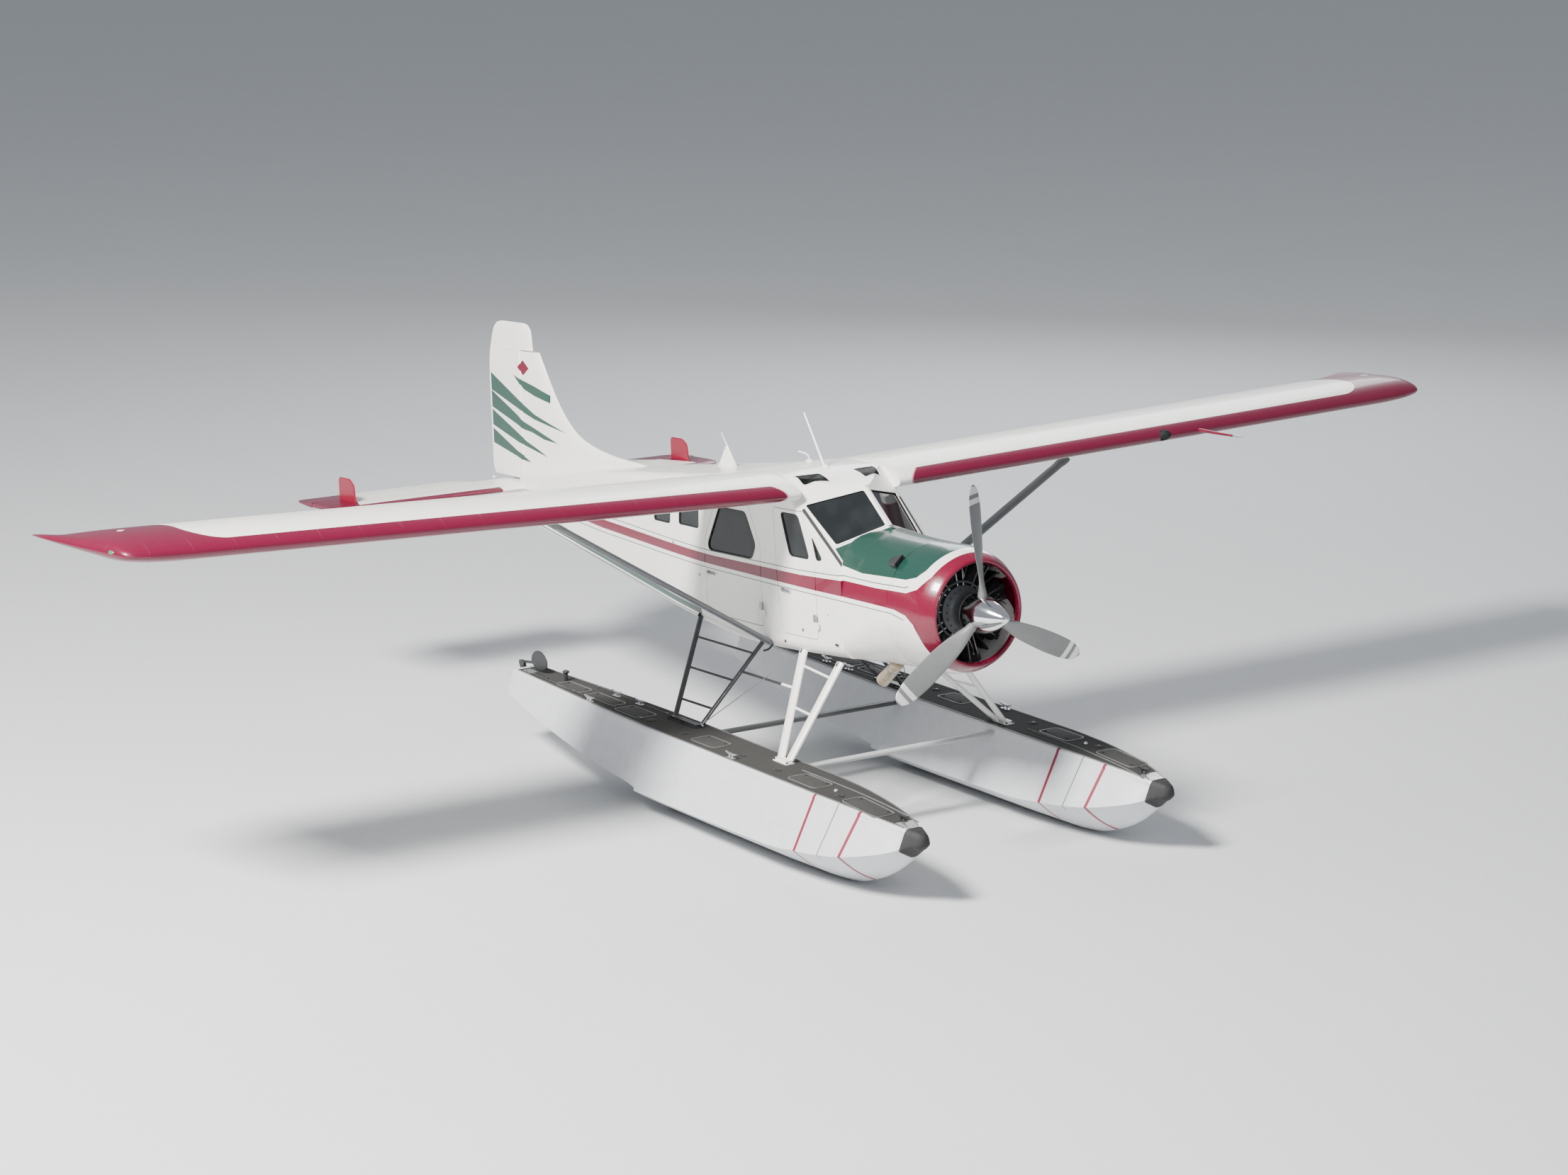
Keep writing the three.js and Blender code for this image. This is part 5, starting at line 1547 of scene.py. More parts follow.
@dataclass
class Powerplant:
    """Cowl ring, radial engine, propeller and spinner, all on the thrust line."""

    blade: tuple[Station, ...] = (
        (0.090, 0.094, 0.092, 45), (0.190, 0.092, 0.086, 45), (0.290, 0.130, 0.058, 44),
        (0.430, 0.178, 0.038, 39), (0.620, 0.208, 0.027, 32), (0.820, 0.216, 0.020, 27),
        (1.000, 0.200, 0.015, 23), (1.120, 0.158, 0.011, 21), (1.185, 0.096, 0.008, 20), (1.210, 0.020, 0.004, 20),
    )  # radius, chord, thickness, pitch in degrees
    cylinder_y: float = -1.560
    scoop_angle: float = -43.0  # degrees from the vertical, towards the left
    scoop_sunk: float = 0.006  # how far the scoop's own level lies inside the cowl's radius

    def cowl_ring(self) -> None:
        """Turns the ring: a rolled lip, a swelling nose and a straight skirt, with an inner wall."""
        end = COWL_END_Y - MEET
        outer = through([[0.460, -1.925], [0.464, -1.950], [0.475, -1.966], [0.490, -1.970], [0.507, -1.955],
                         [0.530, -1.918], [0.558, -1.862], [0.580, -1.800], [0.594, -1.710], [0.600, -1.600]], 6)
        inner = through([[0.586, -1.600], [0.578, -1.715], [0.562, -1.800], [0.535, -1.862], [0.505, -1.905],
                         [0.480, -1.900], [0.460, -1.925]], 4)
        profile = np.vstack([outer, [[0.600, end], [0.586, end]], inner])
        ring = turned(profile, 128, closed=True).to_object("cowl_ring_skin")
        settle(ring, COWL, "airframe", "crimson_paint", "cowl_ring")

    def finned(self, low: float, high: float, core: float, fin: float, pitch: float) -> Array:
        """Gives the profile of a finned barrel as (radius, height), a groove and a fin to each pitch."""
        count = round((high - low) / pitch)
        base = low + np.arange(count)[:, None] * pitch
        steps = np.array([[0.0, core], [0.55, core], [0.60, fin], [0.95, fin], [1.0, core]])
        height = (base + steps[None, :, 0] * pitch).ravel()
        radius = np.tile(steps[:, 1], count)
        return np.vstack([[0.0, low], np.column_stack([radius, height]), [0.0, low + count * pitch]])

    def upright(self, profile: Array, sides: int) -> Shape:
        """Turns a profile of (radius, height) about the radial line of the top cylinder."""
        ring = circle(sides)
        radius, height = profile[:, :1], profile[:, 1:]
        along = self.cylinder_y + radius * ring[:, 1]
        points = np.stack([radius * ring[:, 0], along, height + 0 * ring[:, 0]], axis=-1)
        return loft(points, caps=False)

    def around(self, shape: Shape, count: int, start: float = 0.0) -> Shape:
        """Repeats a shape drawn above the thrust line evenly round it."""
        whole = Shape()
        for k in range(count):
            whole.join(shape.rolled(math.radians(start) + 2 * math.pi * k / count))
        return whole.moved(0, 0, THRUST_Z)

    def engine(self) -> None:
        """Makes the crankcase, finned cylinders, rocker covers, pushrod tubes, plugs and baffles."""
        front, back = SPINNER_BASE_Y + PLATE + MEET, FIREWALL_Y - MEET
        case = through([[0.055, front], [0.060, -1.880], [0.100, -1.850], [0.150, -1.770], [0.232, -1.730]], 5)
        rest = [[0.232, -1.400], [0.190, -1.370], [0.190, -1.000], [0.110, back], [0.0, back]]
        crank = turned(np.vstack([[[0.0, front]], case, rest]), 72)
        bolts = self.around(rod((0, -1.752, 0.195), (0, -1.738, 0.195), 0.009, 6), 18, 10)
        ring = sweep(np.column_stack([circle(72)[:, 0] * 0.262, np.full(72, -1.700), circle(72)[:, 1] * 0.262]),
                     circle(10) * 0.013, (0, 1, 0), closed=True).moved(0, 0, THRUST_Z)
        settle(crank.join(bolts, ring).to_object("crankcase"), ENGINE_GREY, "airframe", "engine_iron", "engine")
        barrel = self.upright(self.finned(0.205, 0.430, 0.068, 0.088, 0.0125), 36)
        head = self.upright(self.finned(0.430, 0.545, 0.076, 0.100, 0.0145), 36)
        cap = self.upright(through([[0.0, 0.571], [0.050, 0.568], [0.078, 0.556], [0.080, 0.540]], 5), 24)
        cylinder = barrel.join(head, cap)
        for x in (-0.052, 0.052):
            cylinder.join(plate(rounded(rect(x - 0.024, -1.655, x + 0.024, -1.60), 0.012), 0.50, 0.562))
        settle(self.around(cylinder, CYLINDERS).to_object("cylinders"), FIN_METAL, "airframe", "engine_iron")
        tubes = Shape()
        for x in (-0.040, 0.040):
            tubes.join(rod((x * 0.8, -1.705, 0.222), (x * 1.25, -1.652, 0.505), 0.0085, 12))
        tubes.join(sweep(through([[0.022, -1.700, 0.262], [0.030, -1.722, 0.32], [0.012, -1.700, 0.40],
                                  [0.0, -1.655, 0.47]], 6), circle(8) * 0.0045, (1, 0, 0)))
        tubes.join(rod((0, -1.668, 0.470), (0, -1.640, 0.470), 0.010, 12))
        settle(self.around(tubes, CYLINDERS).to_object("pushrod_tubes"), STEEL, "airframe", "engine_iron")
        wall = rounded([[-0.006, 0.245], [0.006, 0.245], [0.010, 0.560], [-0.010, 0.560]], 0.003, 3)
        baffle = layers(1, (-1.625, wall), (-1.500, wall))
        section = rect(0.236, -1.470, 0.560, -1.462)
        back_plate = turned(np.vstack([section, section[:1]]), 72, closed=True)
        baffles = self.around(baffle, CYLINDERS, 180 / CYLINDERS).join(back_plate)
        settle(baffles.to_object("engine_baffles"), TRIM_BLACK, "airframe", "engine_iron")

    def blades(self) -> None:
        """Makes three blades: an oval shank that thins into a cambered section, twisted along its length."""
        tip = 1.120 + 0.090 * np.sin(np.linspace(0.12, 1, 12) * 1.55)
        radius = np.concatenate([np.linspace(0.090, 1.120, 44), tip])
        chord, thick, pitch = smooth_table(self.blade, radius).T
        angle = np.linspace(0, 2 * math.pi, 36, endpoint=False)[None, :]
        slim = np.clip((radius - 0.19) / 0.22, 0, 1)[:, None]
        u = chord[:, None] / 2 * np.cos(angle)
        flatten = np.where(np.sin(angle) < 0, 1 - 0.65 * slim, 1.0)
        v = thick[:, None] / 2 * np.sin(angle) * flatten
        tilt = np.radians(pitch)[:, None]
        rings = np.stack([u * np.cos(tilt) + v * np.sin(tilt), u * np.sin(tilt) - v * np.cos(tilt),
                          np.broadcast_to(radius[:, None], u.shape)], axis=-1)
        one = loft(rings)
        for number, degrees in enumerate(BLADE_ANGLES, 1):
            blade = one.rolled(math.radians(degrees)).moved(0, BLADE_Y, THRUST_Z)
            body = blade.to_object(f"blade_{number}", crease=50)
            self.paint_back(body)
            stands = ("propeller",) if number == 1 else ()
            settle(body, (BLADE_FRONT, BLADE_BACK), "propeller", "propeller_metal", *stands)

    def paint_back(self, body: Body) -> None:
        """Gives the blade's faces that look aft the back's material number."""
        normal = np.zeros(len(body.data.polygons) * 3)
        body.data.polygons.foreach_get("normal", normal)
        body.data.polygons.foreach_set("material_index", (normal[1::3] > 0).astype(np.int32))

    def hub(self) -> None:
        """Makes the spinner with its blade cut-outs, its back plate and the hub inside."""
        outer = through([[0.0, -2.410], [0.018, -2.402], [0.048, -2.368], [0.088, -2.300], [0.128, -2.215],
                         [0.160, -2.125], [0.178, -2.040], [0.185, -1.975], [0.185, SPINNER_BASE_Y]], 8)
        inner = through([[0.179, SPINNER_BASE_Y], [0.179, -1.972], [0.171, -2.035], [0.152, -2.112],
                         [0.120, -2.200], [0.078, -2.286], [0.036, -2.352], [0.0, -2.372]], 4)
        shell = turned(np.vstack([outer, inner]), 96).to_object("spinner_shell")
        holes = Shape()
        for degrees in BLADE_ANGLES:
            sine, cosine = math.sin(math.radians(degrees)), math.cos(math.radians(degrees))
            at = [np.array([sine * r, BLADE_Y, THRUST_Z + cosine * r]) for r in (0.06, 0.26)]
            holes.join(rod(at[0], at[1], 0.056, 32))
        settle(carve(shell, holes.to_object("blade_holes")), CHROME, "propeller", "spinner_chrome", "spinner")
        back = SPINNER_BASE_Y + PLATE
        front = SPINNER_BASE_Y + MEET
        core = turned(np.array([[0.0, back], [SPINNER_RADIUS, back], [SPINNER_RADIUS, front], [0.105, front],
                                [0.105, -2.150], [0.060, -2.170], [0.0, -2.170]]), 48)
        settle(core.to_object("hub"), STEEL, "propeller", "propeller_metal")

    def scoop(self) -> None:
        """Makes the air scoop on the cowl's right shoulder, its mouth open to the front."""
        # y, half width and height
        rows = ((-1.440, 0.072, 0.066), (-1.380, 0.071, 0.063), (-1.300, 0.066, 0.052), (-1.180, 0.044, 0.018))
        hood = layers(1, *((y, rounded(rect(-half, -0.020, half, height), 0.022, 5)) for y, half, height in rows))
        mouth = rounded(rect(-0.054, 0.008, 0.054, 0.046), 0.014, 5)

        def placed(shape: Shape) -> Shape:
            """Moves a shape drawn at the origin onto the cowl, at the scoop's angle."""
            out = shape.moved(0, 0, COWL_RADIUS - self.scoop_sunk)
            return out.rolled(math.radians(self.scoop_angle)).moved(0, 0, THRUST_Z)

        body = placed(hood).to_object("intake_scoop")
        keep = box((-2, COWL_END_Y + MEET, -3), (2, 1, 1)).to_object("aft_of_ring")
        body = carve(body, placed(layers(1, (-1.50, mouth), (-1.33, mouth))).to_object("scoop_mouth"))
        settle(carve(body, keep, how=Cut.KEEP), BLACK, "airframe", "engine_iron", "air_scoop")

    def exhaust(self) -> None:
        """Makes the exhaust stack, a flared pipe with an open end, and a clamp round it."""
        start, end = np.array([-0.2685, -1.060, -1.510]), np.array([-0.262, -0.800, -1.712])
        share = np.linspace(0, 1, 10)[:, None]
        pipe = sweep(start + (end - start) * share, circle(40), (1, 0, 0), scale=0.060 + 0.006 * share[:, 0] ** 2)
        bore = sweep(start + (end - start) * np.array([[0.35], [1.2]]), circle(40), (1, 0, 0),
                     scale=np.array([0.052, 0.061]))
        body = carve(pipe.to_object("exhaust_pipe"), bore.to_object("exhaust_bore"))
        settle(body, EXHAUST, "airframe", "exhaust_steel", "exhaust_stack")
        clamp = sweep(start + (end - start) * np.array([[0.30], [0.36]]), circle(40) * 0.0635, (1, 0, 0))
        settle(clamp.to_object("exhaust_clamp"), STEEL, "airframe", "exhaust_steel")

    def build(self) -> None:
        """Makes every piece of the powerplant."""
        self.scoop()
        self.exhaust()
        self.cowl_ring()
        self.engine()
        self.blades()
        self.hub()


# Wings

TIP: tuple[Station, ...] = (
    (0.560, 0.0, 1.575, 0.90, 0.0), (0.640, 0.0, 1.575, 1.0, 0.0), (6.900, 0.0, 1.575, 1.0, 0.0),
    (7.200, 0.004, 1.575, 0.93, 0.006), (7.360, 0.020, 1.572, 0.80, 0.014), (7.440, 0.060, 1.568, 0.68, 0.020),
    (7.500, 0.250, 1.560, 0.52, 0.030), (7.580, 0.620, 1.545, 0.34, 0.045), (7.640, 0.950, 1.520, 0.20, 0.058),
    (WING_TIP, 1.200, 1.470, 0.06, 0.066),
)  # x, leading and trailing edge, share of the full thickness, rise of the chord line


def aerofoil(chord: Array, thickness: Array, camber: Array, steps: int = 28) -> Array:
    """Works out aerofoil sections from the trailing edge over the nose and back.

    Half the thickness is the usual four-term polynomial with a root, and the mean line is two parabolas
    that meet at 40% of the chord.

    Args:
        chord: Chord of each section.
        thickness: Thickness of each, as a share of its chord.
        camber: Camber of each, as a share of its chord.
        steps: Steps from nose to tail.

    Returns:
        (y, z) by section, then round it.
    """
    s = ((1 - np.cos(np.linspace(0, math.pi, steps + 1))) / 2)[None, :]
    shape = 0.2969 * np.sqrt(s) - 0.126 * s - 0.3516 * s**2 + 0.2843 * s**3 - 0.1015 * s**4
    half = 5 * thickness[:, None] * shape
    crest = 0.4
    ahead, behind = 2 * crest * s - s**2, 1 - 2 * crest + 2 * crest * s - s**2
    mean = camber[:, None] * np.where(s < crest, ahead / crest**2, behind / (1 - crest) ** 2)
    y = np.concatenate([s[:, ::-1], s[:, 1:]], axis=1) * chord[:, None]
    z = np.concatenate([(mean + half)[:, ::-1], (mean - half)[:, 1:]], axis=1) * chord[:, None]
    return np.stack([y, z], axis=-1)


def place_wing(points: Array) -> Array:
    """Raises a level left wing, whose x runs from the centreline, to its dihedral at the root."""
    x, y, z = points[..., 0] - WING_ROOT, points[..., 1], points[..., 2]
    sine, cosine = math.sin(DIHEDRAL), math.cos(DIHEDRAL)
    return np.stack([WING_ROOT + x * cosine - z * sine, y, x * sine + z * cosine], axis=-1)


def control_section(nose: float, tail_y: float, tail_z: float = 0.0) -> Array:
    """Gives a control surface's section: a round nose on the hinge, flat sides, a thin trailing edge."""
    angle = np.radians(np.linspace(78, 282, 15))
    arc = np.column_stack([nose * np.cos(angle), nose * np.sin(angle)])
    s = np.linspace(0, 1, 9)[1:, None]
    low, high = np.array([tail_y, tail_z - TRAILING]), np.array([tail_y, tail_z + TRAILING])
    return np.vstack([arc, arc[-1] + (low - arc[-1]) * s, high + (arc[0] - high) * np.vstack([[0.0], s[:-1]])])


@dataclass
class Wings:
    """Both wings with their flaps, ailerons, struts and leading-edge fittings."""

    steps: int = 60
    brackets: tuple[float, ...] = (0.95, 1.90, 2.85, 3.80, 4.35, 5.40, 6.45)  # hinge brackets along x

    def wing(self) -> Shape:
        """Lofts the left wing through its sections, closing on a thin raked tip."""
        x = np.concatenate([np.linspace(0.578, 0.64, 5), np.linspace(0.70, 6.9, 24),
                            6.9 + 0.78 * np.sin(np.linspace(0.03, 1, 40) * math.pi / 2)])
        lead, trail, share, rise = smooth_table(TIP, x).T
        chord = trail - lead
        yz = aerofoil(chord, WING_THICKNESS * share * CHORD / chord, WING_CAMBER * share * CHORD / chord)
        points = np.stack([np.broadcast_to(x[:, None], yz.shape[:2]), yz[..., 0] + lead[:, None],
                           yz[..., 1] + rise[:, None]], axis=-1)
        return loft(place_wing(points))

    def surface(self, span: tuple[float, float]) -> Shape:
        """Makes a flap or aileron over a span."""
        section = control_section(NOSE_RADIUS, CHORD - HINGE_Y, -HINGE_Z) + (HINGE_Y, HINGE_Z)
        return layers(0, *((x, section) for x in np.linspace(span[0], span[1], 24))).changed(place_wing)

    def build(self) -> None:
        """Makes each side's wing, surfaces and fittings."""
        for side in Side:
            well = box((FLAP_SPAN[0] - RUN, HINGE_Y - NOSE_RADIUS - RUN, -0.4),
                       (AILERON_SPAN[1] + RUN, CHORD + 0.1, 0.5)).changed(place_wing)
            wing = self.wing().on(side).to_object(f"wing_skin_{side.word}")
            wing = carve(wing, well.on(side).to_object("well"))
            settle(wing, WING, "airframe", "white_paint", f"wing_{side.word}")
            for name, span in (("flap", FLAP_SPAN), ("aileron", AILERON_SPAN)):
                panel = self.surface(span).on(side).to_object(f"{name}_skin_{side.word}")
                settle(panel, WING, f"{name}_{side.word}", "white_paint", f"{name}_{side.word}")
            self.strut(side)
            self.fittings(side)

    def strut(self, side: Side) -> None:
        """Makes the lift strut: a faired section from the fuselage's foot to the wing."""
        foot, head = np.array([0.612, 0.610, -1.483]), np.array([2.975, 0.482, -0.080])
        chord, thickness = 0.150, 0.052
        strut = leg(foot, head, chord, thickness, 12)
        for at in (0.012, 0.985):
            cuff = foot + (head - foot) * np.linspace(at - 0.02, at + 0.02, 5)[:, None]
            section = teardrop(chord, thickness) * 1.10
            strut.join(sweep(cuff, section, chordwise(head - foot), scale=np.array([0.9, 1, 1, 1, 0.9])))
        # Its grey is partly painted shade.
        settle(strut.on(side).to_object(f"lift_strut_{side.word}"), STRUT_GREY_AND_SHADE, "airframe", "grey_paint",
               f"wing_strut_{side.word}")

    def fittings(self, side: Side) -> None:
        """Makes the hinge brackets, fuel caps, static wicks and tip lamp, and the left wing's lamp and boom."""
        whole = Shape()
        for x in self.brackets:
            fin = rounded([[0.90, -0.020], [1.135, -0.010], [1.135, -0.075], [1.05, -0.082]], 0.02)
            whole.join(prism(fin, x - 0.004, x + 0.004).changed(place_wing))
        cap = np.array([[0.0, 0.0], [0.050, 0.0], [0.050, 0.006], [0.042, 0.010], [0.0, 0.011]])
        ring = circle(28)
        for at_x, at_y, at_z in ((7.20, 0.62, 0.150), (2.30, 0.55, 0.160)):
            points = np.stack([cap[:, :1] * ring[:, 0] + at_x, cap[:, :1] * ring[:, 1] + at_y,
                               cap[:, 1:] + 0 * ring[:, 0] + at_z], axis=-1)
            whole.join(loft(points, caps=False).changed(place_wing))
        settle(whole.on(side).to_object(f"wing_fittings_{side.word}"), PLAIN_WHITE, "airframe", "white_paint")
        wicks = Shape()
        for x in (4.60, 5.45, 6.30):
            wicks.join(rod((x, CHORD - 0.012, 0.0), (x, CHORD + 0.105, -0.004), 0.0022, 8).changed(place_wing))
            wicks.join(rod((x, CHORD - 0.030, 0.001), (x, CHORD - 0.004, 0.0), 0.0055, 10).changed(place_wing))
        settle(wicks.on(side).to_object(f"static_wicks_{side.word}"), TRIM_BLACK, f"aileron_{side.word}",
               "panel_black")
        lamp = ball((7.47, 0.235, 0.040), (0.030, 0.060, 0.022), 12).changed(place_wing).on(side)
        colour = LENS_RED if side is Side.LEFT else LENS_GREEN
        settle(lamp.to_object(f"tip_lamp_{side.word}"), colour, "airframe", "window_glass")
        if side is Side.LEFT:
            self.left_fittings()

    def left_fittings(self) -> None:
        """Makes the landing light in the left leading edge and the red sensing boom ahead of it."""
        lens = ball((3.90, 0.030, 0.004), (0.088, 0.047, 0.052), 20).changed(place_wing)
        settle(lens.to_object("landing_lens"), SKY_GLASS, "airframe", "window_glass")
        oval = circle(48) * (0.086, 0.052)
        rim = np.column_stack([oval[:, 0] + 3.90, 0.012 + 0.030 * (oval[:, 1] / 0.052) ** 2, oval[:, 1] + 0.004])
        hoop = sweep(rim, circle(8) * 0.006, (0, 1, 0), closed=True).changed(place_wing)
        settle(hoop.to_object("landing_rim"), TRIM_BLACK, "airframe", "panel_black")
        boom = [[4.34, 0.030, 0.006], [4.34, -0.20, -0.004], [4.34, -0.52, -0.008]]
        tip = [[4.34, -0.515, -0.008], [4.34, -0.62, -0.010], [4.34, -0.66, -0.010]]
        for name, path, radii, finish, slot in (
            ("sensing_boom", boom, (0.019, 0.016, 0.013), RED_ENAMEL, "red_paint"),
            ("boom_tip", tip, (0.010, 0.009, 0.006), BRIGHT, "grey_paint"),
        ):
            rod_ = sweep(np.array(path), circle(14), (1, 0, 0), scale=np.array(radii)).changed(place_wing)
            settle(rod_.to_object(name), finish, "airframe", slot)


# Tail


@dataclass
class Tail:
    """Fin, rudder, tailplane, elevator and finlets."""

    fin: tuple[Station, ...] = (
        (-0.560, 3.420, 0.040), (-0.160, 3.560, 0.038), (-0.110, 4.280, 0.038), (-0.060, 4.640, 0.038),
        (0.030, 4.970, 0.038), (0.160, 5.190, 0.037), (0.340, 5.385, 0.036), (0.590, 5.575, 0.034),
        (0.870, 5.765, 0.031),
    )  # z, leading edge, half thickness
    rudder: tuple[Station, ...] = ((-0.530, 6.820), (-0.440, 6.868), (0.500, 6.870), (0.760, 6.850), (0.880, 6.822))
    horn: tuple[Station, ...] = (
        (0.882, 5.905, 6.822, 0.034), (1.080, 5.930, 6.740, 0.030), (1.150, 5.985, 6.660, 0.022),
        (1.172, 6.060, 6.560, 0.008),
    )  # z, leading and trailing edge, half thickness
    finlet_x: float = 2.100

    def blade_section(self, lead: Array, back: float, half: Array) -> Array:
        """Gives a fixed surface's sections: a round nose that swells to the full thickness."""
        s = (1 - np.cos(np.linspace(0, math.pi / 2, 15)))[None, :]
        length = back - lead[:, None]
        swell = np.sqrt(np.clip(1 - (1 - np.clip(s / 0.4, 0, 1)) ** 2, 0, 1)) * (1 - 0.05 * s**2)
        y, x = lead[:, None] + length * s, half[:, None] * swell
        y, x = np.concatenate([y, y[:, :0:-1]], axis=1), np.concatenate([x, -x[:, :0:-1]], axis=1)
        return np.stack([y, x], axis=-1)

    def build(self) -> None:
        """Makes every tail surface."""
        back = FIN_HINGE_Y - RUDDER_NOSE - RUN
        z = np.concatenate([np.linspace(-0.50, -0.17, 8), np.linspace(-0.16, 0.10, 40), np.linspace(0.12, 0.85, 22),
                            [0.87]])
        lead, half = smooth_table(self.fin, z).T
        yx = self.blade_section(lead, back, half)
        fin = loft(np.stack([yx[..., 1], yx[..., 0], np.broadcast_to(z[:, None], yx.shape[:2])], axis=-1))
        cutter = loft(fuselage_rings(REAR, stations(REAR))).to_object("cone_form")
        fin_body = carve(fin.to_object("fin_skin"), cutter)
        settle(fin_body, TAIL, "airframe", "white_paint", "fin")
        self.make_rudder()
        self.make_tailplane()
        self.make_elevator()
        for side in Side:
            outline = rounded([[6.100, -0.860], [6.130, -0.885], [6.500, -0.885], [6.520, -0.860],
                               [6.520, -0.340], [6.490, -0.322], [6.270, -0.322], [6.180, -0.380]], 0.03, 4)
            finlet = wafer(outline, self.finlet_x, 0.010, 0.004, 0.010)
            settle(finlet.on(side).to_object(f"finlet_skin_{side.word}"), FINLET, "airframe", "red_paint",
                   f"finlet_{side.word}")

    def make_rudder(self) -> None:
        """Makes the rudder: a body on its hinge and a balance horn over the fin."""
        z = np.concatenate([np.linspace(-0.530, -0.44, 6), np.linspace(-0.42, 0.880, 28)])
        trail = smooth_table(self.rudder, z)[:, 0]
        sections = [control_section(RUDDER_NOSE, end - FIN_HINGE_Y)[:, ::-1] + (0, FIN_HINGE_Y) for end in trail]
        body = layers(2, *zip(z, sections)).to_object("rudder_skin")
        z = np.concatenate([[0.878, 0.8785], np.linspace(0.882, 1.150, 16), np.linspace(1.152, 1.172, 6)])
        lead, trail, half = smooth_table(self.horn, z).T
        lead = np.where(z < 0.8815, FIN_HINGE_Y - 0.030, lead)
        s = ((1 - np.cos(np.linspace(0, math.pi, 21))) / 2)[None, :]
        nose, taper = np.sqrt(np.clip(1 - (1 - s / 0.3) ** 2, 0, 1)), 1 - 0.85 * (np.clip(s - 0.3, 0, 1) / 0.7)
        swell = np.where(s < 0.3, nose, taper)
        y, t = lead[:, None] + (trail - lead)[:, None] * s, half[:, None] * swell
        ring_y, ring_x = np.concatenate([y, y[:, -2:0:-1]], axis=1), np.concatenate([t, -t[:, -2:0:-1]], axis=1)
        horn = loft(np.stack([ring_x, ring_y, np.broadcast_to(z[:, None], ring_x.shape)], axis=-1))
        body = carve(body, horn.to_object("horn"), how=Cut.ADD)
        settle(body, TAIL, "rudder", "white_paint", "rudder")

    def make_tailplane(self) -> None:
        """Makes each half of the tailplane with a rounded tip."""
        back = ELEVATOR_Y - ELEVATOR_NOSE - RUN
        table = ((0.040, TAIL_LE_Y, 0.042), (2.200, TAIL_LE_Y, 0.036), (2.340, 5.985, 0.030),
                 (TAIL_SPAN, 6.080, 0.020))  # x, leading edge, half thickness
        x = np.concatenate([np.linspace(0.04, 2.18, 16), np.linspace(2.2, TAIL_SPAN, 16)])
        lead, half = smooth_table(table, x).T
        yz = self.blade_section(lead, back, half)
        for side in Side:
            points = np.stack([np.broadcast_to(x[:, None], yz.shape[:2]), yz[..., 0], yz[..., 1] + TAIL_Z], axis=-1)
            half_plane = loft(points).on(side).to_object(f"tailplane_skin_{side.word}")
            cutter = loft(fuselage_rings(REAR, stations(REAR))).to_object("cone_form")
            slot = box((2.0897, 6.0997, -2.0), (2.1103, 6.5203, 0.5)).on(side).to_object("finlet_slot")
            settle(carve(half_plane, cutter, slot), STAB, "airframe", "white_paint", f"tailplane_{side.word}")

    def make_elevator(self) -> None:
        """Makes both elevator halves and the torque tube between them."""
        table = ((ELEVATOR_INNER, 6.900), (ELEVATOR_INNER + 0.090, 6.985), (2.300, 6.985), (2.385, 6.940),
                 (TAIL_SPAN, 6.850))  # x, trailing edge
        x = np.concatenate([np.linspace(ELEVATOR_INNER, 0.49, 6), np.linspace(0.55, 2.28, 14),
                            np.linspace(2.3, TAIL_SPAN, 8)])
        trail = smooth_table(table, x)[:, 0]
        sections = [control_section(ELEVATOR_NOSE, end - ELEVATOR_Y) + (ELEVATOR_Y, TAIL_Z) for end in trail]
        whole = layers(0, *zip(x, sections)).both()
        whole.join(rod((-0.42, ELEVATOR_Y, TAIL_Z), (0.42, ELEVATOR_Y, TAIL_Z), 0.022, 24))
        settle(whole.to_object("elevator_skin"), STAB, "elevator", "white_paint", "elevator")


# Floats

FLOAT: tuple[Station, ...] = (
    (-3.030, 0.575, 0.602, 0.066, 0.048, 0.692), (-2.960, 0.480, 0.550, 0.142, 0.084, 0.708),
    (-2.850, 0.370, 0.502, 0.245, 0.124, 0.728), (-2.680, 0.245, 0.452, 0.340, 0.168, 0.748),
    (-2.420, 0.115, 0.392, 0.430, 0.210, 0.768), (-2.120, 0.028, 0.344, 0.473, 0.243, 0.784),
    (-1.850, 0.0, 0.310, 0.488, 0.266, 0.793), (-1.300, 0.0, 0.256, 0.495, 0.284, DECK_Z),
    (0.920, 0.0, 0.230, 0.495, 0.286, DECK_Z), (0.922, 0.078, 0.262, 0.492, 0.286, DECK_Z),
    (1.600, 0.170, 0.312, 0.455, 0.270, DECK_Z), (2.700, 0.305, 0.402, 0.345, 0.220, 0.799),
    (TRANSOM_Y, 0.470, 0.545, 0.215, 0.154, 0.794),
)  # y, keel and chine height, half width at the chine and at the deck, deck height
BUMPER: tuple[Station, ...] = (
    (-3.128, 0.592, 0.606, 0.038, 0.034, 0.668), (-3.098, 0.556, 0.590, 0.076, 0.058, 0.696),
    (-3.030, 0.520, 0.572, 0.110, 0.080, 0.716), (-2.950, 0.448, 0.528, 0.172, 0.106, 0.726),
)  # the same columns


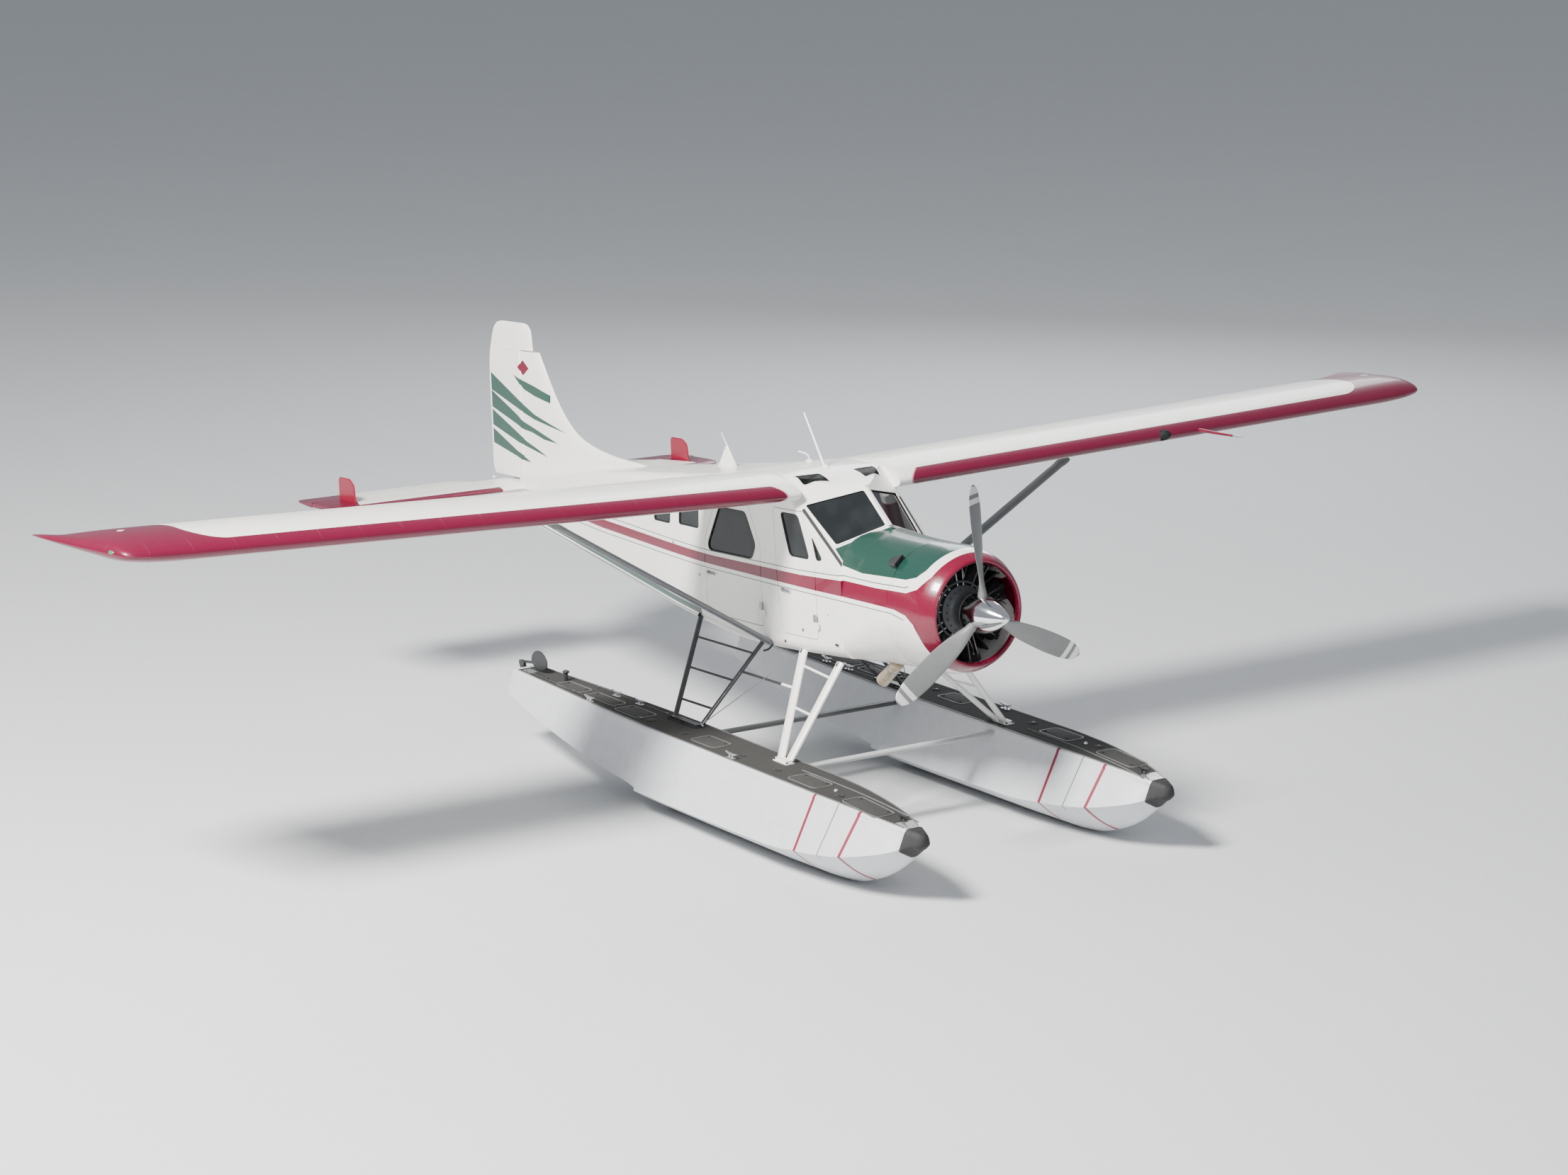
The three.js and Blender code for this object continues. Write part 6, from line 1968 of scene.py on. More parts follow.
@dataclass
class Floats:
    """Both floats, with decks, bumpers, struts, spreaders and water rudders."""

    ridge_pitch: float = 0.055  # of the bow bumpers' ridges
    spreader_z: float = 0.735
    post_y: float = 3.828  # of a water rudder's post
    tiller: tuple[float, float, float] = (0.055, 3.885, 0.690)  # its end beside the post's line
    blade_pivot: tuple[float, float] = (3.890, 0.835)
    # A steering cable's way aft along the deck: how far from the float's middle, and y
    cable: tuple[tuple[float, float], ...] = ((0.117, 3.62), (0.118, 3.60), (0.145, 2.60), (0.150, 1.30))
    cable_z: float = 0.815

    def hull(self) -> Shape:
        """Lofts a hull: a flat keel strip, a hollow V to the chine, sloping sides and a rounded deck edge."""
        y = np.concatenate([np.linspace(-3.030, -1.9, 36), np.linspace(-1.85, 0.920, 24), [0.922],
                            np.linspace(0.98, TRANSOM_Y, 30)])
        keel, chine, wide, deck_half, deck = (c[:, None] for c in smooth_table(FLOAT, y).T)
        s = np.linspace(0, 1, 12)[None, :]
        bottom_x = KEEL_HALF + (wide - KEEL_HALF) * s
        bottom_z = keel + (chine - keel) * (s - 0.10 * np.sin(math.pi * s))
        t = np.linspace(0, 1, 8)[None, 1:]
        wall_x, wall_z = wide + (deck_half - wide) * t, chine + (deck - DECK_ROUND - chine) * t
        a = np.linspace(0, math.pi / 2, 7)[None, 1:]
        edge_x, edge_z = deck_half - DECK_ROUND * (1 - np.cos(a)), deck - DECK_ROUND * (1 - np.sin(a))
        x = np.concatenate([bottom_x, wall_x, edge_x], axis=1)
        z = np.concatenate([bottom_z, wall_z, edge_z], axis=1)
        x, z = np.concatenate([x, -x[:, ::-1]], axis=1), np.concatenate([z, z[:, ::-1]], axis=1)
        return loft(np.stack([x + FLOAT_X, np.broadcast_to(y[:, None], x.shape), z], axis=-1))

    def deck_band(self, y: Array, half: Array, low: float, high: float) -> Shape:
        """Makes a band across the deck that follows it, from one height over it to another."""
        deck = smooth_table(FLOAT, y)[:, 4]
        corners = ((-1, low), (-1, high), (1, high), (1, low))
        return loft(np.stack([np.stack([FLOAT_X + half * k, y, deck + h], axis=1) for k, h in corners], axis=1))

    def deck_strip(self) -> Shape:
        """Makes the black non-skid walkway, 3 mm thick, from the bow to the transom."""
        y = np.concatenate([np.linspace(-2.93, -1.9, 16), np.linspace(-1.8, 3.74, 30)])
        return self.deck_band(y, smooth_table(FLOAT, y)[:, 3] - 0.036, 0.0, 0.003)

    def deck_z(self, y: float) -> float:
        """Gives the deck's height at a place."""
        return float(smooth_table(FLOAT, np.array([y]))[0, 4])

    def bumper(self, side: Side) -> None:
        """Makes the rubber cap round the bow, cut to the hull, with three moulded ridges."""
        y = np.concatenate([[-3.128], np.linspace(-3.120, -2.952, 16)])
        keel, chine, wide, deck_half, deck = smooth_table(BUMPER, y).T
        shrink = np.where(y < -3.122, 0.80, 1.0)
        rings = []
        for k in range(len(y)):
            half = np.array([[KEEL_HALF, keel[k]], [wide[k], chine[k]], [deck_half[k], deck[k] - DECK_ROUND],
                             [deck_half[k] - 0.030, deck[k]]])
            ring = rounded(np.vstack([half, half[::-1] * (-1, 1)]), 0.022, 5)
            middle = ring.mean(axis=0)
            ridge = 1.0 + 0.02 * math.cos(y[k] / self.ridge_pitch * 2 * math.pi) if k else 1.0
            ring = middle + (ring - middle) * shrink[k] * ridge
            rings.append(np.column_stack([ring[:, 0] + FLOAT_X, np.full(len(ring), y[k]), ring[:, 1]]))
        cap = loft(np.stack(rings)).on(side).to_object(f"bow_cap_{side.word}", Frame.STANCE)
        hull = self.hull().on(side).to_object("bow_form", Frame.STANCE)
        settle(carve(cap, hull), RUBBER, "airframe", "bumper_rubber", f"bow_bumper_{side.word}")

    def hatch(self, y0: float, y1: float, u0: float, u1: float) -> tuple[Shape, Shape]:
        """Makes a deck hatch: a light frame and a dark cover with a raised middle.

        Args:
            y0: Forward edge.
            y1: Aft edge.
            u0: Inner edge, from the float's middle.
            u1: Outer edge.

        Returns:
            The frame and the cover.
        """
        x0 = FLOAT_X + u0
        outline = rounded(rect(x0, y0, FLOAT_X + u1, y1), 0.06)
        path = np.column_stack([outline, smooth_table(FLOAT, outline[:, 1])[:, 4] + 0.005])
        frame = sweep(path, rounded(rect(-0.007, -0.005, 0.007, 0.005), 0.003, 3), (0, 0, 1), closed=True)
        ends = self.deck_z(y0), self.deck_z(y1)

        def raised(edge: Array, height: float) -> Array:
            """Sets an outline at a height over a straight line along the deck."""
            return np.column_stack([edge, np.interp(edge[:, 1], (y0, y1), ends) + height])

        inner = inset(outline, 0.016)
        cover = loft(np.stack([raised(inner, 0.001), raised(inner, 0.008), raised(inset(inner, 0.012), 0.012)]))
        for y in (y0 + 0.06, y1 - 0.06):
            cover.join(rod((x0 + 0.05, y, self.deck_z(y) + 0.006), (x0 + 0.05, y, self.deck_z(y) + 0.019), 0.014))
        return frame, cover

    def cleat(self, u: float, y: float) -> Shape:
        """Makes a mooring cleat: two stems on a foot and a horned bar."""
        x, z = FLOAT_X + u, self.deck_z(y)
        horns = ((-0.085, 0.052), (-0.045, 0.042), (0, 0.040), (0.045, 0.042), (0.085, 0.052))
        bar = through([[x, y + along, z + up] for along, up in horns], 4)
        size = np.interp(np.arange(len(bar)), (0, len(bar) / 2, len(bar)), (0.008, 0.013, 0.008))
        whole = sweep(bar, circle(12), (1, 0, 0), scale=size)
        whole.join(plate(rounded(rect(x - 0.024, y - 0.055, x + 0.024, y + 0.055), 0.015), z + 0.001, z + 0.007))
        for step in (-0.026, 0.026):
            whole.join(rod((x, y + step, z + 0.004), (x, y + step, z + 0.042), 0.0105, 14))
        return whole

    def deck_fittings(self, side: Side) -> None:
        """Makes one deck's hatches, inspection caps, cleats, post, edge rails, pipe, bow and stern plates."""
        frames, covers, bright, dark = Shape(), Shape(), Shape(), Shape()
        for y0, y1 in ((-1.655, -1.215), (-2.610, -2.080), (0.020, 0.420), (1.345, 1.800), (1.890, 2.430),
                       (2.530, 2.990)):
            inner, outer = (-0.055, 0.175) if y1 < 2.2 else (-0.045, 0.130)
            for whole, part in zip((frames, covers), self.hatch(y0, y1, inner, outer)):
                whole.join(part)
        for y in (-1.95, -0.95, -0.35, 0.62, 1.22, 3.25):
            z = self.deck_z(y)
            covers.join(rod((FLOAT_X + 0.10, y, z), (FLOAT_X + 0.10, y, z + 0.010), 0.045, 32))
            dark.join(rod((FLOAT_X + 0.10, y, z), (FLOAT_X + 0.10, y, z + 0.016), 0.014, 16))
        bright.join(ball((FLOAT_X + 0.046, -1.823, 0.800), (0.022, 0.022, 0.020), 10))
        for u, y in ((0.205, 2.20), (-0.125, 2.22), (-0.135, 1.81), (0.215, -0.36)):
            bright.join(self.cleat(u, y))
        dark.join(self.cleat(-0.02, -2.76))
        z = self.deck_z(3.04)
        dark.join(rod((FLOAT_X - 0.03, 3.04, z), (FLOAT_X - 0.03, 3.04, z + 0.085), 0.020, 20))
        dark.join(ball((FLOAT_X - 0.03, 3.04, z + 0.095), (0.036, 0.036, 0.020), 12))
        for sign in (-1, 1):
            y = np.linspace(-2.90, 3.72, 70)
            half = smooth_table(FLOAT, y)[:, 3] - 0.030
            z = smooth_table(FLOAT, y)[:, 4] + 0.004
            rail = np.column_stack([FLOAT_X + sign * half, y, z])
            frames.join(sweep(rail, circle(8) * (0.0045, 0.0075), (1, 0, 0)))
        y = np.linspace(-2.86, -1.10, 24)
        x, z = FLOAT_X - 0.085 + 0.030 * (y + 1.10) / 1.76, smooth_table(FLOAT, y)[:, 4] + 0.006
        frames.join(sweep(np.column_stack([x, y, z]), circle(8) * 0.007, (1, 0, 0)))
        y = np.linspace(-2.975, -2.800, 8)
        bright.join(self.deck_band(y, smooth_table(FLOAT, y)[:, 3] * 0.66, 0.001, 0.009))
        stern = np.array([[0.02, 3.50], [0.12, 3.50], [0.11, 3.68], [0.03, 3.68]]) + (FLOAT_X, 0)
        bright.join(plate(rounded(stern, 0.04), self.deck_z(3.6) + 0.001, self.deck_z(3.6) + 0.008))
        for shape, name, finish, slot in ((frames, "deck_frames", RIM_GREY, "grey_paint"),
                                          (covers, "deck_covers", COVER, "black_paint"),
                                          (bright, "deck_cleats", BRIGHT, "grey_paint"),
                                          (dark, "deck_knobs", BLACK, "black_paint")):
            body = shape.on(side).to_object(f"{name}_{side.word}", Frame.STANCE)
            settle(body, finish, "airframe", slot)

    def clevis(self, at: Array, along: Array, size: float) -> Shape:
        """Makes a strut's end fitting: two lugs and a bolt across them."""
        along = along / np.linalg.norm(along)
        end = at + along * size
        whole = rod(at - along * 0.01, end, 0.020, 14)
        for x in (-0.022, 0.022):
            whole.join(rod(at + (x, 0, 0), at + along * size * 0.8 + (x, 0, 0), 0.012, 12))
        return whole.join(rod(at + (-0.038, 0, 0), at + (0.038, 0, 0), 0.009, 12))

    def struts(self, side: Side) -> None:
        """Makes the front and rear strut frames with rungs, feet, bolts and bracing wires."""
        # Ends of the middle lines, at the fuselage and at the deck: the front frame's fore and aft strut
        tops = in_stance([(0.545, -0.640, -1.400), (0.545, 0.080, -1.490)])
        feet = np.array([[1.285, -0.800, 0.780], [1.285, -0.690, 0.780]])
        # and the rear frame's aft and fore one
        rear_tops = in_stance([(0.540, 1.850, -1.340), (0.530, 0.770, -1.490)])
        rear_feet = np.array([[1.275, 1.160, 0.780], [1.250, 0.765, 0.780]])

        def at(top: Array, foot: Array, z: float) -> Array:
            """Gives the point of a strut at a height."""
            return foot + (top - foot) * (z - foot[2]) / (top[2] - foot[2])

        ends = [at(tops[0], feet[0], 1.655), at(tops[1], feet[1], 1.632)]
        front, dark, wires = Shape(), Shape(), Shape()
        for end, foot in zip(ends, feet):
            front.join(leg(end, foot, 0.105, 0.046))
            dark.join(self.clevis(end - (end - foot) * 0.02, end - foot, 0.035))
        for z in (1.516, 1.200):
            front.join(rod(at(tops[0], feet[0], z), at(tops[1], feet[1], z), 0.013, 16))
        # The bar between the frames is white for its first quarter and black beyond; the black is painted shade on
        # a white bar.
        bar_front, bar_rear = at(tops[1], feet[1], 1.332), at(rear_tops[1], rear_feet[1], 1.300)
        middle = bar_front + (bar_rear - bar_front) * 0.24
        front.join(rod(bar_front, middle, 0.014, 16))
        shoe = rounded(rect(1.230, -0.870, 1.340, -0.630), 0.03)
        front.join(plate(shoe, 0.8005, 0.814), plate(inset(shoe, 0.022), 0.813, 0.834))
        rear = rod(middle, bar_rear, 0.0135, 16)
        rear_ends = [at(rear_tops[0], rear_feet[0], 1.650), at(rear_tops[1], rear_feet[1], 1.600)]
        for end, foot, chord in zip(rear_ends, rear_feet, (0.070, 0.060)):
            rear.join(leg(end, foot, chord, 0.032))
            dark.join(self.clevis(end - (end - foot) * 0.02, end - foot, 0.030))
        for z in (1.460, 1.215, 0.960):
            rear.join(rod(at(rear_tops[0], rear_feet[0], z), at(rear_tops[1], rear_feet[1], z), 0.012, 16))
        heel = rounded(rect(1.205, 0.710, 1.325, 1.215), 0.03)
        rear.join(plate(heel, 0.8005, 0.812), plate(inset(heel, 0.024), 0.811, 0.830))
        for x, y in ((1.248, -0.852), (1.322, -0.852), (1.248, -0.648), (1.322, -0.648), (1.250, -0.750)):
            dark.join(rod((x, y, 0.812), (x, y, 0.824), 0.011, 6))
        for y in (0.728, 1.198, 0.960):
            for x in (1.222, 1.308):
                dark.join(rod((x, y, 0.810), (x, y, 0.821), 0.011, 6))
        wires.join(rod((1.225, 0.735, 0.830), at(tops[1], feet[1], 1.610) + (0, 0.030, 0), 0.005, 10))
        wires.join(rod((1.240, 0.690, 0.815), (1.240, 0.735, 0.835), 0.011, 10))
        for name, shape, finish, slot, stands in (
            ("front_frame", front, PLAIN_WHITE, "white_paint", (f"front_strut_{side.word}",)),
            ("rear_frame", rear, REAR_BLACK, "panel_black", (f"rear_strut_{side.word}",)),
            ("strut_bolts", dark, TRIM_BLACK, "panel_black", ()),
            ("brace_wires", wires, STEEL, "grey_paint", ()),
        ):
            settle(shape.on(side).to_object(f"{name}_{side.word}", Frame.STANCE), finish, "airframe", slot, *stands)

    def spreader(self, name: str, y: float, finish: Finish) -> None:
        """Makes a spreader bar between the hulls, its faired section flat, with a collar at each end."""
        section = teardrop(0.110, 0.046)

        def stretch(x: Array, size: float) -> Shape:
            """Makes the bar's section, times a size, over some places along x."""
            line = np.column_stack([x, np.full(len(x), y), np.full(len(x), self.spreader_z)])
            return sweep(line, section * size, (0, 1, 0))

        bar = stretch(np.linspace(-1.150, 1.150, 16), 1.0)
        for sign in (-1, 1):
            bar.join(stretch(sign * np.linspace(1.080, 1.128, 4), 1.14))
            foot = rounded(rect(y - 0.075, 0.700, y + 0.075, 0.770), 0.02)
            bar.join(prism(foot, *sorted((sign * 1.118, sign * 1.140))))
        settle(bar.to_object(f"{name}_bar", Frame.STANCE), finish, "airframe", "float_paint", name)

    def water_rudder(self, side: Side) -> None:
        """Makes the steering post with its cheeks and tiller, the leaf-shaped blade, and their cables."""
        x, (pivot_y, pivot_z) = FLOAT_X, self.blade_pivot
        post = rod((x, self.post_y, 0.560), (x, self.post_y, 0.800), 0.0272, 28)
        for offset in (0.0083, -0.0160):
            cheek = rounded([[3.812, 0.720], [3.850, 0.720], [3.908, 0.815], [3.908, 0.853], [3.812, 0.853]], 0.012)
            post.join(prism(cheek, x + offset, x + offset + 0.0077))
        post.join(box((x - 0.016, 3.812, 0.780), (x + 0.016, 3.850, 0.800)))
        out, end_y, end_z = self.tiller
        for sign in (-1, 1):
            end = (x + sign * out, end_y, end_z)
            post.join(rod((x, self.post_y, end_z), end, 0.008, 12), ball(end, (0.013, 0.013, 0.010), 8))
        rides = f"water_rudder_post_{side.word}"
        body = post.on(side).to_object(f"rudder_post_{side.word}", Frame.STANCE)
        settle(body, BLACK, rides, "panel_black", rides)
        angle = np.linspace(0, 2 * math.pi, 48, endpoint=False)
        half = 0.158 * (1 - 0.12 * np.sin(angle))
        leaf = np.column_stack([3.515 + half * np.cos(angle), 0.916 + 0.102 * np.sin(angle)])
        blade = wafer(leaf, x, 0.007, 0.003, 0.006)
        arm = np.array([[x, pivot_y, pivot_z], [x, 3.740, 0.858], [x, 3.600, 0.880]])
        blade.join(sweep(arm, circle(16) * (0.015, 0.0075), (1, 0, 0)))
        blade.join(rod((x - 0.008, pivot_y, pivot_z), (x + 0.008, pivot_y, pivot_z), 0.017, 24))
        blade.join(rod((x - 0.009, 3.560, 0.885), (x + 0.009, 3.560, 0.885), 0.010, 12))
        rides = f"water_rudder_blade_{side.word}"
        body = blade.on(side).to_object(f"rudder_leaf_{side.word}", Frame.STANCE)
        settle(body, BLACK, rides, "panel_black", rides)
        cables = Shape()
        for sign in (-1, 1):
            path = np.array([[x + sign * out, y, self.cable_z] for out, y in self.cable])
            cables.join(sweep(path, circle(6) * 0.0022, (1, 0, 0)))
            for y in (3.60, 2.60, 1.32):
                middle = x + sign * np.interp(y, (1.30, 2.60, 3.60), (0.150, 0.145, 0.118))
                cables.join(box((middle - 0.008, y - 0.012, self.deck_z(y)), (middle + 0.008, y + 0.012, 0.820)))
        body = cables.on(side).to_object(f"rudder_cables_{side.word}", Frame.STANCE)
        settle(body, STEEL, "airframe", "grey_paint")

    def build(self) -> None:
        """Makes each side's float and the gear between and on them."""
        for side in Side:
            hull = self.hull().on(side).to_object(f"hull_{side.word}", Frame.STANCE, 24)
            settle(hull, HULL, "airframe", "float_paint", f"float_{side.word}")
            strip = self.deck_strip().on(side).to_object(f"deck_walk_{side.word}", Frame.STANCE)
            settle(strip, NON_SKID, "airframe", "black_paint")
            self.bumper(side)
            self.deck_fittings(side)
            self.struts(side)
            self.water_rudder(side)
        self.spreader("front_spreader", -0.790, SPREADER_GREY)
        # The rear bar takes the dark grey, which is painted shade.
        self.spreader("rear_spreader", 0.680, SPREADER_SHADE)


# Cabin


@dataclass
class Seat:
    """One seat with a tubular frame, two filled cushions and piping."""

    name: str
    x: float
    y: float  # front edge
    half: float  # half the width
    depth: float
    height: float
    channels: int

    base: ClassVar[float] = FLOOR_Z + MEET
    pan_z: ClassVar[float] = 0.268  # the frame's side tubes over the floor
    most_swell: ClassVar[float] = 0.022  # how far the stuffing may move a point
    frames: ClassVar[int] = 20  # of the cloth simulation

    def cushion(self, name: str, centre: Array, size: Array, lean: float) -> Body:
        """Makes one upholstered cushion, filled out by a cloth simulation.

        It starts as a rounded slab a little smaller than its size. Its surface is remeshed, blown up by a
        light pressure, held to most_swell of movement, and then smoothed once.

        Args:
            name: The object's name.
            centre: Its middle in the datum frame.
            size: Its width, depth and thickness.
            lean: How far its back edge is turned up, in radians.

        Returns:
            The cushion.
        """
        half = size / 2 - 0.018
        outline = rounded(rect(-half[0], -half[1], half[0], half[1]), 0.06)
        # Share of half the thickness, and how far the outline lies in there
        levels = ((-1, 0.026), (-0.72, 0.006), (0, 0.0), (0.72, 0.006), (1, 0.026))

        def tilt(points: Array) -> Array:
            """Turns points about x by the lean and moves them into place."""
            x, y, z = points.T
            sine, cosine = math.sin(lean), math.cos(lean)
            return np.stack([x, y * cosine - z * sine, y * sine + z * cosine], axis=1) + centre

        slab = layers(2, *((half[2] * share, inset(outline, cut)) for share, cut in levels))
        body = slab.changed(tilt).to_object(name)
        mesh = body.modifiers.new("even", "REMESH")
        mesh.mode, mesh.voxel_size = "VOXEL", 0.012
        apply_modifiers(body)
        self.inflate(body)
        subdivide = body.modifiers.new("round", "SUBSURF")
        subdivide.levels = subdivide.render_levels = 1
        apply_modifiers(body)
        shade(body, 60)
        return body

    def inflate(self, body: Body) -> None:
        """Blows the cushion up by a cloth simulation, and holds each point to most_swell of movement."""
        start = np.empty(len(body.data.vertices) * 3, np.float32)
        body.data.vertices.foreach_get("co", start)
        cloth = body.modifiers.new("stuffing", "CLOTH")
        settings = cloth.settings
        settings.quality, settings.mass, settings.tension_stiffness = 6, 0.3, 12
        settings.bending_stiffness = 3
        settings.use_pressure, settings.uniform_pressure_force = True, 4.0
        settings.effector_weights.gravity = 0
        for frame in range(1, self.frames + 1):
            bpy.context.scene.frame_set(frame)
        apply_modifiers(body)
        bpy.context.scene.frame_set(1)
        moved = np.empty(len(start), np.float32)
        body.data.vertices.foreach_get("co", moved)
        step = (moved - start).reshape(-1, 3)
        length = np.linalg.norm(step, axis=1, keepdims=True)
        step *= np.minimum(1.0, self.most_swell / np.maximum(length, 1e-6))
        body.data.vertices.foreach_set("co", (start.reshape(-1, 3) + step).ravel())
        body.data.update()

    def build(self) -> None:
        """Makes the seat's frame, its two cushions and the piping round them."""
        middle, back, level = self.y + self.depth / 2, self.y + self.depth, self.base
        tall = self.height - 0.350
        upright = math.pi / 2 - math.atan2(0.080, self.height - 0.330)
        for name, centre, size, lean in (
            ("cushion", (self.x, middle, level + 0.335), (2 * self.half, self.depth, 0.120), 0.0),
            ("backrest", (self.x, back + 0.010 + 0.042, level + 0.340 + tall / 2), (2 * self.half, tall, 0.105),
             upright),
        ):
            soft = self.cushion(f"{self.name}_{name}", np.array(centre), np.array(size), lean)
            settle(soft, SEAT, "airframe", "seat_cloth", self.name)
        self.make_frame(back, level)
        piping = Shape()
        for sign in (-1, 1):
            edge = self.half - 0.012
            line = through([[self.x + sign * edge, self.y + 0.030, level + 0.364],
                            [self.x + sign * (edge + 0.003), middle, level + 0.372],
                            [self.x + sign * edge, back - 0.030, level + 0.364]], 8)
            piping.join(sweep(line, circle(8) * 0.0042, (1, 0, 0)))
        for k in range(1, self.channels):
            x = self.x - self.half + 2 * self.half * k / self.channels
            line = through([[x, self.y + 0.035, level + 0.380], [x, middle, level + 0.391],
                            [x, back - 0.035, level + 0.380]], 8)
            piping.join(sweep(line, circle(8) * 0.0030, (1, 0, 0)))
        settle(piping.to_object(f"{self.name}_piping"), SEAT_PIPING, "airframe", "seat_cloth")

    def make_frame(self, back: float, level: float) -> None:
        """Makes the tubular frame with its runners and seat pan.

        Args:
            back: The seat's rear edge.
            level: The height of the floor.
        """
        frame = Shape()
        inner, pan = self.half - 0.045, level + self.pan_z
        for x in (self.x - inner, self.x + inner):
            for y in (self.y + 0.080, back - 0.060):
                frame.join(rod((x, y, level), (x, y, level + 0.275), 0.014))
            frame.join(rod((x, self.y + 0.050, pan), (x, back - 0.030, pan), 0.015))
            frame.join(box((x - 0.020, self.y + 0.030, level), (x + 0.020, back - 0.030, level + 0.014)))
            frame.join(tube([[x, back - 0.040, pan], [x, back + 0.060, level + 0.420],
                             [x, back + 0.078, level + self.height - 0.10]], 0.012))
        for y in (self.y + 0.070, back - 0.060):
            frame.join(rod((self.x - inner, y, pan), (self.x + inner, y, pan), 0.012))
        half = self.half - 0.010
        seat_pan = rounded(rect(self.x - half, self.y + 0.012, self.x + half, back - 0.012), 0.05)
        frame.join(plate(seat_pan, level + 0.270, level + 0.279))
        settle(frame.to_object(f"{self.name}_frame"), SEAT_FRAME, "airframe", "panel_black", self.name)


@dataclass
class CabinFittings:
    """The seats, and the instrument panel with its yokes, levers and pedals."""

    def seats(self) -> None:
        """Makes the two front seats and the rear bench."""
        Seat("front_seat_left", 0.290, 0.060, 0.210, 0.460, 0.950, 4).build()
        Seat("front_seat_right", -0.290, 0.060, 0.210, 0.460, 0.950, 4).build()
        Seat("rear_seat", 0.0, 1.150, 0.500, 0.480, 0.880, 9).build()

    def panel(self) -> None:
        """Makes the instrument board with its dials, glare shield, levers and both control wheels."""
        nose, cabin = Fuselage().solids(SIDE_WALL + 0.001)
        room = carve(nose, cabin, how=Cut.ADD)
        shield = [[-0.620, -0.430], [-0.400, -0.400], [-0.385, -0.345], [-0.440, -0.326], [-0.620, -0.400]]
        hood = prism(rounded(shield, 0.03), -0.70, 0.70).to_object("glare_shield")
        carve(hood, copy_of(room, "room_again"), how=Cut.KEEP)
        settle(hood, PANEL_PAINT, "airframe", "panel_black")
        board = box((-0.70, -0.470, -0.760), (0.70, -0.420, -0.330)).to_object("instrument_board")
        carve(board, room, how=Cut.KEEP)
        settle(board, PANEL_PAINT, "airframe", "panel_black", "instrument_panel")
        dials, glass, knobs, controls = Shape(), Shape(), Shape(), Shape()
        rows = {-0.450: (0.06, 0.18), -0.565: (0.06, 0.18, 0.30, 0.42), -0.680: (0.18, 0.42)}
        for x, z in [(sign * x, z) for z, row in rows.items() for x in row for sign in (-1, 1)]:
            bezel = np.array([[0.040, -0.4215], [0.050, -0.4215], [0.050, -0.4120], [0.046, -0.4085],
                              [0.040, -0.4110], [0.040, -0.4215]])
            dials.join(turned(bezel, 28, (x, 0, z), closed=True))
            glass.join(turned(rect(0.002, -0.4205, 0.041, -0.4150), 28, (x, 0, z)))
        for x, r in ((-0.105, 0.011), (-0.035, 0.011), (0.035, 0.011), (0.105, 0.013)):
            knobs.join(rod((x, -0.424, -0.690), (x, -0.350, -0.690), 0.006, 12))
            knobs.join(ball((x, -0.345, -0.690), (r, 0.015, r), 10))
        controls.join(rod((0, -0.440, -0.800), (0, -0.160, -0.760), 0.020, 24))
        controls.join(rod((-0.280, -0.150, -0.760), (0.280, -0.150, -0.760), 0.014, 20))
        grips = Shape()
        for x in (-0.280, 0.280):
            wheel = [[x - 0.125, -0.150, -0.660], [x - 0.130, -0.150, -0.735], [x - 0.075, -0.150, -0.772],
                     [x, -0.150, -0.766], [x + 0.075, -0.150, -0.772], [x + 0.130, -0.150, -0.735],
                     [x + 0.125, -0.150, -0.660]]
            grips.join(sweep(through(wheel, 8), circle(12) * 0.0125, (0, 1, 0)))
            grips.join(rod((x, -0.160, -0.760), (x, -0.138, -0.760), 0.034, 24))
            for pedal in (x - 0.075, x + 0.075):
                tread = rounded([[pedal - 0.045, -1.365], [pedal + 0.045, -1.365], [pedal + 0.040, -1.255],
                                 [pedal - 0.040, -1.255]], 0.02)
                controls.join(layers(1, (-0.562, tread), (-0.548, tread)))
                controls.join(rod((pedal, -0.555, -1.440), (pedal, -0.555, -1.300), 0.009, 12))
        for shape, name, finish, slot in ((dials, "dial_bezels", TRIM_BLACK, "panel_black"),
                                          (glass, "dial_faces", DIAL_FACE, "panel_black"),
                                          (knobs, "engine_levers", RED_ENAMEL, "red_paint"),
                                          (controls, "control_column", SEAT_FRAME, "panel_black"),
                                          (grips, "control_wheels", LEATHER, "panel_black")):
            settle(shape.to_object(name), finish, "airframe", slot)

    def build(self) -> None:
        """Makes the cabin's inside."""
        self.seats()
        self.panel()


# Studio


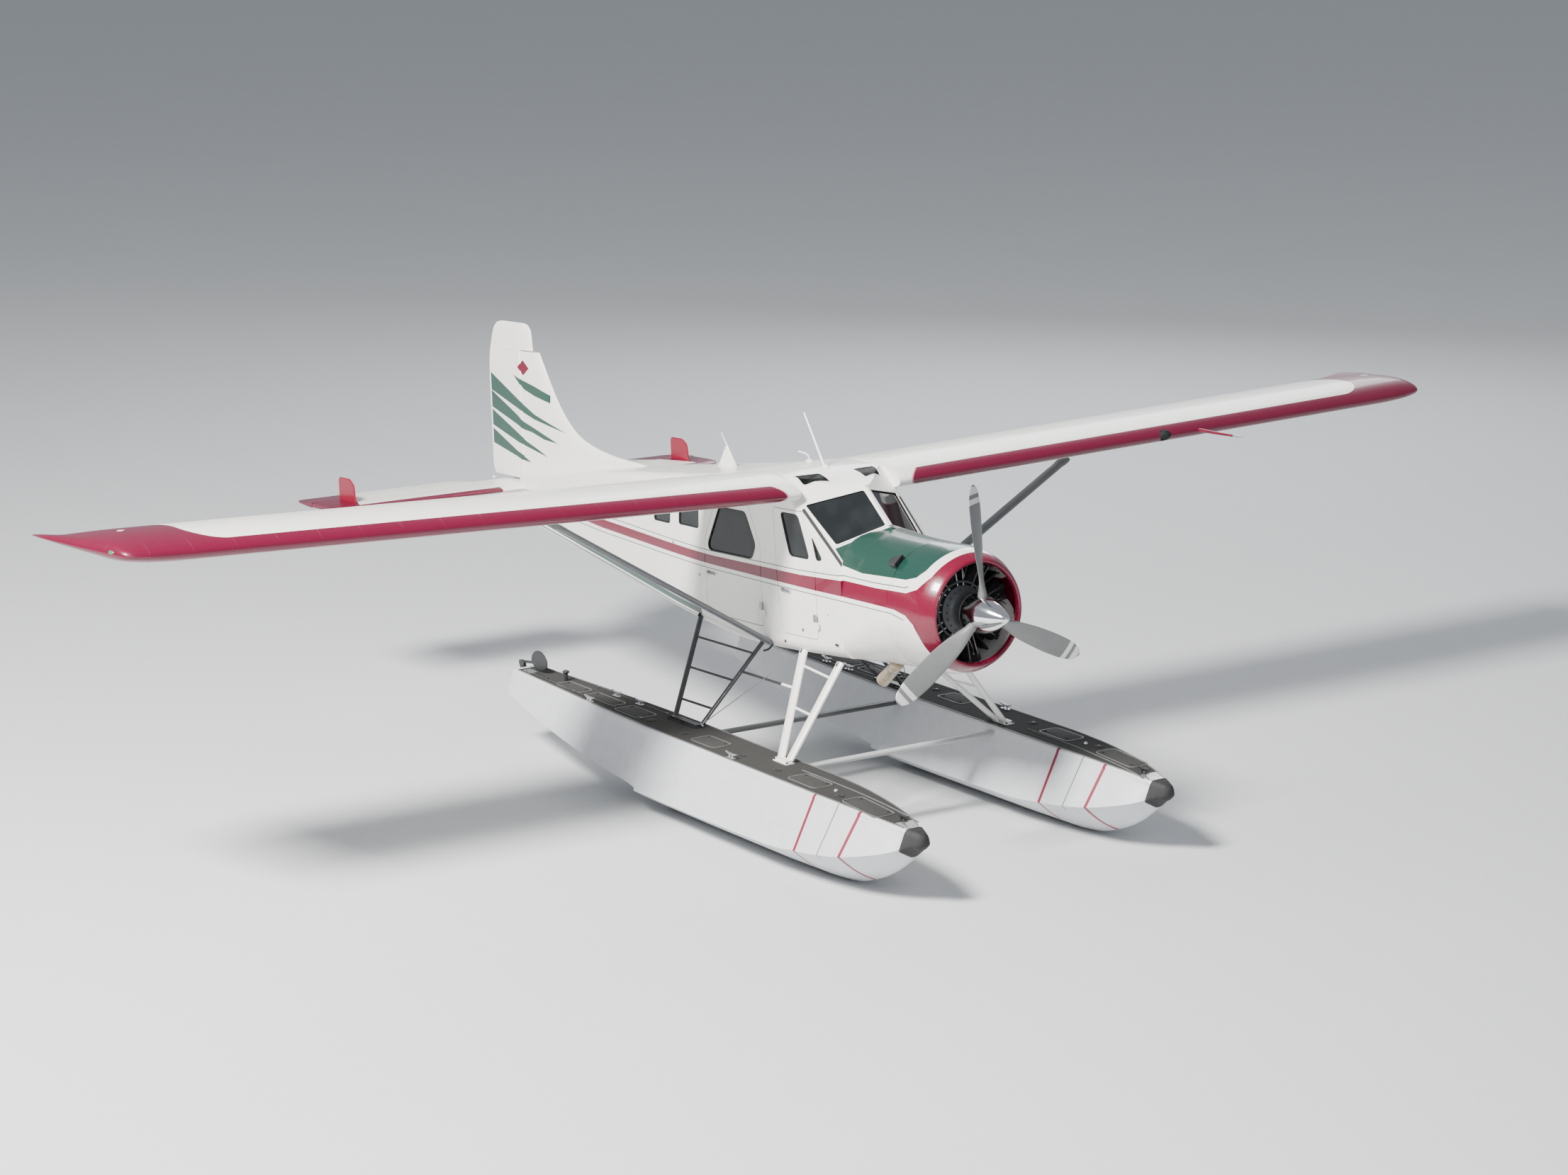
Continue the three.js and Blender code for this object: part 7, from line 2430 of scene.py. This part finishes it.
@dataclass
class Studio:
    """Floor, lights and the camera at the photograph's viewing angle."""

    camera_at: tuple[float, float, float] = (-19.775, -29.789, 9.894)
    aim: tuple[float, float, float] = (0.0, -0.772, 1.95)
    lens: float = 84.0
    floor_size: float = 240.0
    sky: tuple[float, float, float, float] = (0.80, 0.86, 0.94, 1.0)
    sky_strength: float = 0.42

    def lamp(self, name: str, at: Sequence[float], size: float, power: float, colour: Colour) -> None:
        """Hangs a square soft light that looks at the aeroplane."""
        light = bpy.data.lights.new(name, "AREA")
        light.shape, light.size, light.energy, light.color = "SQUARE", size, power, colour
        body = bpy.data.objects.new(name, light)
        body.location = at
        body.rotation_euler = (Vector(self.aim) - Vector(at)).to_track_quat("-Z", "Y").to_euler()
        bpy.context.scene.collection.objects.link(body)

    def build(self) -> None:
        """Sets up the floor, the sky light, three soft lights and the camera."""
        bpy.ops.mesh.primitive_plane_add(size=self.floor_size, location=(0, 0, 0))
        floor = bpy.context.object
        floor.name = "floor"
        floor.data.materials.append(FLOOR.material())
        self.lamp("key", (-20.0, -6.0, 22.0), 6.0, 25000, (1.0, 0.975, 0.94))
        self.lamp("fill", (-14.0, -30.0, 14.0), 16.0, 2000, (0.93, 0.96, 1.0))
        self.lamp("rim", (18.0, 16.0, 14.0), 12.0, 2200, (0.95, 0.97, 1.0))
        world = bpy.data.worlds.new("studio")
        bpy.context.scene.world = world
        world.use_nodes = True
        background = world.node_tree.nodes["Background"].inputs
        background["Color"].default_value, background["Strength"].default_value = self.sky, self.sky_strength
        camera = bpy.data.objects.new("camera", bpy.data.cameras.new("camera"))
        camera.data.lens, camera.data.sensor_width = self.lens, 36.0
        camera.data.clip_end = 400.0
        camera.location = self.camera_at
        camera.rotation_euler = (Vector(self.aim) - Vector(self.camera_at)).to_track_quat("-Z", "Y").to_euler()
        bpy.context.scene.collection.objects.link(camera)
        bpy.context.scene.camera = camera


def corners(box_: Iterable[Sequence[float]]) -> list[list[float]]:
    """Gives a box's two corners as plain lists of numbers."""
    return [[float(v) for v in corner] for corner in box_]


def main() -> None:
    """Loads the frame, builds each sub-assembly in order and reports it."""
    logging.basicConfig(level=logging.INFO, format="%(message)s")
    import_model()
    for part in (Fuselage(), CabinFittings(), Powerplant(), Wings(), Tail(), Floats()):
        part.build()
        LOG.info("%s is built", type(part).__name__)
    Studio().build()


if __name__ == "__main__":
    main()
